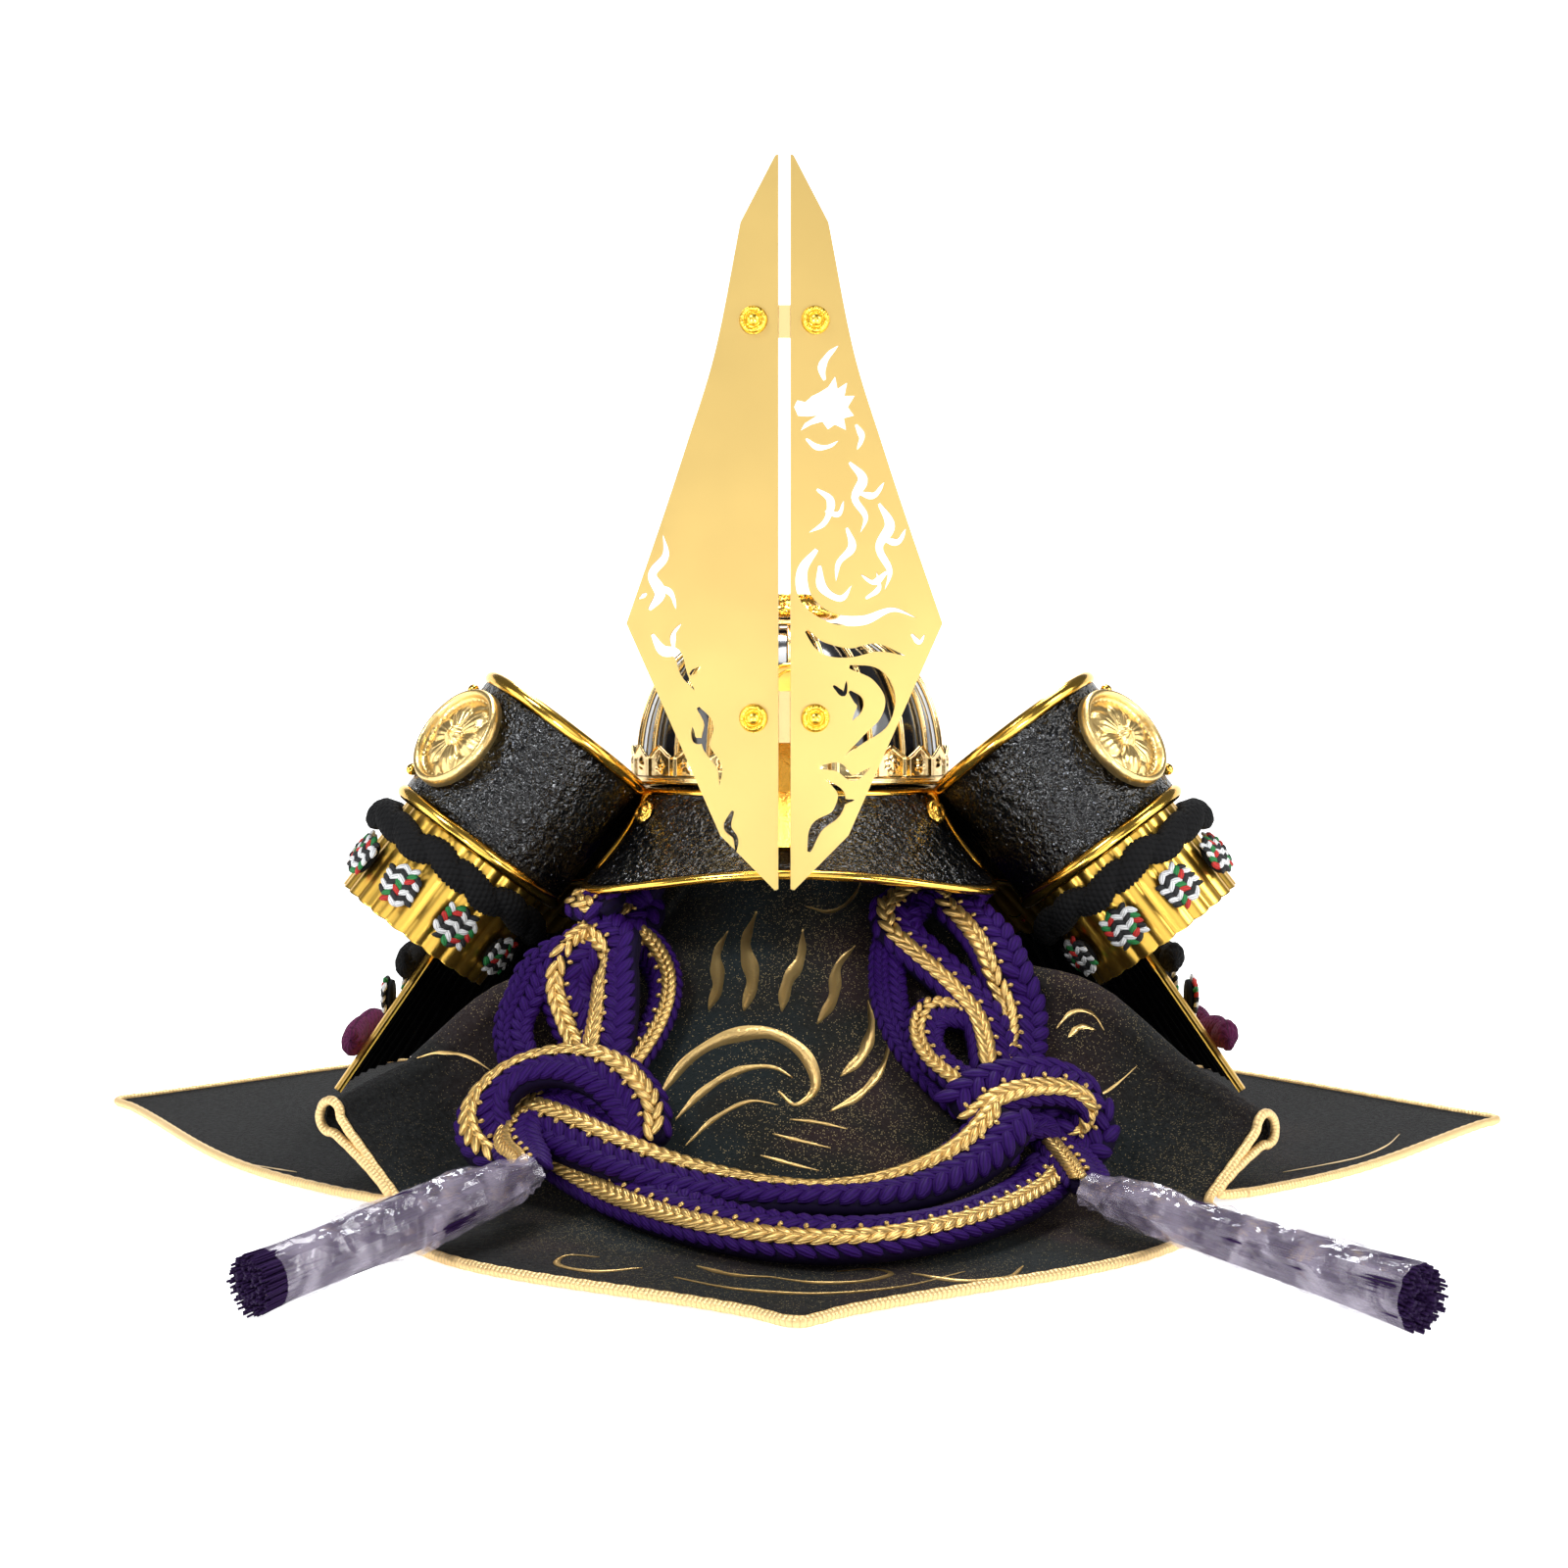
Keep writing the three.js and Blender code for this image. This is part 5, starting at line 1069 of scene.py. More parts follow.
def hem_point(corner, foot, share, bulge):
    chord = foot - corner
    outward = unit((chord[1], -chord[0]))
    if np.dot(outward, corner) < 0:
        outward = -outward
    return corner + chord * share + outward * bulge * math.sin(math.pi * share**1.5)


def search_tree(grid):
    faces = grid_faces(*grid.shape[:2], wrap_columns=True)
    return BVHTree.FromPolygons([tuple(p) for p in grid.reshape(-1, 3)], faces)


class Drape:
    """The draped cloth as a surface that cords and prints lie on, in millimetres."""

    def __init__(self):
        self.grid = cloth_grid()
        self.normals = grid_normals(self.grid, wrap=True)
        if self.normals[8, 0, 2] < 0:
            self.normals = -self.normals
        self.face = self.creased()
        self.tree = search_tree(self.grid)
        self.skin = search_tree(self.face)
        self.coarse = search_tree(cloth_grid(1, 6, 5, 2))

    def creased(self):
        """The outer face with soft hollows pressed into it where it hangs free."""
        face = self.grid.copy()
        for i, j in np.ndindex(face.shape[:2]):
            p = self.grid[i, j]
            if p[2] > CLOTH_WALL + 0.3:
                v = Vector(p) * 0.02
                depth = 1.5 * abs(noise.noise(v)) + 0.7 * abs(noise.noise(v * 3.1))
                face[i, j] = p - self.normals[i, j] * depth * min(1.0, (p[2] - CLOTH_WALL) / 12)
        return face

    def below(self, point, tree=None):
        """Nearest place on the cloth and the way out from it."""
        spot, normal, _, _ = (tree or self.tree).find_nearest(Vector(point))
        normal = np.array(normal)
        return np.array(spot), normal if normal[2] >= 0 else -normal


@functools.cache
def drape():
    return Drape()


# ---------------------------------------------------------------- chin cord
# Rows of stitches across a braid: place, slant in degrees, length, width, height, pitch, lift, gold.
WIDE_STITCHES = [
    (-9.3, -22, 8.6, 3.6, 3.2, 0.9, 0.0, False),
    (-6.5, 24, 8.6, 3.3, 2.7, 0.78, 1.1, True),
    (-3.5, -24, 8.6, 3.3, 2.7, 0.78, 1.1, True),
    (1.3, 42, 10.6, 5.6, 4.0, 1.0, 0.2, False),
    (6.7, -42, 10.6, 5.6, 4.0, 1.0, 0.2, False),
]
SLIM_STITCHES = [
    (-6.6, -22, 6.6, 2.6, 2.4, 0.8, 0.0, False),
    (-4.7, 24, 6.2, 2.6, 2.3, 0.58, 1.0, True),
    (-2.1, -24, 6.2, 2.6, 2.3, 0.58, 1.0, True),
    (1.3, 40, 8.2, 4.3, 3.3, 0.82, 0.1, False),
    (5.0, -40, 8.2, 4.3, 3.3, 0.82, 0.1, False),
]


class Strand:
    """A flat braid laid along a route: its line, its frames and its width at each place."""

    def __init__(self, rows, size=BRAID, flip=(1, 1), wide=None, plain=False):
        self.plain = plain
        width, thick = size
        length = length_of(smooth_line(rows, 80))
        line = smooth_line(rows, max(3, math.ceil(length / 13)))
        placed, ups = [], []
        for p in line:
            spot, normal = drape().below(p, drape().coarse)
            lift = thick / 2 + GAP - np.dot(p - spot, normal)
            p = p + normal * max(lift, 0)
            spot, fine_normal = drape().below(p)
            lift = thick / 2 + GAP - np.dot(p - spot, fine_normal)
            placed.append(p + fine_normal * min(max(lift, 0), 3))
            ups.append(normal)
        last = len(line) - 1
        ups = [sum(ups[min(max(i + k, 0), last)] for k in range(-2, 3)) for i in range(last + 1)]
        count = max(8, int(length / 2.0))
        self.points = smooth_line(placed, count)
        ups = smooth_line(np.array(ups) * 10, count)
        self.tangent = tangents(self.points)
        self.up = square_to(self.tangent, ups)
        share = np.linspace(0, 1, len(self.points))
        self.hand = np.interp(share, [0, 0.46, 0.54, 1], [flip[0], flip[0], flip[1], flip[1]])
        self.side = np.cross(self.up, self.tangent)
        self.run = run_of(self.points)
        share = self.run / self.run[-1]
        widths = wide or [(0, width), (1, width)]
        self.half = np.interp(share, [s for s, _ in widths], [w for _, w in widths]) / 2
        self.thick = np.interp(self.half * 2, [SLIM_BRAID[0], BRAID[0]], [SLIM_BRAID[1], BRAID[1]]) / 2

    def at(self, s):
        p, t, up, side = (np.array([np.interp(s, self.run, v[:, k]) for k in range(3)])
                          for v in (self.points, self.tangent, self.up, self.side))
        return p, unit(t), unit(up), unit(side)

    def half_at(self, s):
        return float(np.interp(s, self.run, self.half))

    def fullness(self, s):
        """Share of the way from the slim braid to the wide one."""
        slim = SLIM_BRAID[0] / 2
        return min(max((self.half_at(s) - slim) / (BRAID[0] / 2 - slim), 0), 1)

    def base(self, shape):
        """Soft core that shows between the stitches, in a much darker violet painted as the shade between them.
        """
        angle = circle(20)
        c, s = (np.sign(v) * np.abs(v) ** (2 / BRAID_POWER) for v in (np.cos(angle), np.sin(angle)))
        taper = np.minimum(1, 0.35 + np.minimum(self.run, self.run[-1] - self.run) / 4)
        a = ((self.half - CORE_INSET[0]) * taper)[:, None, None]
        b = ((self.thick - CORE_INSET[1]) * taper)[:, None, None]
        rings = (self.points[:, None] + a * c[None, :, None] * self.side[:, None]
                 + b * s[None, :, None] * self.up[:, None])
        ring_skin(shape, rings, ring_uv(self.run, angle), (self.points[0], self.points[-1]), ((0, 0), (0, 0)))

    def stitches(self, violet, gold):
        """Rows for copies(): the slanted stitches, the gold plait and its picots."""
        pitch = sizes().stitch_pitch / MM
        for index, (wide, slim) in enumerate(zip(WIDE_STITCHES, SLIM_STITCHES)):
            golden = wide[-1] and not self.plain
            s = 1.5 + (index % 2) * 0.5 * pitch * wide[5]
            while s < self.run[-1] - 1.5:
                mix = self.fullness(s)
                w, slant, *size, step, lift = (lerp(a, b, mix) for a, b in zip(slim[:-1], wide[:-1]))
                self.stitch(gold if golden else violet, s, w, slant, size, lift if golden else min(lift, 0.3))
                s += pitch * step
        if self.plain:
            return
        s = 3.0
        while s < self.run[-1] - 3:
            self.stitch(gold, s, -lerp(0.1, 0.8, self.fullness(s)), 80, (2.3, 1.7, 1.7), 1.7)
            s += 1.35 * pitch

    def stitch(self, rows, s, w, slant, size, lift):
        p, t, up, side = self.at(s)
        hand = float(np.interp(s, self.run, self.hand))
        w *= hand
        thick = float(np.interp(s, self.run, self.thick)) - CORE_INSET[1]
        share = min(abs(w) / (self.half_at(s) - CORE_INSET[0]), 0.97)
        height = thick * (1 - share**BRAID_POWER) ** (1 / BRAID_POWER)
        slope = math.copysign(min(1.1, share**3 * 1.1), w)
        out = unit(up * math.cos(slope) + side * math.sin(slope))
        lean = math.sin(rad(slant)) * -math.copysign(1, hand)
        along = t * math.cos(rad(slant)) + unit(np.cross(t, out)) * lean
        spot = p + side * w + up * height + out * (lift - size[2] * 0.1)
        rows.append((tuple(spot), tuple(turn_of(along, out)), tuple(size)))


def braided(name, strands):
    """One mesh of several strands: cores and stitches."""
    shape, violet, gold = Shape(), [], []
    for strand in strands:
        strand.base(shape)
        strand.stitches(violet, gold)
    core = shape.build(f"{name}_core", "violet painted shade", outward=False)
    parts = [core,
             copies(f"{name}_violet", violet, form("Stitch Form"), finish("violet")),
             copies(f"{name}_gold", gold, form("Stitch Form"), finish("gold thread"))]
    return joined(name, parts)


def joined(name, parts):
    """Several objects made one."""
    with bpy.context.temp_override(
        active_object=parts[0], object=parts[0],
        selected_objects=parts, selected_editable_objects=parts,
    ):
        bpy.ops.object.join()
    parts[0].name = parts[0].data.name = name
    return parts[0]


def in_metres(rows):
    return [tuple(round(c * MM, 5) for c in row) for row in rows]


def make_chin_cord():
    route = (TASSEL_CORD_LEFT[::-1] + KNOT_LEFT["strand_a"][::-1] + CORD_BEHIND
             + KNOT_RIGHT["strand"] + TASSEL_CORD_RIGHT)
    runs = [length_of(smooth_line(part, 40)) for part in (route[:5], route)]
    ends = [r / runs[-1] for r in runs]
    wide = [(0, 14), (0.03, 18), (ends[0] + 0.03, 22), (0.955, 22), (0.98, 19), (1, 14)]
    main = Strand(route, wide=wide, flip=(-1, 1))
    cord = braided("chin_cord", [main])
    finished(cord, "violet_cord", "cord_behind", "tassel_cord_left", "tassel_cord_right")
    for side, knot, flips in (
        ("left", KNOT_LEFT, {"strand_b": 1, "ear_right": -1, "ear_left": 0, "wrap": -1, "wrap_under": 0}),
        ("right", KNOT_RIGHT, {"top": 1, "slant": 1, "outer": 0, "bight": 1, "wrap": 1, "wrap_under": 0}),
    ):
        strands = []
        for label, flip in flips.items():
            slim = label.startswith("ear") or label in ("bight", "outer")
            strands.append(Strand(knot[label], SLIM_BRAID if slim else BRAID, (flip or 1,) * 2, plain=not flip))
        piece = braided(f"knot_{side}_braid", strands)
        finished(piece, "violet_cord", f"knot_{side}")
    for label, rows, flip in (("upper", SWAG_UPPER, -1), ("lower", SWAG_LOWER, 1)):
        strand = Strand(rows, flip=(flip, flip))
        swag = braided(f"swag_{label}_braid", [strand])
        finished(swag, "violet_cord", f"swag_{label}")
        declare(strand)
    declare(main)


def declare(strand):
    every = np.linspace(0, len(strand.points) - 1, 200).astype(int)
    path = in_metres(strand.points[every])
    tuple(path[0])


# ---------------------------------------------------------------- tassels in their film
def sleeve_frame(side):
    start, end, radii = (np.array(v, float) for v in SLEEVES[side])
    along = unit(end - start)
    across = unit((-along[1], along[0], 0))
    return start, end, radii, along, across, np.cross(across, along)


def sleeve_radius(radii, share):
    return np.interp(share, [0, 0.5, 1], radii)


def make_tassel(side, seed):
    start, end, radii, along, across, up = sleeve_frame(side)
    length = np.linalg.norm(end - start)
    rng = np.random.default_rng(seed)
    fibres = Shape()
    count = sizes().fibres
    for k in range(count):
        a = GOLDEN_ANGLE * k
        spread = 0.18 + 0.82 * math.sqrt((k + 0.5) / count)
        reach = (1.045 if side == "left" else 0.985) + 0.03 * rng.random()
        wave, swing = rng.random() * 6.28, 0.5 * rng.random()
        line = []
        for t in np.linspace(0.015, reach, 12):
            r = spread * (sleeve_radius(radii, t) - 2.1 + 1.3 * t**6) * min(1.0, 0.45 + 3.5 * t)
            turn = a + 0.10 * math.sin(4 * t + wave) + 0.25 * t
            p = start + along * length * t
            p = p + across * r * math.cos(turn) + up * r * math.sin(turn)
            line.append(p + across * swing * math.sin(9 * t + wave) * 0.4)
        tube(fibres, line, 0.42 if spread > 0.6 else 0.6, sides=4)
    shares = np.linspace(0.01, 0.96, 12)
    core = [start + along * length * t for t in shares]
    thick = [0.86 * (sleeve_radius(radii, t) - 2.0) * min(1, 0.4 + 3.5 * t) for t in shares]
    tube(fibres, core, thick, sides=20)
    tassel = fibres.build(f"tassel_{side}_fibres", "fibre", outward=False)
    finished(tassel, "violet_cord", f"tassel_{side}")

    rows, columns = 30, 26
    face, back = [], []
    for i in range(rows):
        t = i / (rows - 1)
        ring, inner = [], []
        for j in range(columns):
            a = 2 * math.pi * j / columns
            r = sleeve_radius(radii, t)
            where = Vector((math.cos(a) * 1.1, math.sin(a) * 1.1, t * 4.5 + seed))
            crush = 1.5 * abs(noise.noise(where * 1.2)) + 0.9 * abs(noise.noise(where * 2.6))
            pinch = 0.28 * math.exp(-((t - 0.03) / 0.06) ** 2)
            r_out = min(r * (1 - pinch) - 2.4 * crush * (1 - 0.6 * t ** 4) + 0.5, r)
            tear = Vector((3 * math.cos(a), 3 * math.sin(a), seed))
            ragged = 0.0 if i < rows - 1 else 0.9 * noise.noise(tear)
            p = start + along * (length * t + ragged)
            for store, radius in ((ring, r_out), (inner, r_out - 0.25)):
                store.append(p + across * radius * math.cos(a) + up * radius * math.sin(a))
        face.append(ring)
        back.append(inner)
    shape = wall(Shape(), face, back, wrap=True)
    film = shape.build(f"film_{side}_sleeve", "film", smooth=False)
    finished(film, "film", f"film_{side}")


# ---------------------------------------------------------------- cloth
def make_cloth():
    d = drape()
    grid, normals, face = d.grid, d.normals, d.face
    columns = grid.shape[1]
    back = face - normals * CLOTH_WALL * 0.8
    back[..., 2] = np.maximum(back[..., 2], 0)
    pole = np.tile([[[0.0, 0.0, CLOTH_TOP]]], (1, columns, 1))
    ring = face[:1] * [0.5, 0.5, 1] + [0, 0, 1.6]
    face = np.concatenate([pole, ring, face])
    back = np.concatenate([pole - [0, 0, 2], ring - [0, 0, 2], back])
    shape = wall(Shape(), face, back, wrap=True)
    cloth = shape.build("wrapping_cloth", "cloth")
    area = cloth.data.attributes.new("print_area", "FLOAT", "POINT")
    centre = np.array([0.02, -0.15])
    values = []
    for v in cloth.data.vertices:
        away = np.linalg.norm((np.array(v.co[:2]) - centre) / [0.13, 0.15])
        cloudy = 0.6 * noise.noise(Vector(v.co) * 14)
        values.append(min(1.0, max(0.0, 1.5 - away + cloudy)) if v.co[1] < -0.02 else 0.0)
    area.data.foreach_set("value", values)
    finished(cloth, "black_cloth", "cloth")

    hem = grid[-1]
    middle = hem - normals[-1] * CLOTH_WALL / 2
    out = np.roll(hem, 1, axis=0) - np.roll(hem, -1, axis=0)
    line = []
    for k, m in enumerate(middle):
        radial = unit((m[0], m[1], 0))
        sideways = unit((-out[k][1], out[k][0], 0)) if np.linalg.norm(out[k][:2]) > 0.02 else radial
        if np.dot(sideways, radial) < 0:
            sideways = -sideways
        away = sideways if np.dot(sideways, radial) > 0.6 else radial
        q = m + away * (PIPING_RADIUS + GAP)
        line.append((q[0], q[1], max(q[2], 1.8)))
    shape = Shape()
    twisted(shape, smooth_line(line, int(length_of(line + line[:1])), closed=True), PIPING_RADIUS)
    piping = shape.build("gold_piping_cord", "piping", outward=False)
    finished(piping, "gold_piping", "cloth_piping")
    return cloth, piping


def twisted(shape, p, radius, strands=3, lay=7.0, depth=0.14, sides=12):
    """Closed rope of twisted strands: grooves that wind round it."""
    _, n, b = carried_frames(p, closed=True)
    run = run_of(p)
    total = run[-1] + np.linalg.norm(p[0] - p[-1])
    turns = round(total / lay)
    angle = circle(sides)
    phase = strands * (angle[None] - 2 * math.pi * turns * (run / total)[:, None] / strands)
    bulge = np.abs(np.cos(phase / 2)) ** 0.7
    r = radius * (1 - depth * (1 - bulge))
    rings = (p[:, None] + (r * np.cos(angle))[..., None] * n[:, None]
             + (r * np.sin(angle))[..., None] * b[:, None])
    ring_skin(shape, rings, ring_uv(run, angle))


PRINT_LIFT, PRINT_WALL = 0.22, 0.45
# Gold print, as routes and widths: leaves, a breaking wave and ripples seen from the front (x and z) ...
FRONT_PRINT = [
    ([(-46, 34), (-36, 45), (-22, 52), (-6, 53), (6, 46), (9, 37), (2, 32), (-4, 36)], 6.5),
    ([(-40, 27), (-30, 36), (-18, 42), (-6, 43), (1, 40)], 3.6),
    ([(-36, 20), (-26, 28), (-14, 33), (-4, 32)], 2.0),
    ([(-30, 60), (-27, 68), (-28, 78), (-24, 86)], 5.0),
    ([(-17, 60), (-14, 70), (-17, 82), (-13, 93)], 5.6),
    ([(-3, 60), (-1, 69), (4, 77), (5, 87)], 5.0),
    ([(10, 56), (16, 64), (18, 74), (25, 81)], 4.4),
    ([(18, 40), (26, 46), (30, 55), (29, 63)], 4.2),
    ([(14, 30), (24, 34), (33, 42), (37, 52)], 3.0),
    ([(6, 95), (16, 93), (25, 98), (30, 107)], 1.6),
    ([(-6, 24), (4, 22), (14, 20)], 1.4), ([(-10, 18), (0, 16), (10, 14)], 1.4),
    ([(0, 28), (10, 27), (20, 25)], 1.4),
    ([(-62, 96), (-58, 104), (-52, 109)], 2.2),
    ([(100, 52), (106, 58), (113, 58), (117, 52)], 1.6), ([(104, 49), (109, 53), (114, 52)], 2.4),
    ([(-136, 44), (-128, 46), (-118, 44), (-108, 38)], 1.2),
    ([(96, 24), (106, 26), (118, 32), (128, 40)], 1.2),
]
# ... and long scrolls on the flaps, seen from above (x and y).
FLAP_PRINT = [
    ([(-34, -262), (-16, -274), (8, -279), (32, -272), (52, -256)], 1.8),
    ([(-6, -262), (8, -268), (22, -266), (30, -258), (24, -253), (14, -256)], 2.2),
    ([(36, -258), (50, -266), (64, -262), (70, -250)], 3.0),
    ([(-44, -252), (-58, -256), (-70, -248), (-68, -238), (-58, -240)], 2.2),
    ([(-28, -250), (-16, -260), (-4, -262)], 2.6),
    ([(-180, -124), (-196, -114), (-214, -100), (-232, -82), (-246, -60)], 1.2),
    ([(180, -124), (198, -112), (216, -98), (232, -78), (244, -56)], 1.2),
]


def print_line(skin, rows, width, level):
    """Places, ways out and half-widths of one print line, as far as it meets the cloth."""
    route = [(a, b, 0) for a, b in rows]
    spots = []
    for a, b, _ in smooth_line(route, max(10, int(length_of(route) / 1.3))):
        start, way = ((a, b, 400), (0, 0, -1)) if level else ((a, -400, b), (0, 1, 0))
        hit, normal, _, _ = skin.ray_cast(Vector(start), Vector(way))
        if hit is not None and (not spots or np.linalg.norm(np.array(hit) - spots[-1][0]) < 9):
            normal = np.array(normal)
            spots.append((np.array(hit), -normal if np.dot(normal, way) > 0 else normal))
    if len(spots) < 6:
        raise ValueError(f"a print line misses the cloth: {rows}")
    centre, out = (np.array(v) for v in zip(*spots))
    share = np.linspace(0, 1, len(centre))
    half = width / 2 * (0.12 + 0.88 * np.sin(math.pi * share**0.75)) * (1 + 0.16 * np.sin(19 * share + width))
    return centre, out, half


def make_print():
    """Flat gold shapes laid on the cloth: ribbons that narrow to both ends."""
    shape = Shape()
    skin = drape().skin
    every = [(*line, False) for line in FRONT_PRINT] + [(*line, True) for line in FLAP_PRINT]
    for rows, width, level in every:
        centre, out, half = print_line(skin, rows, width, level)
        face = []
        for c, n, side, h in zip(centre, out, np.cross(tangents(centre), out), half):
            row = []
            for step in (-1.0, 0.0, 1.0):
                spot, _, _, _ = skin.find_nearest(Vector(c + side * h * step))
                row.append(np.array(spot) + n * (PRINT_LIFT - 0.05 * abs(step)))
            face.append(row)
        face = np.array(face)
        wall(shape, face, face - out[:, None] * PRINT_WALL)
    return finished(shape.build("gold_print_lines", "print"), "gold_piping")


# ---------------------------------------------------------------- bowl
def make_bowl():
    shares = np.concatenate([np.linspace(0, 0.9, 22), [0.94, 0.97, 0.99]])
    columns = BOWL["ribs"] * 8
    angle = circle(columns)

    def ring(radius, z):
        return np.stack([radius * np.cos(angle), radius * np.sin(angle), np.full(columns, z)], axis=1)

    face, back = [], []
    for share in shares:
        r, z = dome_point(share)
        face.append(ring(r - 0.5 + 0.5 * np.abs(np.sin(angle * BOWL["ribs"] / 2)) * min(1, r / 25), z))
        back.append(ring(*dome_point(share, -BOWL["wall"])))
    top = BOWL["base"] + BOWL["height"]
    face.append(ring(0, top))
    back.append(ring(0, top - BOWL["wall"]))
    shape = wall(Shape(), face, back, wrap=True)
    finished(shape.build("lacquered_bowl", "lacquer"), "black_lacquer", "bowl")

    # One raised double rib, set out on every seam of the bowl.
    width = sizes().rib_width / MM
    shape = Shape()
    section = [(-0.5, 0), (-0.5, 0.35), (-0.36, 0.8), (-0.2, 0.9), (-0.07, 0.7), (0.0, 0.45),
               (0.07, 0.7), (0.2, 0.9), (0.36, 0.8), (0.5, 0.35), (0.5, 0)]
    rows = []
    for share in np.linspace(0.02, 0.86, 26):
        r, z = dome_point(share, RIB_FOOT)
        ro, zo = dome_point(share, RIB_FOOT + RIB_HEIGHT)
        narrow = min(1.0, 0.35 + r / 45)
        rows.append([(lerp(r, ro, h), w * width * narrow, lerp(z, zo, h)) for w, h in section])
    count = len(section)
    faces = grid_faces(len(rows), count, wrap_columns=True)
    faces += [tuple(range(count))[::-1], tuple(range((len(rows) - 1) * count, len(rows) * count))]
    shape.add(rows, faces)
    rib = hidden(shape.build("Rib Form"))
    turns = [Matrix.Rotation(rad(15 * k), 3, "Z").to_quaternion() for k in range(BOWL["ribs"])]
    ribs = copies("bowl_rib_set", [((0, 0, 0), tuple(q), (1, 1, 1)) for q in turns], rib, finish("band gilt"))
    top_r, top_z = dome_point(0.84, 0.4 + RIB_HEIGHT)
    ring = lathe([(top_r - 9, top_z - 0.6), (top_r + 1.2, top_z - 0.8), (top_r + 2.0, top_z - 0.2),
                  (top_r + 1.2, top_z + 0.7), (top_r - 2, top_z + 0.4), (top_r - 9, top_z + 0.4)],
                 72, closed=True)
    collar = ring.build("rib_ring", "band gilt")
    finished(joined("bowl_rib_set", [ribs, collar]), "gilt", "bowl_ribs")


def flower_height(x, y, petals, reach):
    """Height of a small raised flower about the origin, from 0 to 1."""
    r = math.hypot(x, y) / reach
    if r >= 1.15:
        return 0.0
    lobe = abs(math.cos(petals * math.atan2(y, x) / 2))
    edge = 0.62 + 0.38 * lobe
    heart = max(0.0, 1 - (r / 0.26) ** 2) * 0.9
    petal = max(0.0, 1 - (r / edge) ** 4) * (0.45 + 0.45 * lobe ** 0.5)
    return max(heart, petal)


def make_crown_band():
    plates, per = BOWL["ribs"], 26
    columns, rows = plates * per, 20
    plate = 2 * math.pi * CROWN["radius"] / plates
    face, back = [], []
    for i in range(rows + 1):
        v = i / rows
        ring, inner = [], []
        for j in range(columns):
            f = (j % per) / per
            a = 2 * math.pi * j / columns
            point = 1 - abs(2 * f - 1)
            ogee = point ** 1.4 * 0.75 + 0.25 * math.sin(math.pi * point / 2)
            top = lerp(CROWN["valley"] - 0.6, CROWN["peak"] + 0.4, ogee)
            z = lerp(CROWN["bottom"], top, v)
            flower = flower_height((f - 0.5) * plate, z - CROWN["flower"], 5, 3.6)
            border = max(0.0, 1 - (top - z) / 1.1)
            post = max(0.0, 1 - (0.5 - abs(f - 0.5)) * plate / 1.5)
            flute = 0.5 * math.sin(post * 6.28) ** 2
            h = max(flower * 1.25, 0.9 * border ** 0.5, (0.6 + flute) * (post > 0))
            r = CROWN["radius"] + 0.4 + h
            ring.append((r * math.cos(a), r * math.sin(a), z))
            inner.append((CROWN["radius"] * math.cos(a), CROWN["radius"] * math.sin(a), z))
        face.append(ring)
        back.append(inner)
    shape = wall(Shape(), face, back, wrap=True)
    finished(shape.build("pointed_plates", "band gilt"), "gilt", "crown_band")
    b = BASE_RING
    profile = [(b["inner"], b["bottom"]), (b["outer"] - 0.6, b["bottom"]), (b["outer"], b["bottom"] + 0.6),
               (b["outer"] + 0.1, b["bottom"] + 1.1), (b["outer"] - 0.5, b["bottom"] + 1.4),
               (b["outer"], b["bottom"] + 1.8), (b["outer"], b["top"] - 0.5), (b["outer"] - 0.6, b["top"]),
               (b["inner"], b["top"])]
    shape = lathe(profile, 160, closed=True)
    finished(shape.build("turned_base_ring", "band gilt"), "gilt", "base_ring")


def make_front_plate():
    f = FRONT_PLATE
    clear = RIB_HEIGHT + 3 * GAP + f["wall"] / 2

    def place_on(u, v, lift=0.0):
        share = lerp(f["start"], f["end"] - f["arch"] * u * u, v)
        radius, z = dome_point(share, clear + lift)
        x = f["half_width"] * u
        return (x, -math.sqrt(radius * radius - x * x), z)

    us, vs = np.linspace(-1, 1, 25), np.linspace(0, 1, 31)
    grid = [[place_on(u, v) for u in us] for v in vs]
    shape = sheet(Shape(), grid, f["wall"])
    plate = shape.build("front_plate_field", "pale gilt")
    border = ([(u, 0.0) for u in us] + [(1, v) for v in vs[1:]] + [(u, 1.0) for u in us[::-1][1:]]
              + [(-1, v) for v in vs[::-1][1:-1]])
    shape = Shape()
    tube(shape, [place_on(u, v, 0.2) for u, v in border], 1.0, sides=8, closed=True)
    arch = [place_on(0.72 * math.sin(t), 0.5 + 0.4 * math.cos(t), 0.5) for t in np.linspace(-2.4, 2.4, 40)]
    tube(shape, arch, 0.6, sides=8)
    edging = shape.build("front_plate_frame", "gilt", outward=False)
    finished(joined("front_plate_arched", [plate, edging]), "pale_gilt", "front_plate")


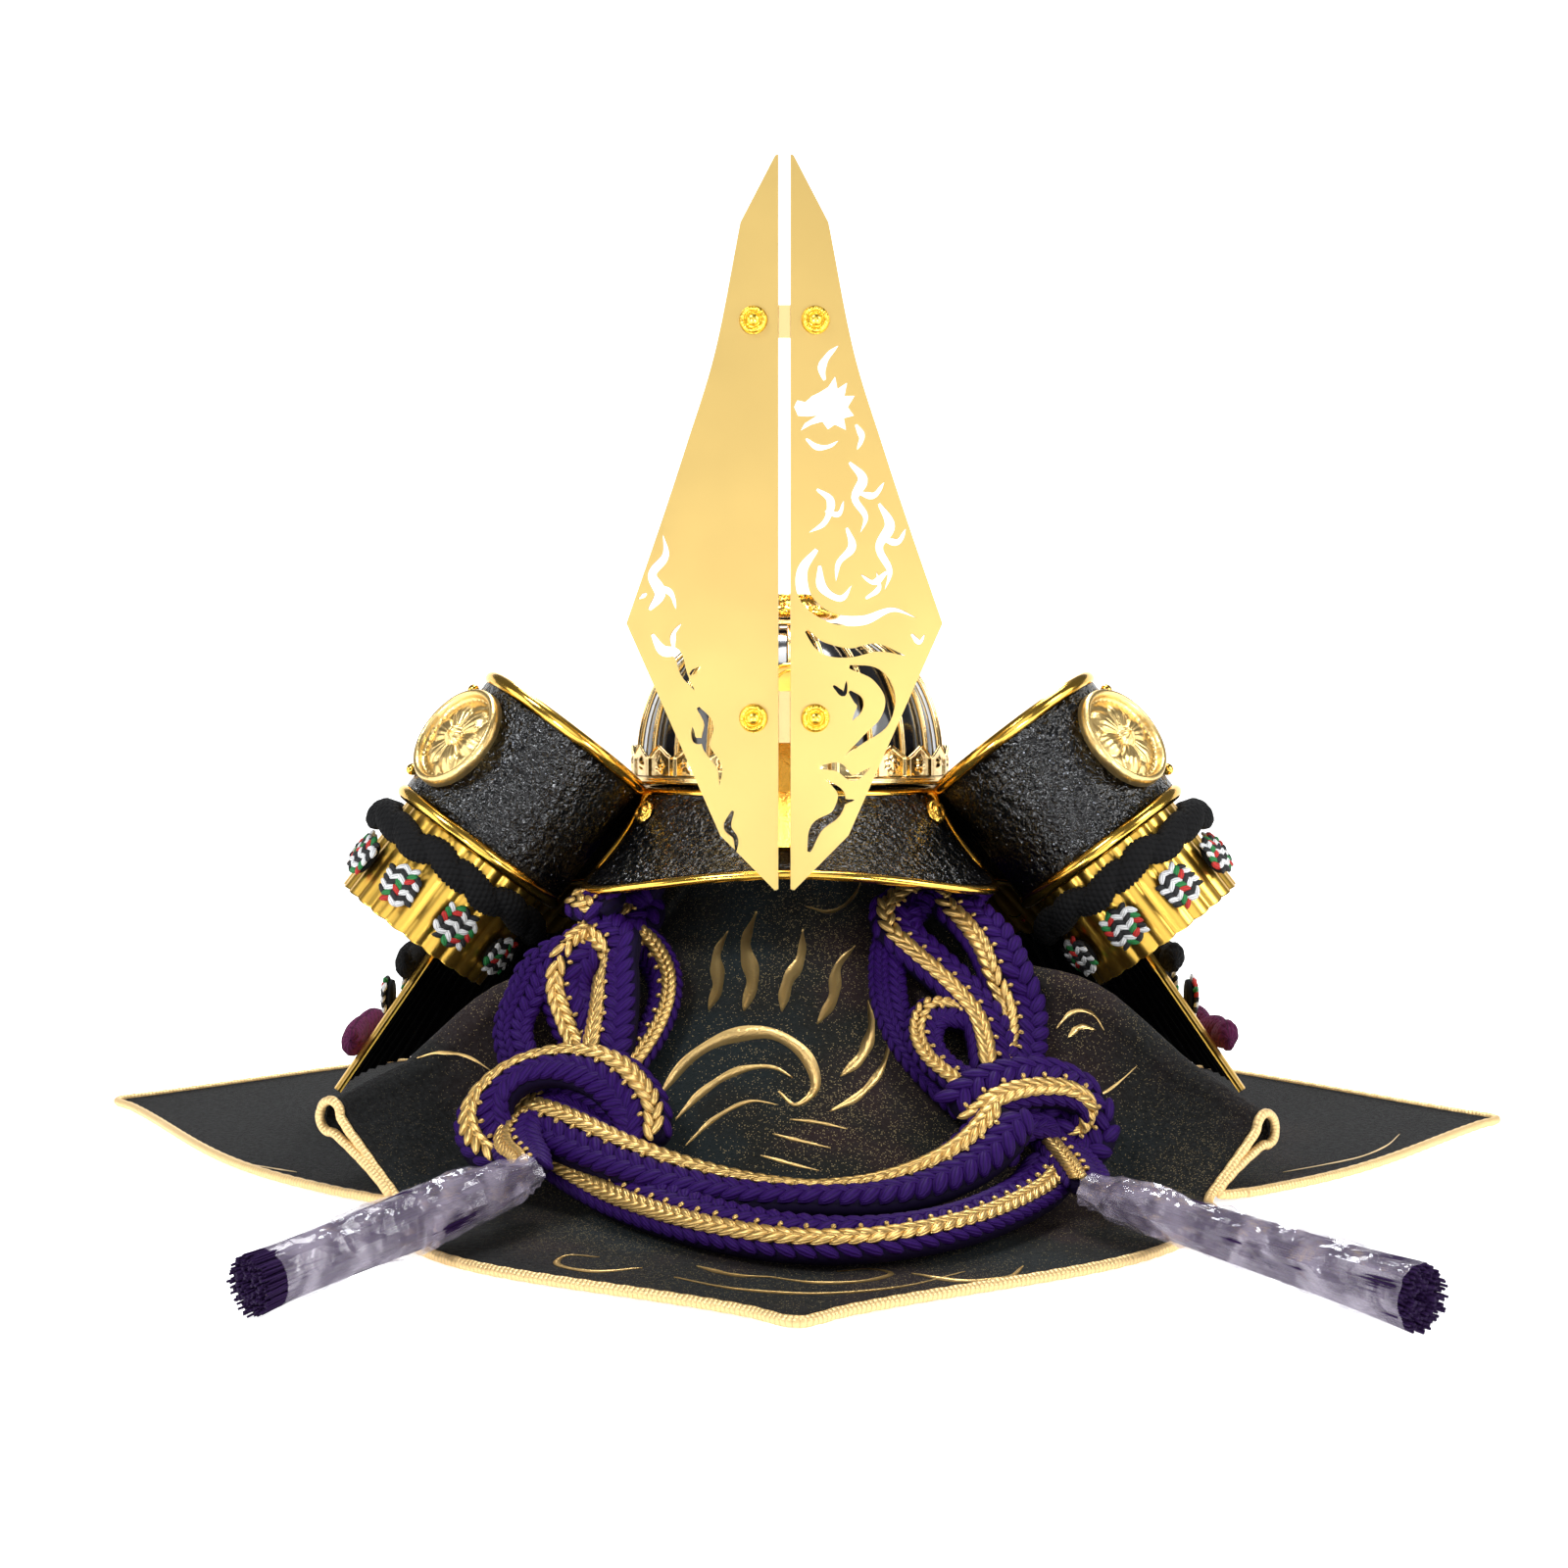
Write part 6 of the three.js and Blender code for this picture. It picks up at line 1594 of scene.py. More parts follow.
def make_finial():
    bottom = BOWL["base"] + BOWL["height"] + GAP + 3.4
    profile = [(7, bottom + 1), (12, bottom + 0.3), (18, bottom), (20.2, bottom + 1.2), (20.6, bottom + 3),
               (18, bottom + 4.4), (14.6, bottom + 5.4), (12.6, bottom + 7.4), (11.6, bottom + 9.6),
               (10.2, bottom + 10.4), (8.4, bottom + 9.8), (7, bottom + 8.6)]
    line = smooth_line([(r, z, 0) for r, z in profile], 60, closed=True)
    columns = 160
    rows = []
    for r, z, _ in line:
        ring = []
        for k in range(columns):
            a = 2 * math.pi * k / columns
            out = min(max((r - 11) / 8, 0), 1)
            lobe = 1 + 0.055 * out * (2 * abs(math.cos(4 * a)) - 1)
            vein = 0.35 * out * abs(math.sin(16 * a)) ** 3
            ring.append(((r * lobe) * math.cos(a), (r * lobe) * math.sin(a), z + vein * (z > bottom + 1)))
        rows.append(ring)
    petals = gridded(rows, wrap_rows=True).build("finial_petals", "cast gilt")
    beads = []
    for r, z, n, size in ((19.2, bottom + 4.2, 40, 1.7), (12.4, bottom + 9.4, 28, 1.5)):
        for k in range(n):
            a = 2 * math.pi * k / n
            beads.append(((r * math.cos(a), r * math.sin(a), z), (1, 0, 0, 0), (size,) * 3))
    ring = copies("finial_beads", beads, form("Bead Form"), finish("gilt"))
    finished(joined("finial_flower", [petals, ring]), "gilt", "finial")


# ---------------------------------------------------------------- visor
def make_visor():
    us = np.sin(np.linspace(-1.45, 1.45, 81)) / math.sin(1.45)
    grid = [[visor_point(u, v * visor_reach(u)) for u in us] for v in np.linspace(0, 1, 22)]
    shape = sheet(Shape(), grid, VISOR_WALL)
    finished(shape.build("leather_visor", "leather"), "leather", "visor")

    clear = VISOR_RIM + GAP

    def outward(edge, inside, by=clear):
        return edge + unit(edge - inside) * by

    inner = us[2:-2:3]
    top = [outward(visor_point(u, 0), visor_point(u, 0.1)) for u in inner]
    bottom = [outward(visor_point(u, reach), visor_point(u * 0.985, reach - 0.1))
              for u, reach in ((u, visor_reach(u)) for u in inner)]

    def side(sign):
        line = []
        for share in (0, 0.5, 1):
            v = share * visor_reach(1)
            within = visor_point(sign * 0.95, lerp(v, 0.5 * visor_reach(1), 0.12))
            line.append(outward(visor_point(sign, v), within, (1.15 if share == 0.5 else 1.9) * clear))
        return line

    loop = top + side(1) + bottom[::-1] + side(-1)[::-1]
    shape = tube(Shape(), smooth_line(loop, 420, closed=True), VISOR_RIM, sides=14, closed=True)
    finished(shape.build("gilt_visor_rim", "gilt", outward=False), "gilt", "visor_rim")

    for label, sign in (("left", -1), ("right", 1)):
        centre = visor_point(sign * 0.9, 0.17)
        across = visor_point(sign * 0.94, 0.17) - visor_point(sign * 0.86, 0.17)
        down = visor_point(sign * 0.9, 0.27) - visor_point(sign * 0.9, 0.07)
        normal = unit(np.cross(across, down))
        normal = -normal if normal[1] > 0 else normal
        rivet = button(5.4, 2.8)
        moved(rivet, centre + normal * (VISOR_WALL / 2 + 0.5), normal, scale=(0.85, 1.3, 1))
        finished(rivet.build(f"visor_button_{label}", "cast gilt"), "gilt", f"visor_rivet_{label}")


def button(radius, height, seeds=22):
    """Cast rivet head: a beaded rim round a raised middle."""
    angle = [2 * math.pi * k / 66 for k in range(66)]
    rows = []
    for r in np.linspace(0, radius, 18):
        share = r / radius
        middle = height * max(0, 1 - (share / 0.5) ** 2) ** 0.6
        rim = 0.55 * height * max(0, 1 - ((share - 0.76) / 0.2) ** 2)
        foot = 0.35 * height * (share < 0.99)
        rows.append([(r * math.cos(a), r * math.sin(a),
                      foot + max(middle * 0.65, rim * (0.55 + 0.45 * math.cos(seeds * a)))) for a in angle])
    rows.append([(radius * math.cos(a), radius * math.sin(a), 0) for a in angle])
    rows.append([(0, 0, 0)] * len(angle))
    return gridded(rows)


# ---------------------------------------------------------------- neck guard
def make_lames():
    lame = LAMES["lame_1"]
    grid, _ = lame_grid(lame, np.linspace(0, 1, 16), 2.2)
    shape = sheet(Shape(), grid, lame["wall"])
    finished(shape.build("leather_lame", "leather"), "leather", "lame_1")

    pitch = sizes().flute_pitch / MM
    for name in ("lame_2", "lame_3"):
        lame = LAMES[name]
        shares = np.concatenate([np.linspace(0, 0.9, 8), [0.94, 0.97, 0.99, 1.0]])
        grid, run = lame_grid(lame, shares, pitch / 10)
        normals = grid_normals(grid)
        middle = run[-1] / 2
        f = ((run - middle) / pitch) % 1.0
        ridge = np.abs(np.sin(math.pi * f)) ** 0.8
        lift = 0.85 * lame["wave"] * (2 * ridge - 1)
        down = units(grid[-1] - grid[0])
        reach = 0.7 * ridge - 0.35
        sign = 1 if np.dot(normals[2, 5], grid[2, 5] - [0, 0, 60]) > 0 else -1
        fluted = grid + sign * normals * lift[None, :, None]
        fluted += down[None] * (reach[None, :, None] * shares[:, None, None] ** 6)
        shape = Shape()
        n = normals * sign
        wall(shape, fluted + n * lame["wall"] / 2, fluted - n * lame["wall"] / 2, back_slot=1)
        inside = "lame gilt" if name == "lame_2" else "lacquer"
        finished(shape.build(f"fluted_{name}", "lame gilt", inside), "gilt", name)

    lame = LAMES["lame_1"]
    edges, _ = lame_grid(lame, (0, 1), 7.0)
    top, bottom = edges
    clear = LAME_RIM["offset"] + GAP
    down = np.array([unit(b - t) for t, b in zip(top, bottom)])
    upper, lower = top - down * clear, bottom + down * clear

    def free_edge(k, inside):
        out = unit(top[k] - top[inside]) * clear
        return [lerp(top[k], bottom[k], s) + out for s in (0.04, 0.5, 0.96)]

    loop = list(upper) + free_edge(-1, -2) + list(lower[::-1]) + free_edge(0, 1)[::-1]
    shape = tube(Shape(), smooth_line(loop, 900, closed=True), LAME_RIM["radius"], sides=14, closed=True)
    finished(shape.build("gilt_lame_rim", "gilt", outward=False), "gilt", "lame_1_rim")


def row_line(name, where):
    lame_name, share, _, _, thick = ROWS[name]
    lame = LAMES[lame_name]
    clear = thick + lame["wave"] + lame["wall"] / 2 + GAP + 0.15
    if where == "back":
        start = 8 if lame["roll"] else lame["start"] + 0.6
        return [guard_point(lame, a, share, clear) for a in np.linspace(start, 180 - start, 60)]
    radius, low, high = lame["roll"]
    line = [roll_point(radius + clear, lerp(low, high, share), t) for t in np.linspace(ROLL_TURN - 4, 2, 40)]
    return line if where == "right" else [p * SIDE_LEFT for p in line]


def row_frames(line, where, count):
    """Places along a row, the way along it and the way out from the lame."""
    points = np.array(smooth_line(line, count))
    outs = []
    for p in points:
        q = p * SIDE_LEFT if where == "left" else p
        if where == "back":
            out = unit((p[0], p[1], 0))
        else:
            out = unit(q - (ROLL_CENTRE + ROLL_AXIS * np.dot(q - ROLL_CENTRE, ROLL_AXIS)))
        outs.append(out * SIDE_LEFT if where == "left" else out)
    return points, tangents(points), np.array(outs)


def wool_rope(shape, line, thick, lumps, where):
    """Fat wool rope with bunched lumps and slanting ribs."""
    length = length_of(line)
    points, t, outs = row_frames(line, where, int(length / 0.5))
    outs = square_to(t, outs)
    across = np.cross(outs, t)
    if across[len(across) // 2][2] < 0:
        across = -across
    run = np.linspace(0, 1, len(points))
    angle = circle(30)
    beat = run[:, None] * lumps + 0.30 * np.cos(angle)[None]
    lump = np.abs(np.sin(math.pi * beat)) ** 0.6
    rib = np.abs(np.sin(math.pi * (run * length / 2.1)[:, None] + 2.2 * np.cos(angle)[None]))
    knit = np.abs(np.sin(10 * angle + 6 * run[:, None]))
    ends = np.sqrt(np.clip(np.minimum(run, 1 - run) * length / 4, 0.02, 1))[:, None]
    r = (0.62 + 0.38 * lump) * ends - 0.12 * (1 - rib) - 0.04 * (1 - knit)
    sway = 0.9 * np.sin(math.pi * run * lumps)[:, None] * across
    wide = thick * 1.42
    rings = ((points + sway)[:, None] + (wide * r * np.cos(angle))[..., None] * across[:, None]
             + (thick * r * np.sin(angle))[..., None] * outs[:, None])
    ring_skin(shape, rings, ring_uv(run * length, angle), (points[0], points[-1]), ((0, 0), (0, 0)))


WHITE, BLACK, RED, GREEN = (0.74, 0.74, 0.74), (0.004, 0.004, 0.005), (0.50, 0.015, 0.01), (0.008, 0.19, 0.04)
TIE_COLOURS = [WHITE, BLACK, WHITE, BLACK, RED, BLACK, WHITE, GREEN]


def make_lacing():
    for name, (lame_name, share, roll_lumps, lumps, thick) in ROWS.items():
        lame = LAMES[lame_name]
        places = [("back", lumps)] + ([("right", roll_lumps), ("left", roll_lumps)] if lame["roll"] else [])
        for where, count in places:
            node = name if not lame["roll"] else f"{name}_{where}"
            line = row_line(name, where)
            if name.startswith("ties"):
                make_ties(node, line, count, thick, where)
                continue
            shape = Shape()
            wool_rope(shape, line, thick, count, where)
            wool = "purple yarn" if name.startswith("purple") else "black yarn"
            finished(shape.build(f"{node}_rope", wool), wool.replace(" ", "_"), node)


def make_ties(node, line, patches, thick, where):
    """Oval woven pads, each of slanted stitches in several colours over a dark core."""
    length = length_of(line)
    points, t, outs = row_frames(line, where, 300)
    run = np.linspace(0, length, len(points))
    pads, rows = Shape(), []
    for k in range(patches):
        centre = (k + 0.5) / patches * length
        p, along, out = (np.array([np.interp(centre, run, v[:, c]) for c in range(3)])
                         for v in (points, t, outs))
        along = unit(along)
        out = unit(out - along * np.dot(out, along))
        up = np.cross(out, along)
        if up[2] < 0:
            up, along = -up, -along
        lean = rad(12 * math.sin(3.7 * k + 1))
        u = along * math.cos(lean) + up * math.sin(lean)
        v = up * math.cos(lean) - along * math.sin(lean)
        base = p - out * (thick - 0.9)
        core = lathe([(0.02, -0.4), (6.4, -0.4), (6.6, 0.6), (5.2, 2.2), (3.0, 3.2), (0.02, 3.6)], 20)
        core.verts = [tuple(base + u * a * 1.05 + v * b * 1.1 + out * (c + 0.2)) for a, b, c in core.verts]
        pads.add(core.verts, core.faces)
        for i, j in np.ndindex(5, 7):
            a, b = (i - 2) / 2.5, (j - 3) / 3.5
            if abs(a) + abs(b) > 1.6:
                continue
            dome = math.sqrt(max(0.0, 1 - 0.5 * (a * a + b * b)))
            spot = base + u * a * 7.4 + v * b * 7.8 + out * (5.0 * dome - 1.0)
            tilt = unit(out + u * a * 0.8 + v * b * 0.6)
            slant = 55 if i % 2 else -55
            direction = v * math.cos(rad(slant)) + u * math.sin(rad(slant))
            colour = TIE_COLOURS[(3 * j + 2 * i + k) % len(TIE_COLOURS)]
            rows.append((tuple(spot), tuple(turn_of(direction, tilt)), (5.7, 2.8, 2.1), colour))
    patch = copies(f"{node}_patches", rows, form("Stitch Form"), finish("ties"))
    core = pads.build(f"{node}_cores", "black yarn", outward=False)
    finished(joined(f"{node}_pads", [patch, core]), "mixed_braid", node)


STUD = [(0.02, -2.2), (1.4, -2.1), (1.9, -1.5), (2.5, -0.4), (2.5, 0.5), (2.1, 1.5), (1.2, 2.2), (0.02, 2.5)]


def make_medallions():
    seat = LAMES["lame_1"]["roll"][0] + LAMES["lame_1"]["wall"] / 2 + GAP
    rings, columns = 64, 144

    def height(x, y):
        """Rim, ring of beads, boss, six petals and the leaves between them."""
        r = math.hypot(x, y)
        a = math.atan2(y, x)
        rim = 3.9 * max(0.0, 1 - ((r - 20.2) / 1.9) ** 2) ** 0.5 if abs(r - 20.2) < 1.9 else 0.0
        beads = 0.5 * (0.5 + 0.5 * math.cos(40 * a)) * (1 if abs(r - 17.4) < 0.9 else 0)
        boss = 5.4 * max(0.0, 1 - (r / 5.2) ** 2) ** 0.5 + 0.5 * (0.5 + 0.5 * math.cos(9 * a)) * (r < 5.4)
        lobe = abs(math.cos(3 * a)) ** 0.5
        edge = 10.5 + 6.2 * lobe
        petal = (3.4 - 0.10 * abs(r - 11)) * max(0.0, 1 - (r / edge) ** 6) * (0.55 + 0.45 * lobe)
        petal += 0.35 * abs(math.sin(12 * a)) * (r < edge)
        back_leaf = 1.6 * max(0.0, 1 - ((r - 13) / 4.6) ** 2) * abs(math.sin(3 * a)) ** 2
        return 0.8 + max(rim, beads, boss, petal, back_leaf)

    for label, sign in (("right", 1), ("left", -1)):
        centre = roll_point(seat, MEDALLION["along"], MEDALLION["turn"])
        axis = roll_point(0, MEDALLION["along"], 0)
        flip = np.array([sign, 1, 1])
        normal = unit((centre - axis) * flip)
        rows = []
        for r in np.linspace(0, MEDALLION["radius"], rings):
            flat = [(r * math.cos(a), r * math.sin(a)) for a in circle(columns)]
            rows.append([(x, y, height(x, y) * (r < MEDALLION["radius"] - 0.1)) for x, y in flat])
        rows.append([(0, 0, 0)] * columns)
        shape = moved(gridded(rows), centre * flip, normal)
        finished(shape.build(f"flower_disc_{label}", "medallion gilt"), "gilt", f"medallion_{label}")
        for where, along in (("upper", 8), ("lower", 49)):
            spot = roll_point(seat + 2.0, along, 172) * flip
            out = unit(spot - roll_point(0, along, 0) * flip)
            shape = moved(lathe(STUD, 28), spot, out)
            finished(shape.build(f"round_{where}_{label}", "gilt"), "gilt", f"stud_{where}_{label}")


# ---------------------------------------------------------------- crest
CREST_OUTLINE = [
    (2.3, 105.4), (3.6, 105), (23.6, 125), (58.5, 203), (44.6, 243), (36, 269), (26, 301), (16.2, 350),
    (3.4, 374.2), (2.3, 374.6),
]
SERPENT_HEAD = [
    (-11, 2), (-9.8, 4.6), (-6.8, 4), (-4.4, 6.2), (-1.6, 7.6), (1.6, 9.6), (4.2, 13.6), (5, 9), (8.6, 11.4),
    (7.6, 6.4), (11.4, 6.6), (8.8, 2.4), (11.2, -0.8), (7.4, -1.8), (8.2, -6.2), (4, -4.2), (1.4, -6),
    (-0.6, -3.2), (-4.8, -4.4), (-8.6, -6.6), (-7, -3.8), (-2.6, -1), (-6.2, -1.4), (-9.6, -1.2),
]
SERPENT_PLACE = (14.6, 280)
# Openings of the plates: each one's middle line and its greatest width, in its own plate's x and z.
RIGHT_CUTS = [
    ([(14.8, 292), (13.8, 296.5), (16, 301), (20, 305)], 2.8),
    ([(8, 270.5), (12, 267.5), (16.5, 267.8), (20, 270)], 2.2),
    ([(26.4, 276), (28.6, 271.5), (26.8, 266.6)], 2.4),
    ([(24, 262), (29, 256), (26, 249), (30, 242), (28, 236)], 3.4), ([(27, 251), (33, 250), (37, 255)], 2.4),
    ([(12, 252), (17, 248), (15, 240), (9, 236)], 2.8), ([(15, 244), (20, 243), (22, 248)], 2.0),
    ([(35, 247), (39, 239), (35, 231), (39, 222), (37, 215)], 3.6), ([(36, 234), (42, 233), (45, 238)], 2.4),
    ([(38, 222), (33, 218), (28, 221)], 2.2), ([(23, 238), (25, 231), (20, 225), (19, 218)], 2.8),
    ([(12, 230), (6.6, 222), (8, 212), (17, 205), (29, 204), (40, 208), (49, 205)], 4.4),
    ([(13, 224), (14, 216), (21, 212), (25, 217)], 3.2), ([(30, 212), (35, 216), (34, 222)], 1.8),
    ([(8, 200), (14, 194), (24, 192), (34, 194), (45, 191)], 4.0), ([(47, 199), (50, 196), (52, 199)], 1.8),
    ([(24, 187), (34, 184), (39, 176), (37, 167), (29, 160), (22, 154)], 4.4),
    ([(24, 178), (28, 173), (25, 167)], 3.0), ([(18, 180), (22, 177), (23, 182)], 2.0),
    ([(13, 150), (20, 150), (25, 146), (32, 150)], 3.0),
    ([(9, 119), (12, 128), (19, 133), (21, 140), (15, 146)], 4.0), ([(20, 137), (26, 138)], 1.8),
]
LEFT_CUTS = [
    ([(50, 208), (46, 214), (49, 221), (44, 228), (45, 236)], 4.0), ([(47, 217), (42, 214), (40, 208)], 2.2),
    ([(51, 214), (54, 212)], 1.6), ([(49, 199), (45, 193), (40, 192), (37, 184), (33, 178)], 3.6),
    ([(41, 193), (41, 199), (38, 203)], 2.0), ([(35, 184), (31, 187)], 1.8),
    ([(32, 172), (28, 166), (29, 158), (24, 150), (24, 143)], 3.4), ([(28, 160), (33, 160), (34, 165)], 2.2),
    ([(19, 134), (21, 128), (18, 124), (18, 118)], 2.6),
]


def opening(route, width):
    """Outline of a curling tongue of flame: pointed at its tip, rounder at its foot."""
    count = max(16, int(length_of([(x, 0, z) for x, z in route]) / 1.1))
    line = smooth_line([(x, 0, z) for x, z in route], count)
    t = tangents(line)
    share = np.linspace(0.03, 1, len(line))
    half = width / 2 * np.sin(math.pi * share**0.7) ** 0.8 * (1 + 0.12 * np.sin(14 * share + width))
    left = [(p[0] - d[2] * h, p[2] + d[0] * h) for p, d, h in zip(line, t, half)]
    right = [(p[0] + d[2] * h, p[2] - d[0] * h) for p, d, h in zip(line[:-1], t, half)]
    return left + right[::-1]


def pierced_plate(outline, openings, depth):
    """Flat plate in x and z with the openings cut out of it, from y = 0 to y = depth."""
    points, faces = [], []
    for line in [outline, *openings]:
        turn = sum(a[0] * b[1] - b[0] * a[1] for a, b in zip(line, line[1:] + line[:1]))
        line = line if turn > 0 else line[::-1]
        faces.append(list(range(len(points), len(points) + len(line))))
        points += [Vector(p) for p in line]
    flat, _, pieces, _, _, parents = delaunay_2d_cdt(points, [], faces, 1, 1e-4, True)
    kept = [f for f, owners in zip(pieces, parents) if set(owners) == {0}]
    sides = {edge: None for f in kept for edge in zip(f, f[1:] + f[:1])}
    count = len(flat)
    verts = [(p.x * MM, 0.0, p.y * MM) for p in flat] + [(p.x * MM, depth * MM, p.y * MM) for p in flat]
    walls = [tuple(f) for f in kept] + [tuple(v + count for v in reversed(f)) for f in kept]
    walls += [(b, a, a + count, b + count) for a, b in sides if (b, a) not in sides]
    bm = bmesh.new()
    made = [bm.verts.new(v) for v in verts]
    for face in walls:
        bm.faces.new([made[v] for v in face])
    bmesh.ops.delete(bm, geom=[v for v in bm.verts if not v.link_faces], context="VERTS")
    bmesh.ops.recalc_face_normals(bm, faces=bm.faces)
    mesh = bpy.data.meshes.new("pierced_plate")
    bm.to_mesh(mesh)
    bm.free()
    return mesh


def rounded(outline, keep):
    """Outline with its long sides turned into smooth curves between kept corners."""
    pts = [np.array((x, 0, z), float) for x, z in outline]
    runs, start = [], 0
    for stop in keep:
        if stop - start >= 2:
            count = max(4, int(length_of(pts[start : stop + 1]) / 3))
            runs += [tuple(p) for p in smooth_line(pts[start : stop + 1], count)[:-1]]
        else:
            runs += [tuple(p) for p in pts[start:stop]]
        start = stop
    runs.append(tuple(pts[start]))
    return [(x, z) for x, _, z in runs]


def make_crest():
    head = [(x + SERPENT_PLACE[0], z + SERPENT_PLACE[1]) for x, z in SERPENT_HEAD]
    works = {"right": [head] + [opening(*cut) for cut in RIGHT_CUTS],
             "left": [opening(*cut) for cut in LEFT_CUTS]}
    for side, sign in (("right", 1), ("left", -1)):
        outline = rounded(CREST_OUTLINE, (1, 2, 3, 7, 8, 9))
        mesh = pierced_plate(outline, works[side], CREST_WALL)
        yaw = Matrix.Rotation(rad(sign * CREST_YAW), 4, "Z")
        if sign < 0:
            mesh.transform(Matrix.Scale(-1, 4, (1, 0, 0)))
            mesh.flip_normals()
        mesh.transform(Matrix.Translation(Vector(CREST_PLACE * MM)) @ yaw)
        finished(place(f"crest_half_{side}", mesh, finish("pale gilt")), "pale_gilt", f"crest_{side}")
    for level, z in CREST_RIVETS.items():
        for side, sign in (("left", -1), ("right", 1)):
            yaw = np.array(Matrix.Rotation(rad(sign * CREST_YAW), 3, "Z"))
            shape = moved(button(5.25, 3.2, 26), (0, 0, 0), (0, -1, 0))
            verts = (np.array(shape.verts) + [sign * CREST_RIVET_OUT, -GAP, z]) @ yaw.T + CREST_PLACE
            shape.verts = verts.tolist()
            piece = shape.build(f"crest_button_{level}_{side}", "rivet gilt")
            finished(piece, "gilt", f"crest_rivet_{level}_{side}")
    repaint("crest_bridge_upper", finish("band gilt"))
    repaint("crest_bridge_lower", finish("band gilt"))
    repaint("crest_holder", finish("cast gilt"))


# ---------------------------------------------------------------- stage
def make_stage():
    scene = bpy.context.scene
    camera = bpy.data.cameras.new("Camera")
    camera.lens, camera.sensor_width = 44.4, 36.0
    camera.shift_x, camera.shift_y = -0.00375, -0.028
    camera.clip_start, camera.clip_end = 0.05, 20
    eye = bpy.data.objects.new("Camera", camera)
    eye.location = (0.0, -sizes().camera_distance, 0.16)
    eye.rotation_euler = (math.pi / 2, 0, 0)
    scene.collection.objects.link(eye)
    scene.camera = eye

    floor = Finish("Plain Floor", base_color=tuple(colours().floor), roughness=0.8,
                   emission_color=(1.0, 1.0, 1.0), emission_strength=0.78)
    depth = [(-0.54, -0.0008), (1.2, -0.0008), (1.6, 0.02), (1.9, 0.14), (2.1, 0.4), (2.2, 0.8), (2.2, 1.5)]
    rows = [[(x, y, z) for x in (-4.0, 0.0, 4.0)] for y, z in depth]
    shape = gridded(rows, wrap_columns=False)
    sweep = shape.build("studio_floor", outward=False, scale=1.0)
    sweep.data.materials.append(floor.material)

    def lamp(name, spot, target, size, power, tint=(1, 1, 1)):
        data = bpy.data.lights.new(name, "AREA")
        data.shape, data.size, data.energy, data.color = "DISK", size, power, tint
        obj = bpy.data.objects.new(name, data)
        obj.location = spot
        obj.rotation_euler = (Vector(target) - Vector(spot)).to_track_quat("-Z", "Y").to_euler()
        scene.collection.objects.link(obj)

    lamp("Key", (-0.9, -1.2, 1.5), (0, 0, 0.12), 0.6, 20, (0.93, 0.96, 1.0))
    lamp("Fill", (1.3, -0.9, 0.9), (0, 0, 0.12), 0.7, 10)
    lamp("Front", (0.1, -2.2, 0.55), (0, 0, 0.2), 1.6, 8)
    for side in (-1, 1):
        lamp(f"Side {side}", (side * 1.7, -0.5, 0.45), (0, 0, 0.15), 1.2, 9)
        lamp(f"Strip {side}", (side * 0.56, -1.1, -0.17), (-side * 0.1, -0.07, 0.14), 0.2, 9, (0.93, 0.96, 1.0))
    lamp("Back", (0.0, 0.72, 1.02), (0, -0.1, 0.11), 0.24, 6, (0.93, 0.96, 1.0))
    lamp("Top", (0.1, 0.2, 1.8), (0, 0, 0.1), 0.8, 16)
    world = bpy.data.worlds.new("Studio")
    scene.world = world
    world.use_nodes = True
    back = world.node_tree.nodes["Background"]
    back.inputs["Color"].default_value = (1.0, 1.0, 1.0, 1.0)
    back.inputs["Strength"].default_value = 0.12
    scene.view_settings.view_transform = "Standard"


# ---------------------------------------------------------------- operators
class HelmetStep:
    """What every step shares."""

    bl_options = {"REGISTER", "UNDO"}


class HELMET_OT_stage(HelmetStep, bpy.types.Operator):
    """Set out the floor, the soft lights and the camera"""

    bl_idname = "helmet.set_stage"
    bl_label = "Set Stage"

    def execute(self, context):
        make_stage()
        return {"FINISHED"}


class HELMET_OT_cord(HelmetStep, bpy.types.Operator):
    """Braid the violet cord, its knots and its two swags"""

    bl_idname = "helmet.make_chin_cord"
    bl_label = "Make Chin Cord"

    def execute(self, context):
        make_chin_cord()
        return {"FINISHED"}


class HELMET_OT_tassels(HelmetStep, bpy.types.Operator):
    """Make the fibres of both tassels in their clear film"""

    bl_idname = "helmet.make_tassels"
    bl_label = "Make Tassels"

    def execute(self, context):
        make_tassel("left", seed=3)
        make_tassel("right", seed=8)
        return {"FINISHED"}


class HELMET_OT_cloth(HelmetStep, bpy.types.Operator):
    """Drape the wrapping cloth with its piping and its print, and paint the post"""

    bl_idname = "helmet.make_cloth"
    bl_label = "Make Cloth"

    def execute(self, context):
        cloth, piping = make_cloth()
        lines = make_print()
        repaint("stand", finish("wood"))
        return {"FINISHED"}


class HELMET_OT_bowl(HelmetStep, bpy.types.Operator):
    """Make the black bowl with its gilt ribs"""

    bl_idname = "helmet.make_bowl"
    bl_label = "Make Bowl"

    def execute(self, context):
        make_bowl()
        return {"FINISHED"}


class HELMET_OT_band(HelmetStep, bpy.types.Operator):
    """Make the pointed plates and the ring under them"""

    bl_idname = "helmet.make_pointed_band"
    bl_label = "Make Pointed Band"

    def execute(self, context):
        make_crown_band()
        return {"FINISHED"}


class HELMET_OT_front(HelmetStep, bpy.types.Operator):
    """Make the arched plate on the front of the bowl"""

    bl_idname = "helmet.make_front_plate"
    bl_label = "Make Front Plate"

    def execute(self, context):
        make_front_plate()
        return {"FINISHED"}


class HELMET_OT_finial(HelmetStep, bpy.types.Operator):
    """Make the ring of petals at the top"""

    bl_idname = "helmet.make_finial"
    bl_label = "Make Finial"

    def execute(self, context):
        make_finial()
        return {"FINISHED"}


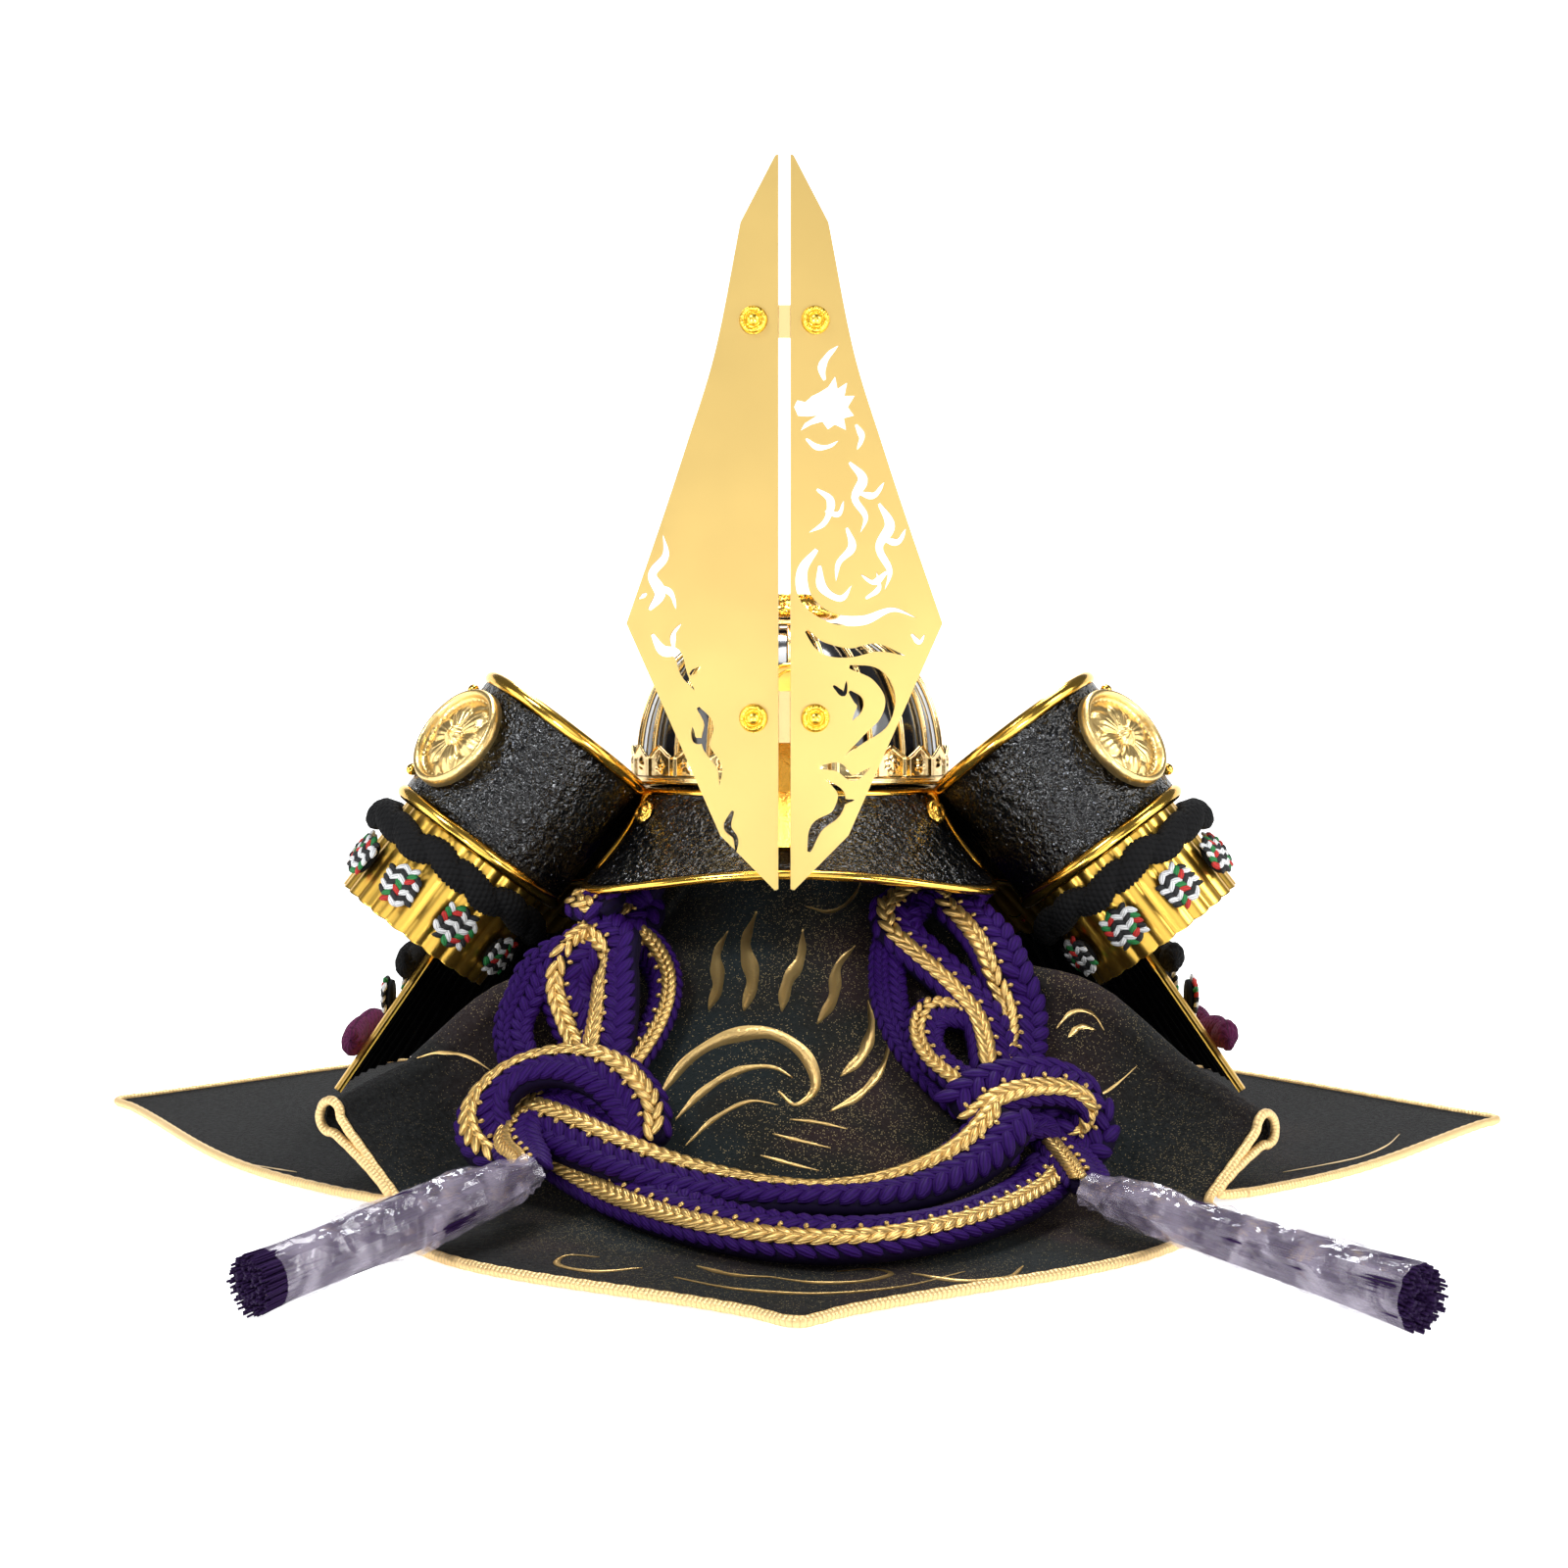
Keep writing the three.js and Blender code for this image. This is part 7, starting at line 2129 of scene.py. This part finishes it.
class HELMET_OT_visor(HelmetStep, bpy.types.Operator):
    """Make the leather visor, its rim and its rivets"""

    bl_idname = "helmet.make_visor"
    bl_label = "Make Visor"

    def execute(self, context):
        make_visor()
        return {"FINISHED"}


class HELMET_OT_lames(HelmetStep, bpy.types.Operator):
    """Make the leather lame, its rim and the fluted lames"""

    bl_idname = "helmet.make_neck_guard"
    bl_label = "Make Neck Guard"

    def execute(self, context):
        make_lames()
        return {"FINISHED"}


class HELMET_OT_lacing(HelmetStep, bpy.types.Operator):
    """Make the rows of wool rope and of woven ties"""

    bl_idname = "helmet.make_lacing"
    bl_label = "Make Lacing"

    def execute(self, context):
        make_lacing()
        return {"FINISHED"}


class HELMET_OT_fittings(HelmetStep, bpy.types.Operator):
    """Make the flower discs and studs of the turn-backs"""

    bl_idname = "helmet.make_fittings"
    bl_label = "Make Fittings"

    def execute(self, context):
        make_medallions()
        return {"FINISHED"}


class HELMET_OT_crest(HelmetStep, bpy.types.Operator):
    """Cut the pierced plates, make their rivets, and paint their bridges and holder in gilt"""

    bl_idname = "helmet.make_crest"
    bl_label = "Make Crest"

    def execute(self, context):
        make_crest()
        return {"FINISHED"}


STEPS = [
    HELMET_OT_stage, HELMET_OT_cord, HELMET_OT_tassels, HELMET_OT_cloth, HELMET_OT_bowl,
    HELMET_OT_band, HELMET_OT_front, HELMET_OT_finial, HELMET_OT_visor, HELMET_OT_lames,
    HELMET_OT_lacing, HELMET_OT_fittings, HELMET_OT_crest,
]


class HELMET_PT_panel(bpy.types.Panel):
    """Lists the sizes, the colours and the steps that build the helmet."""

    bl_label = "Samurai Helmet"
    bl_idname = "HELMET_PT_panel"
    bl_space_type = "VIEW_3D"
    bl_region_type = "UI"
    bl_category = "Helmet"

    def draw(self, context):
        for name in HelmetSizes.__annotations__:
            self.layout.prop(context.scene.helmet_sizes, name)
        for name in HelmetColours.__annotations__:
            self.layout.prop(context.scene.helmet_colours, name)
        for step in STEPS:
            self.layout.operator(step.bl_idname)


CLASSES = [HelmetSizes, HelmetColours, *STEPS, HELMET_PT_panel]


def register():
    for cls in CLASSES:
        bpy.utils.register_class(cls)
    bpy.types.Scene.helmet_sizes = PointerProperty(type=HelmetSizes)
    bpy.types.Scene.helmet_colours = PointerProperty(type=HelmetColours)


def unregister():
    del bpy.types.Scene.helmet_sizes
    del bpy.types.Scene.helmet_colours
    for cls in reversed(CLASSES):
        bpy.utils.unregister_class(cls)


def main():
    register()
    for step in STEPS:
        getattr(bpy.ops.helmet, step.bl_idname.split(".")[1])()
    for obj in FORMS:
        bpy.data.objects.remove(obj)
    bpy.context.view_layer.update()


if __name__ == "__main__":
    main()
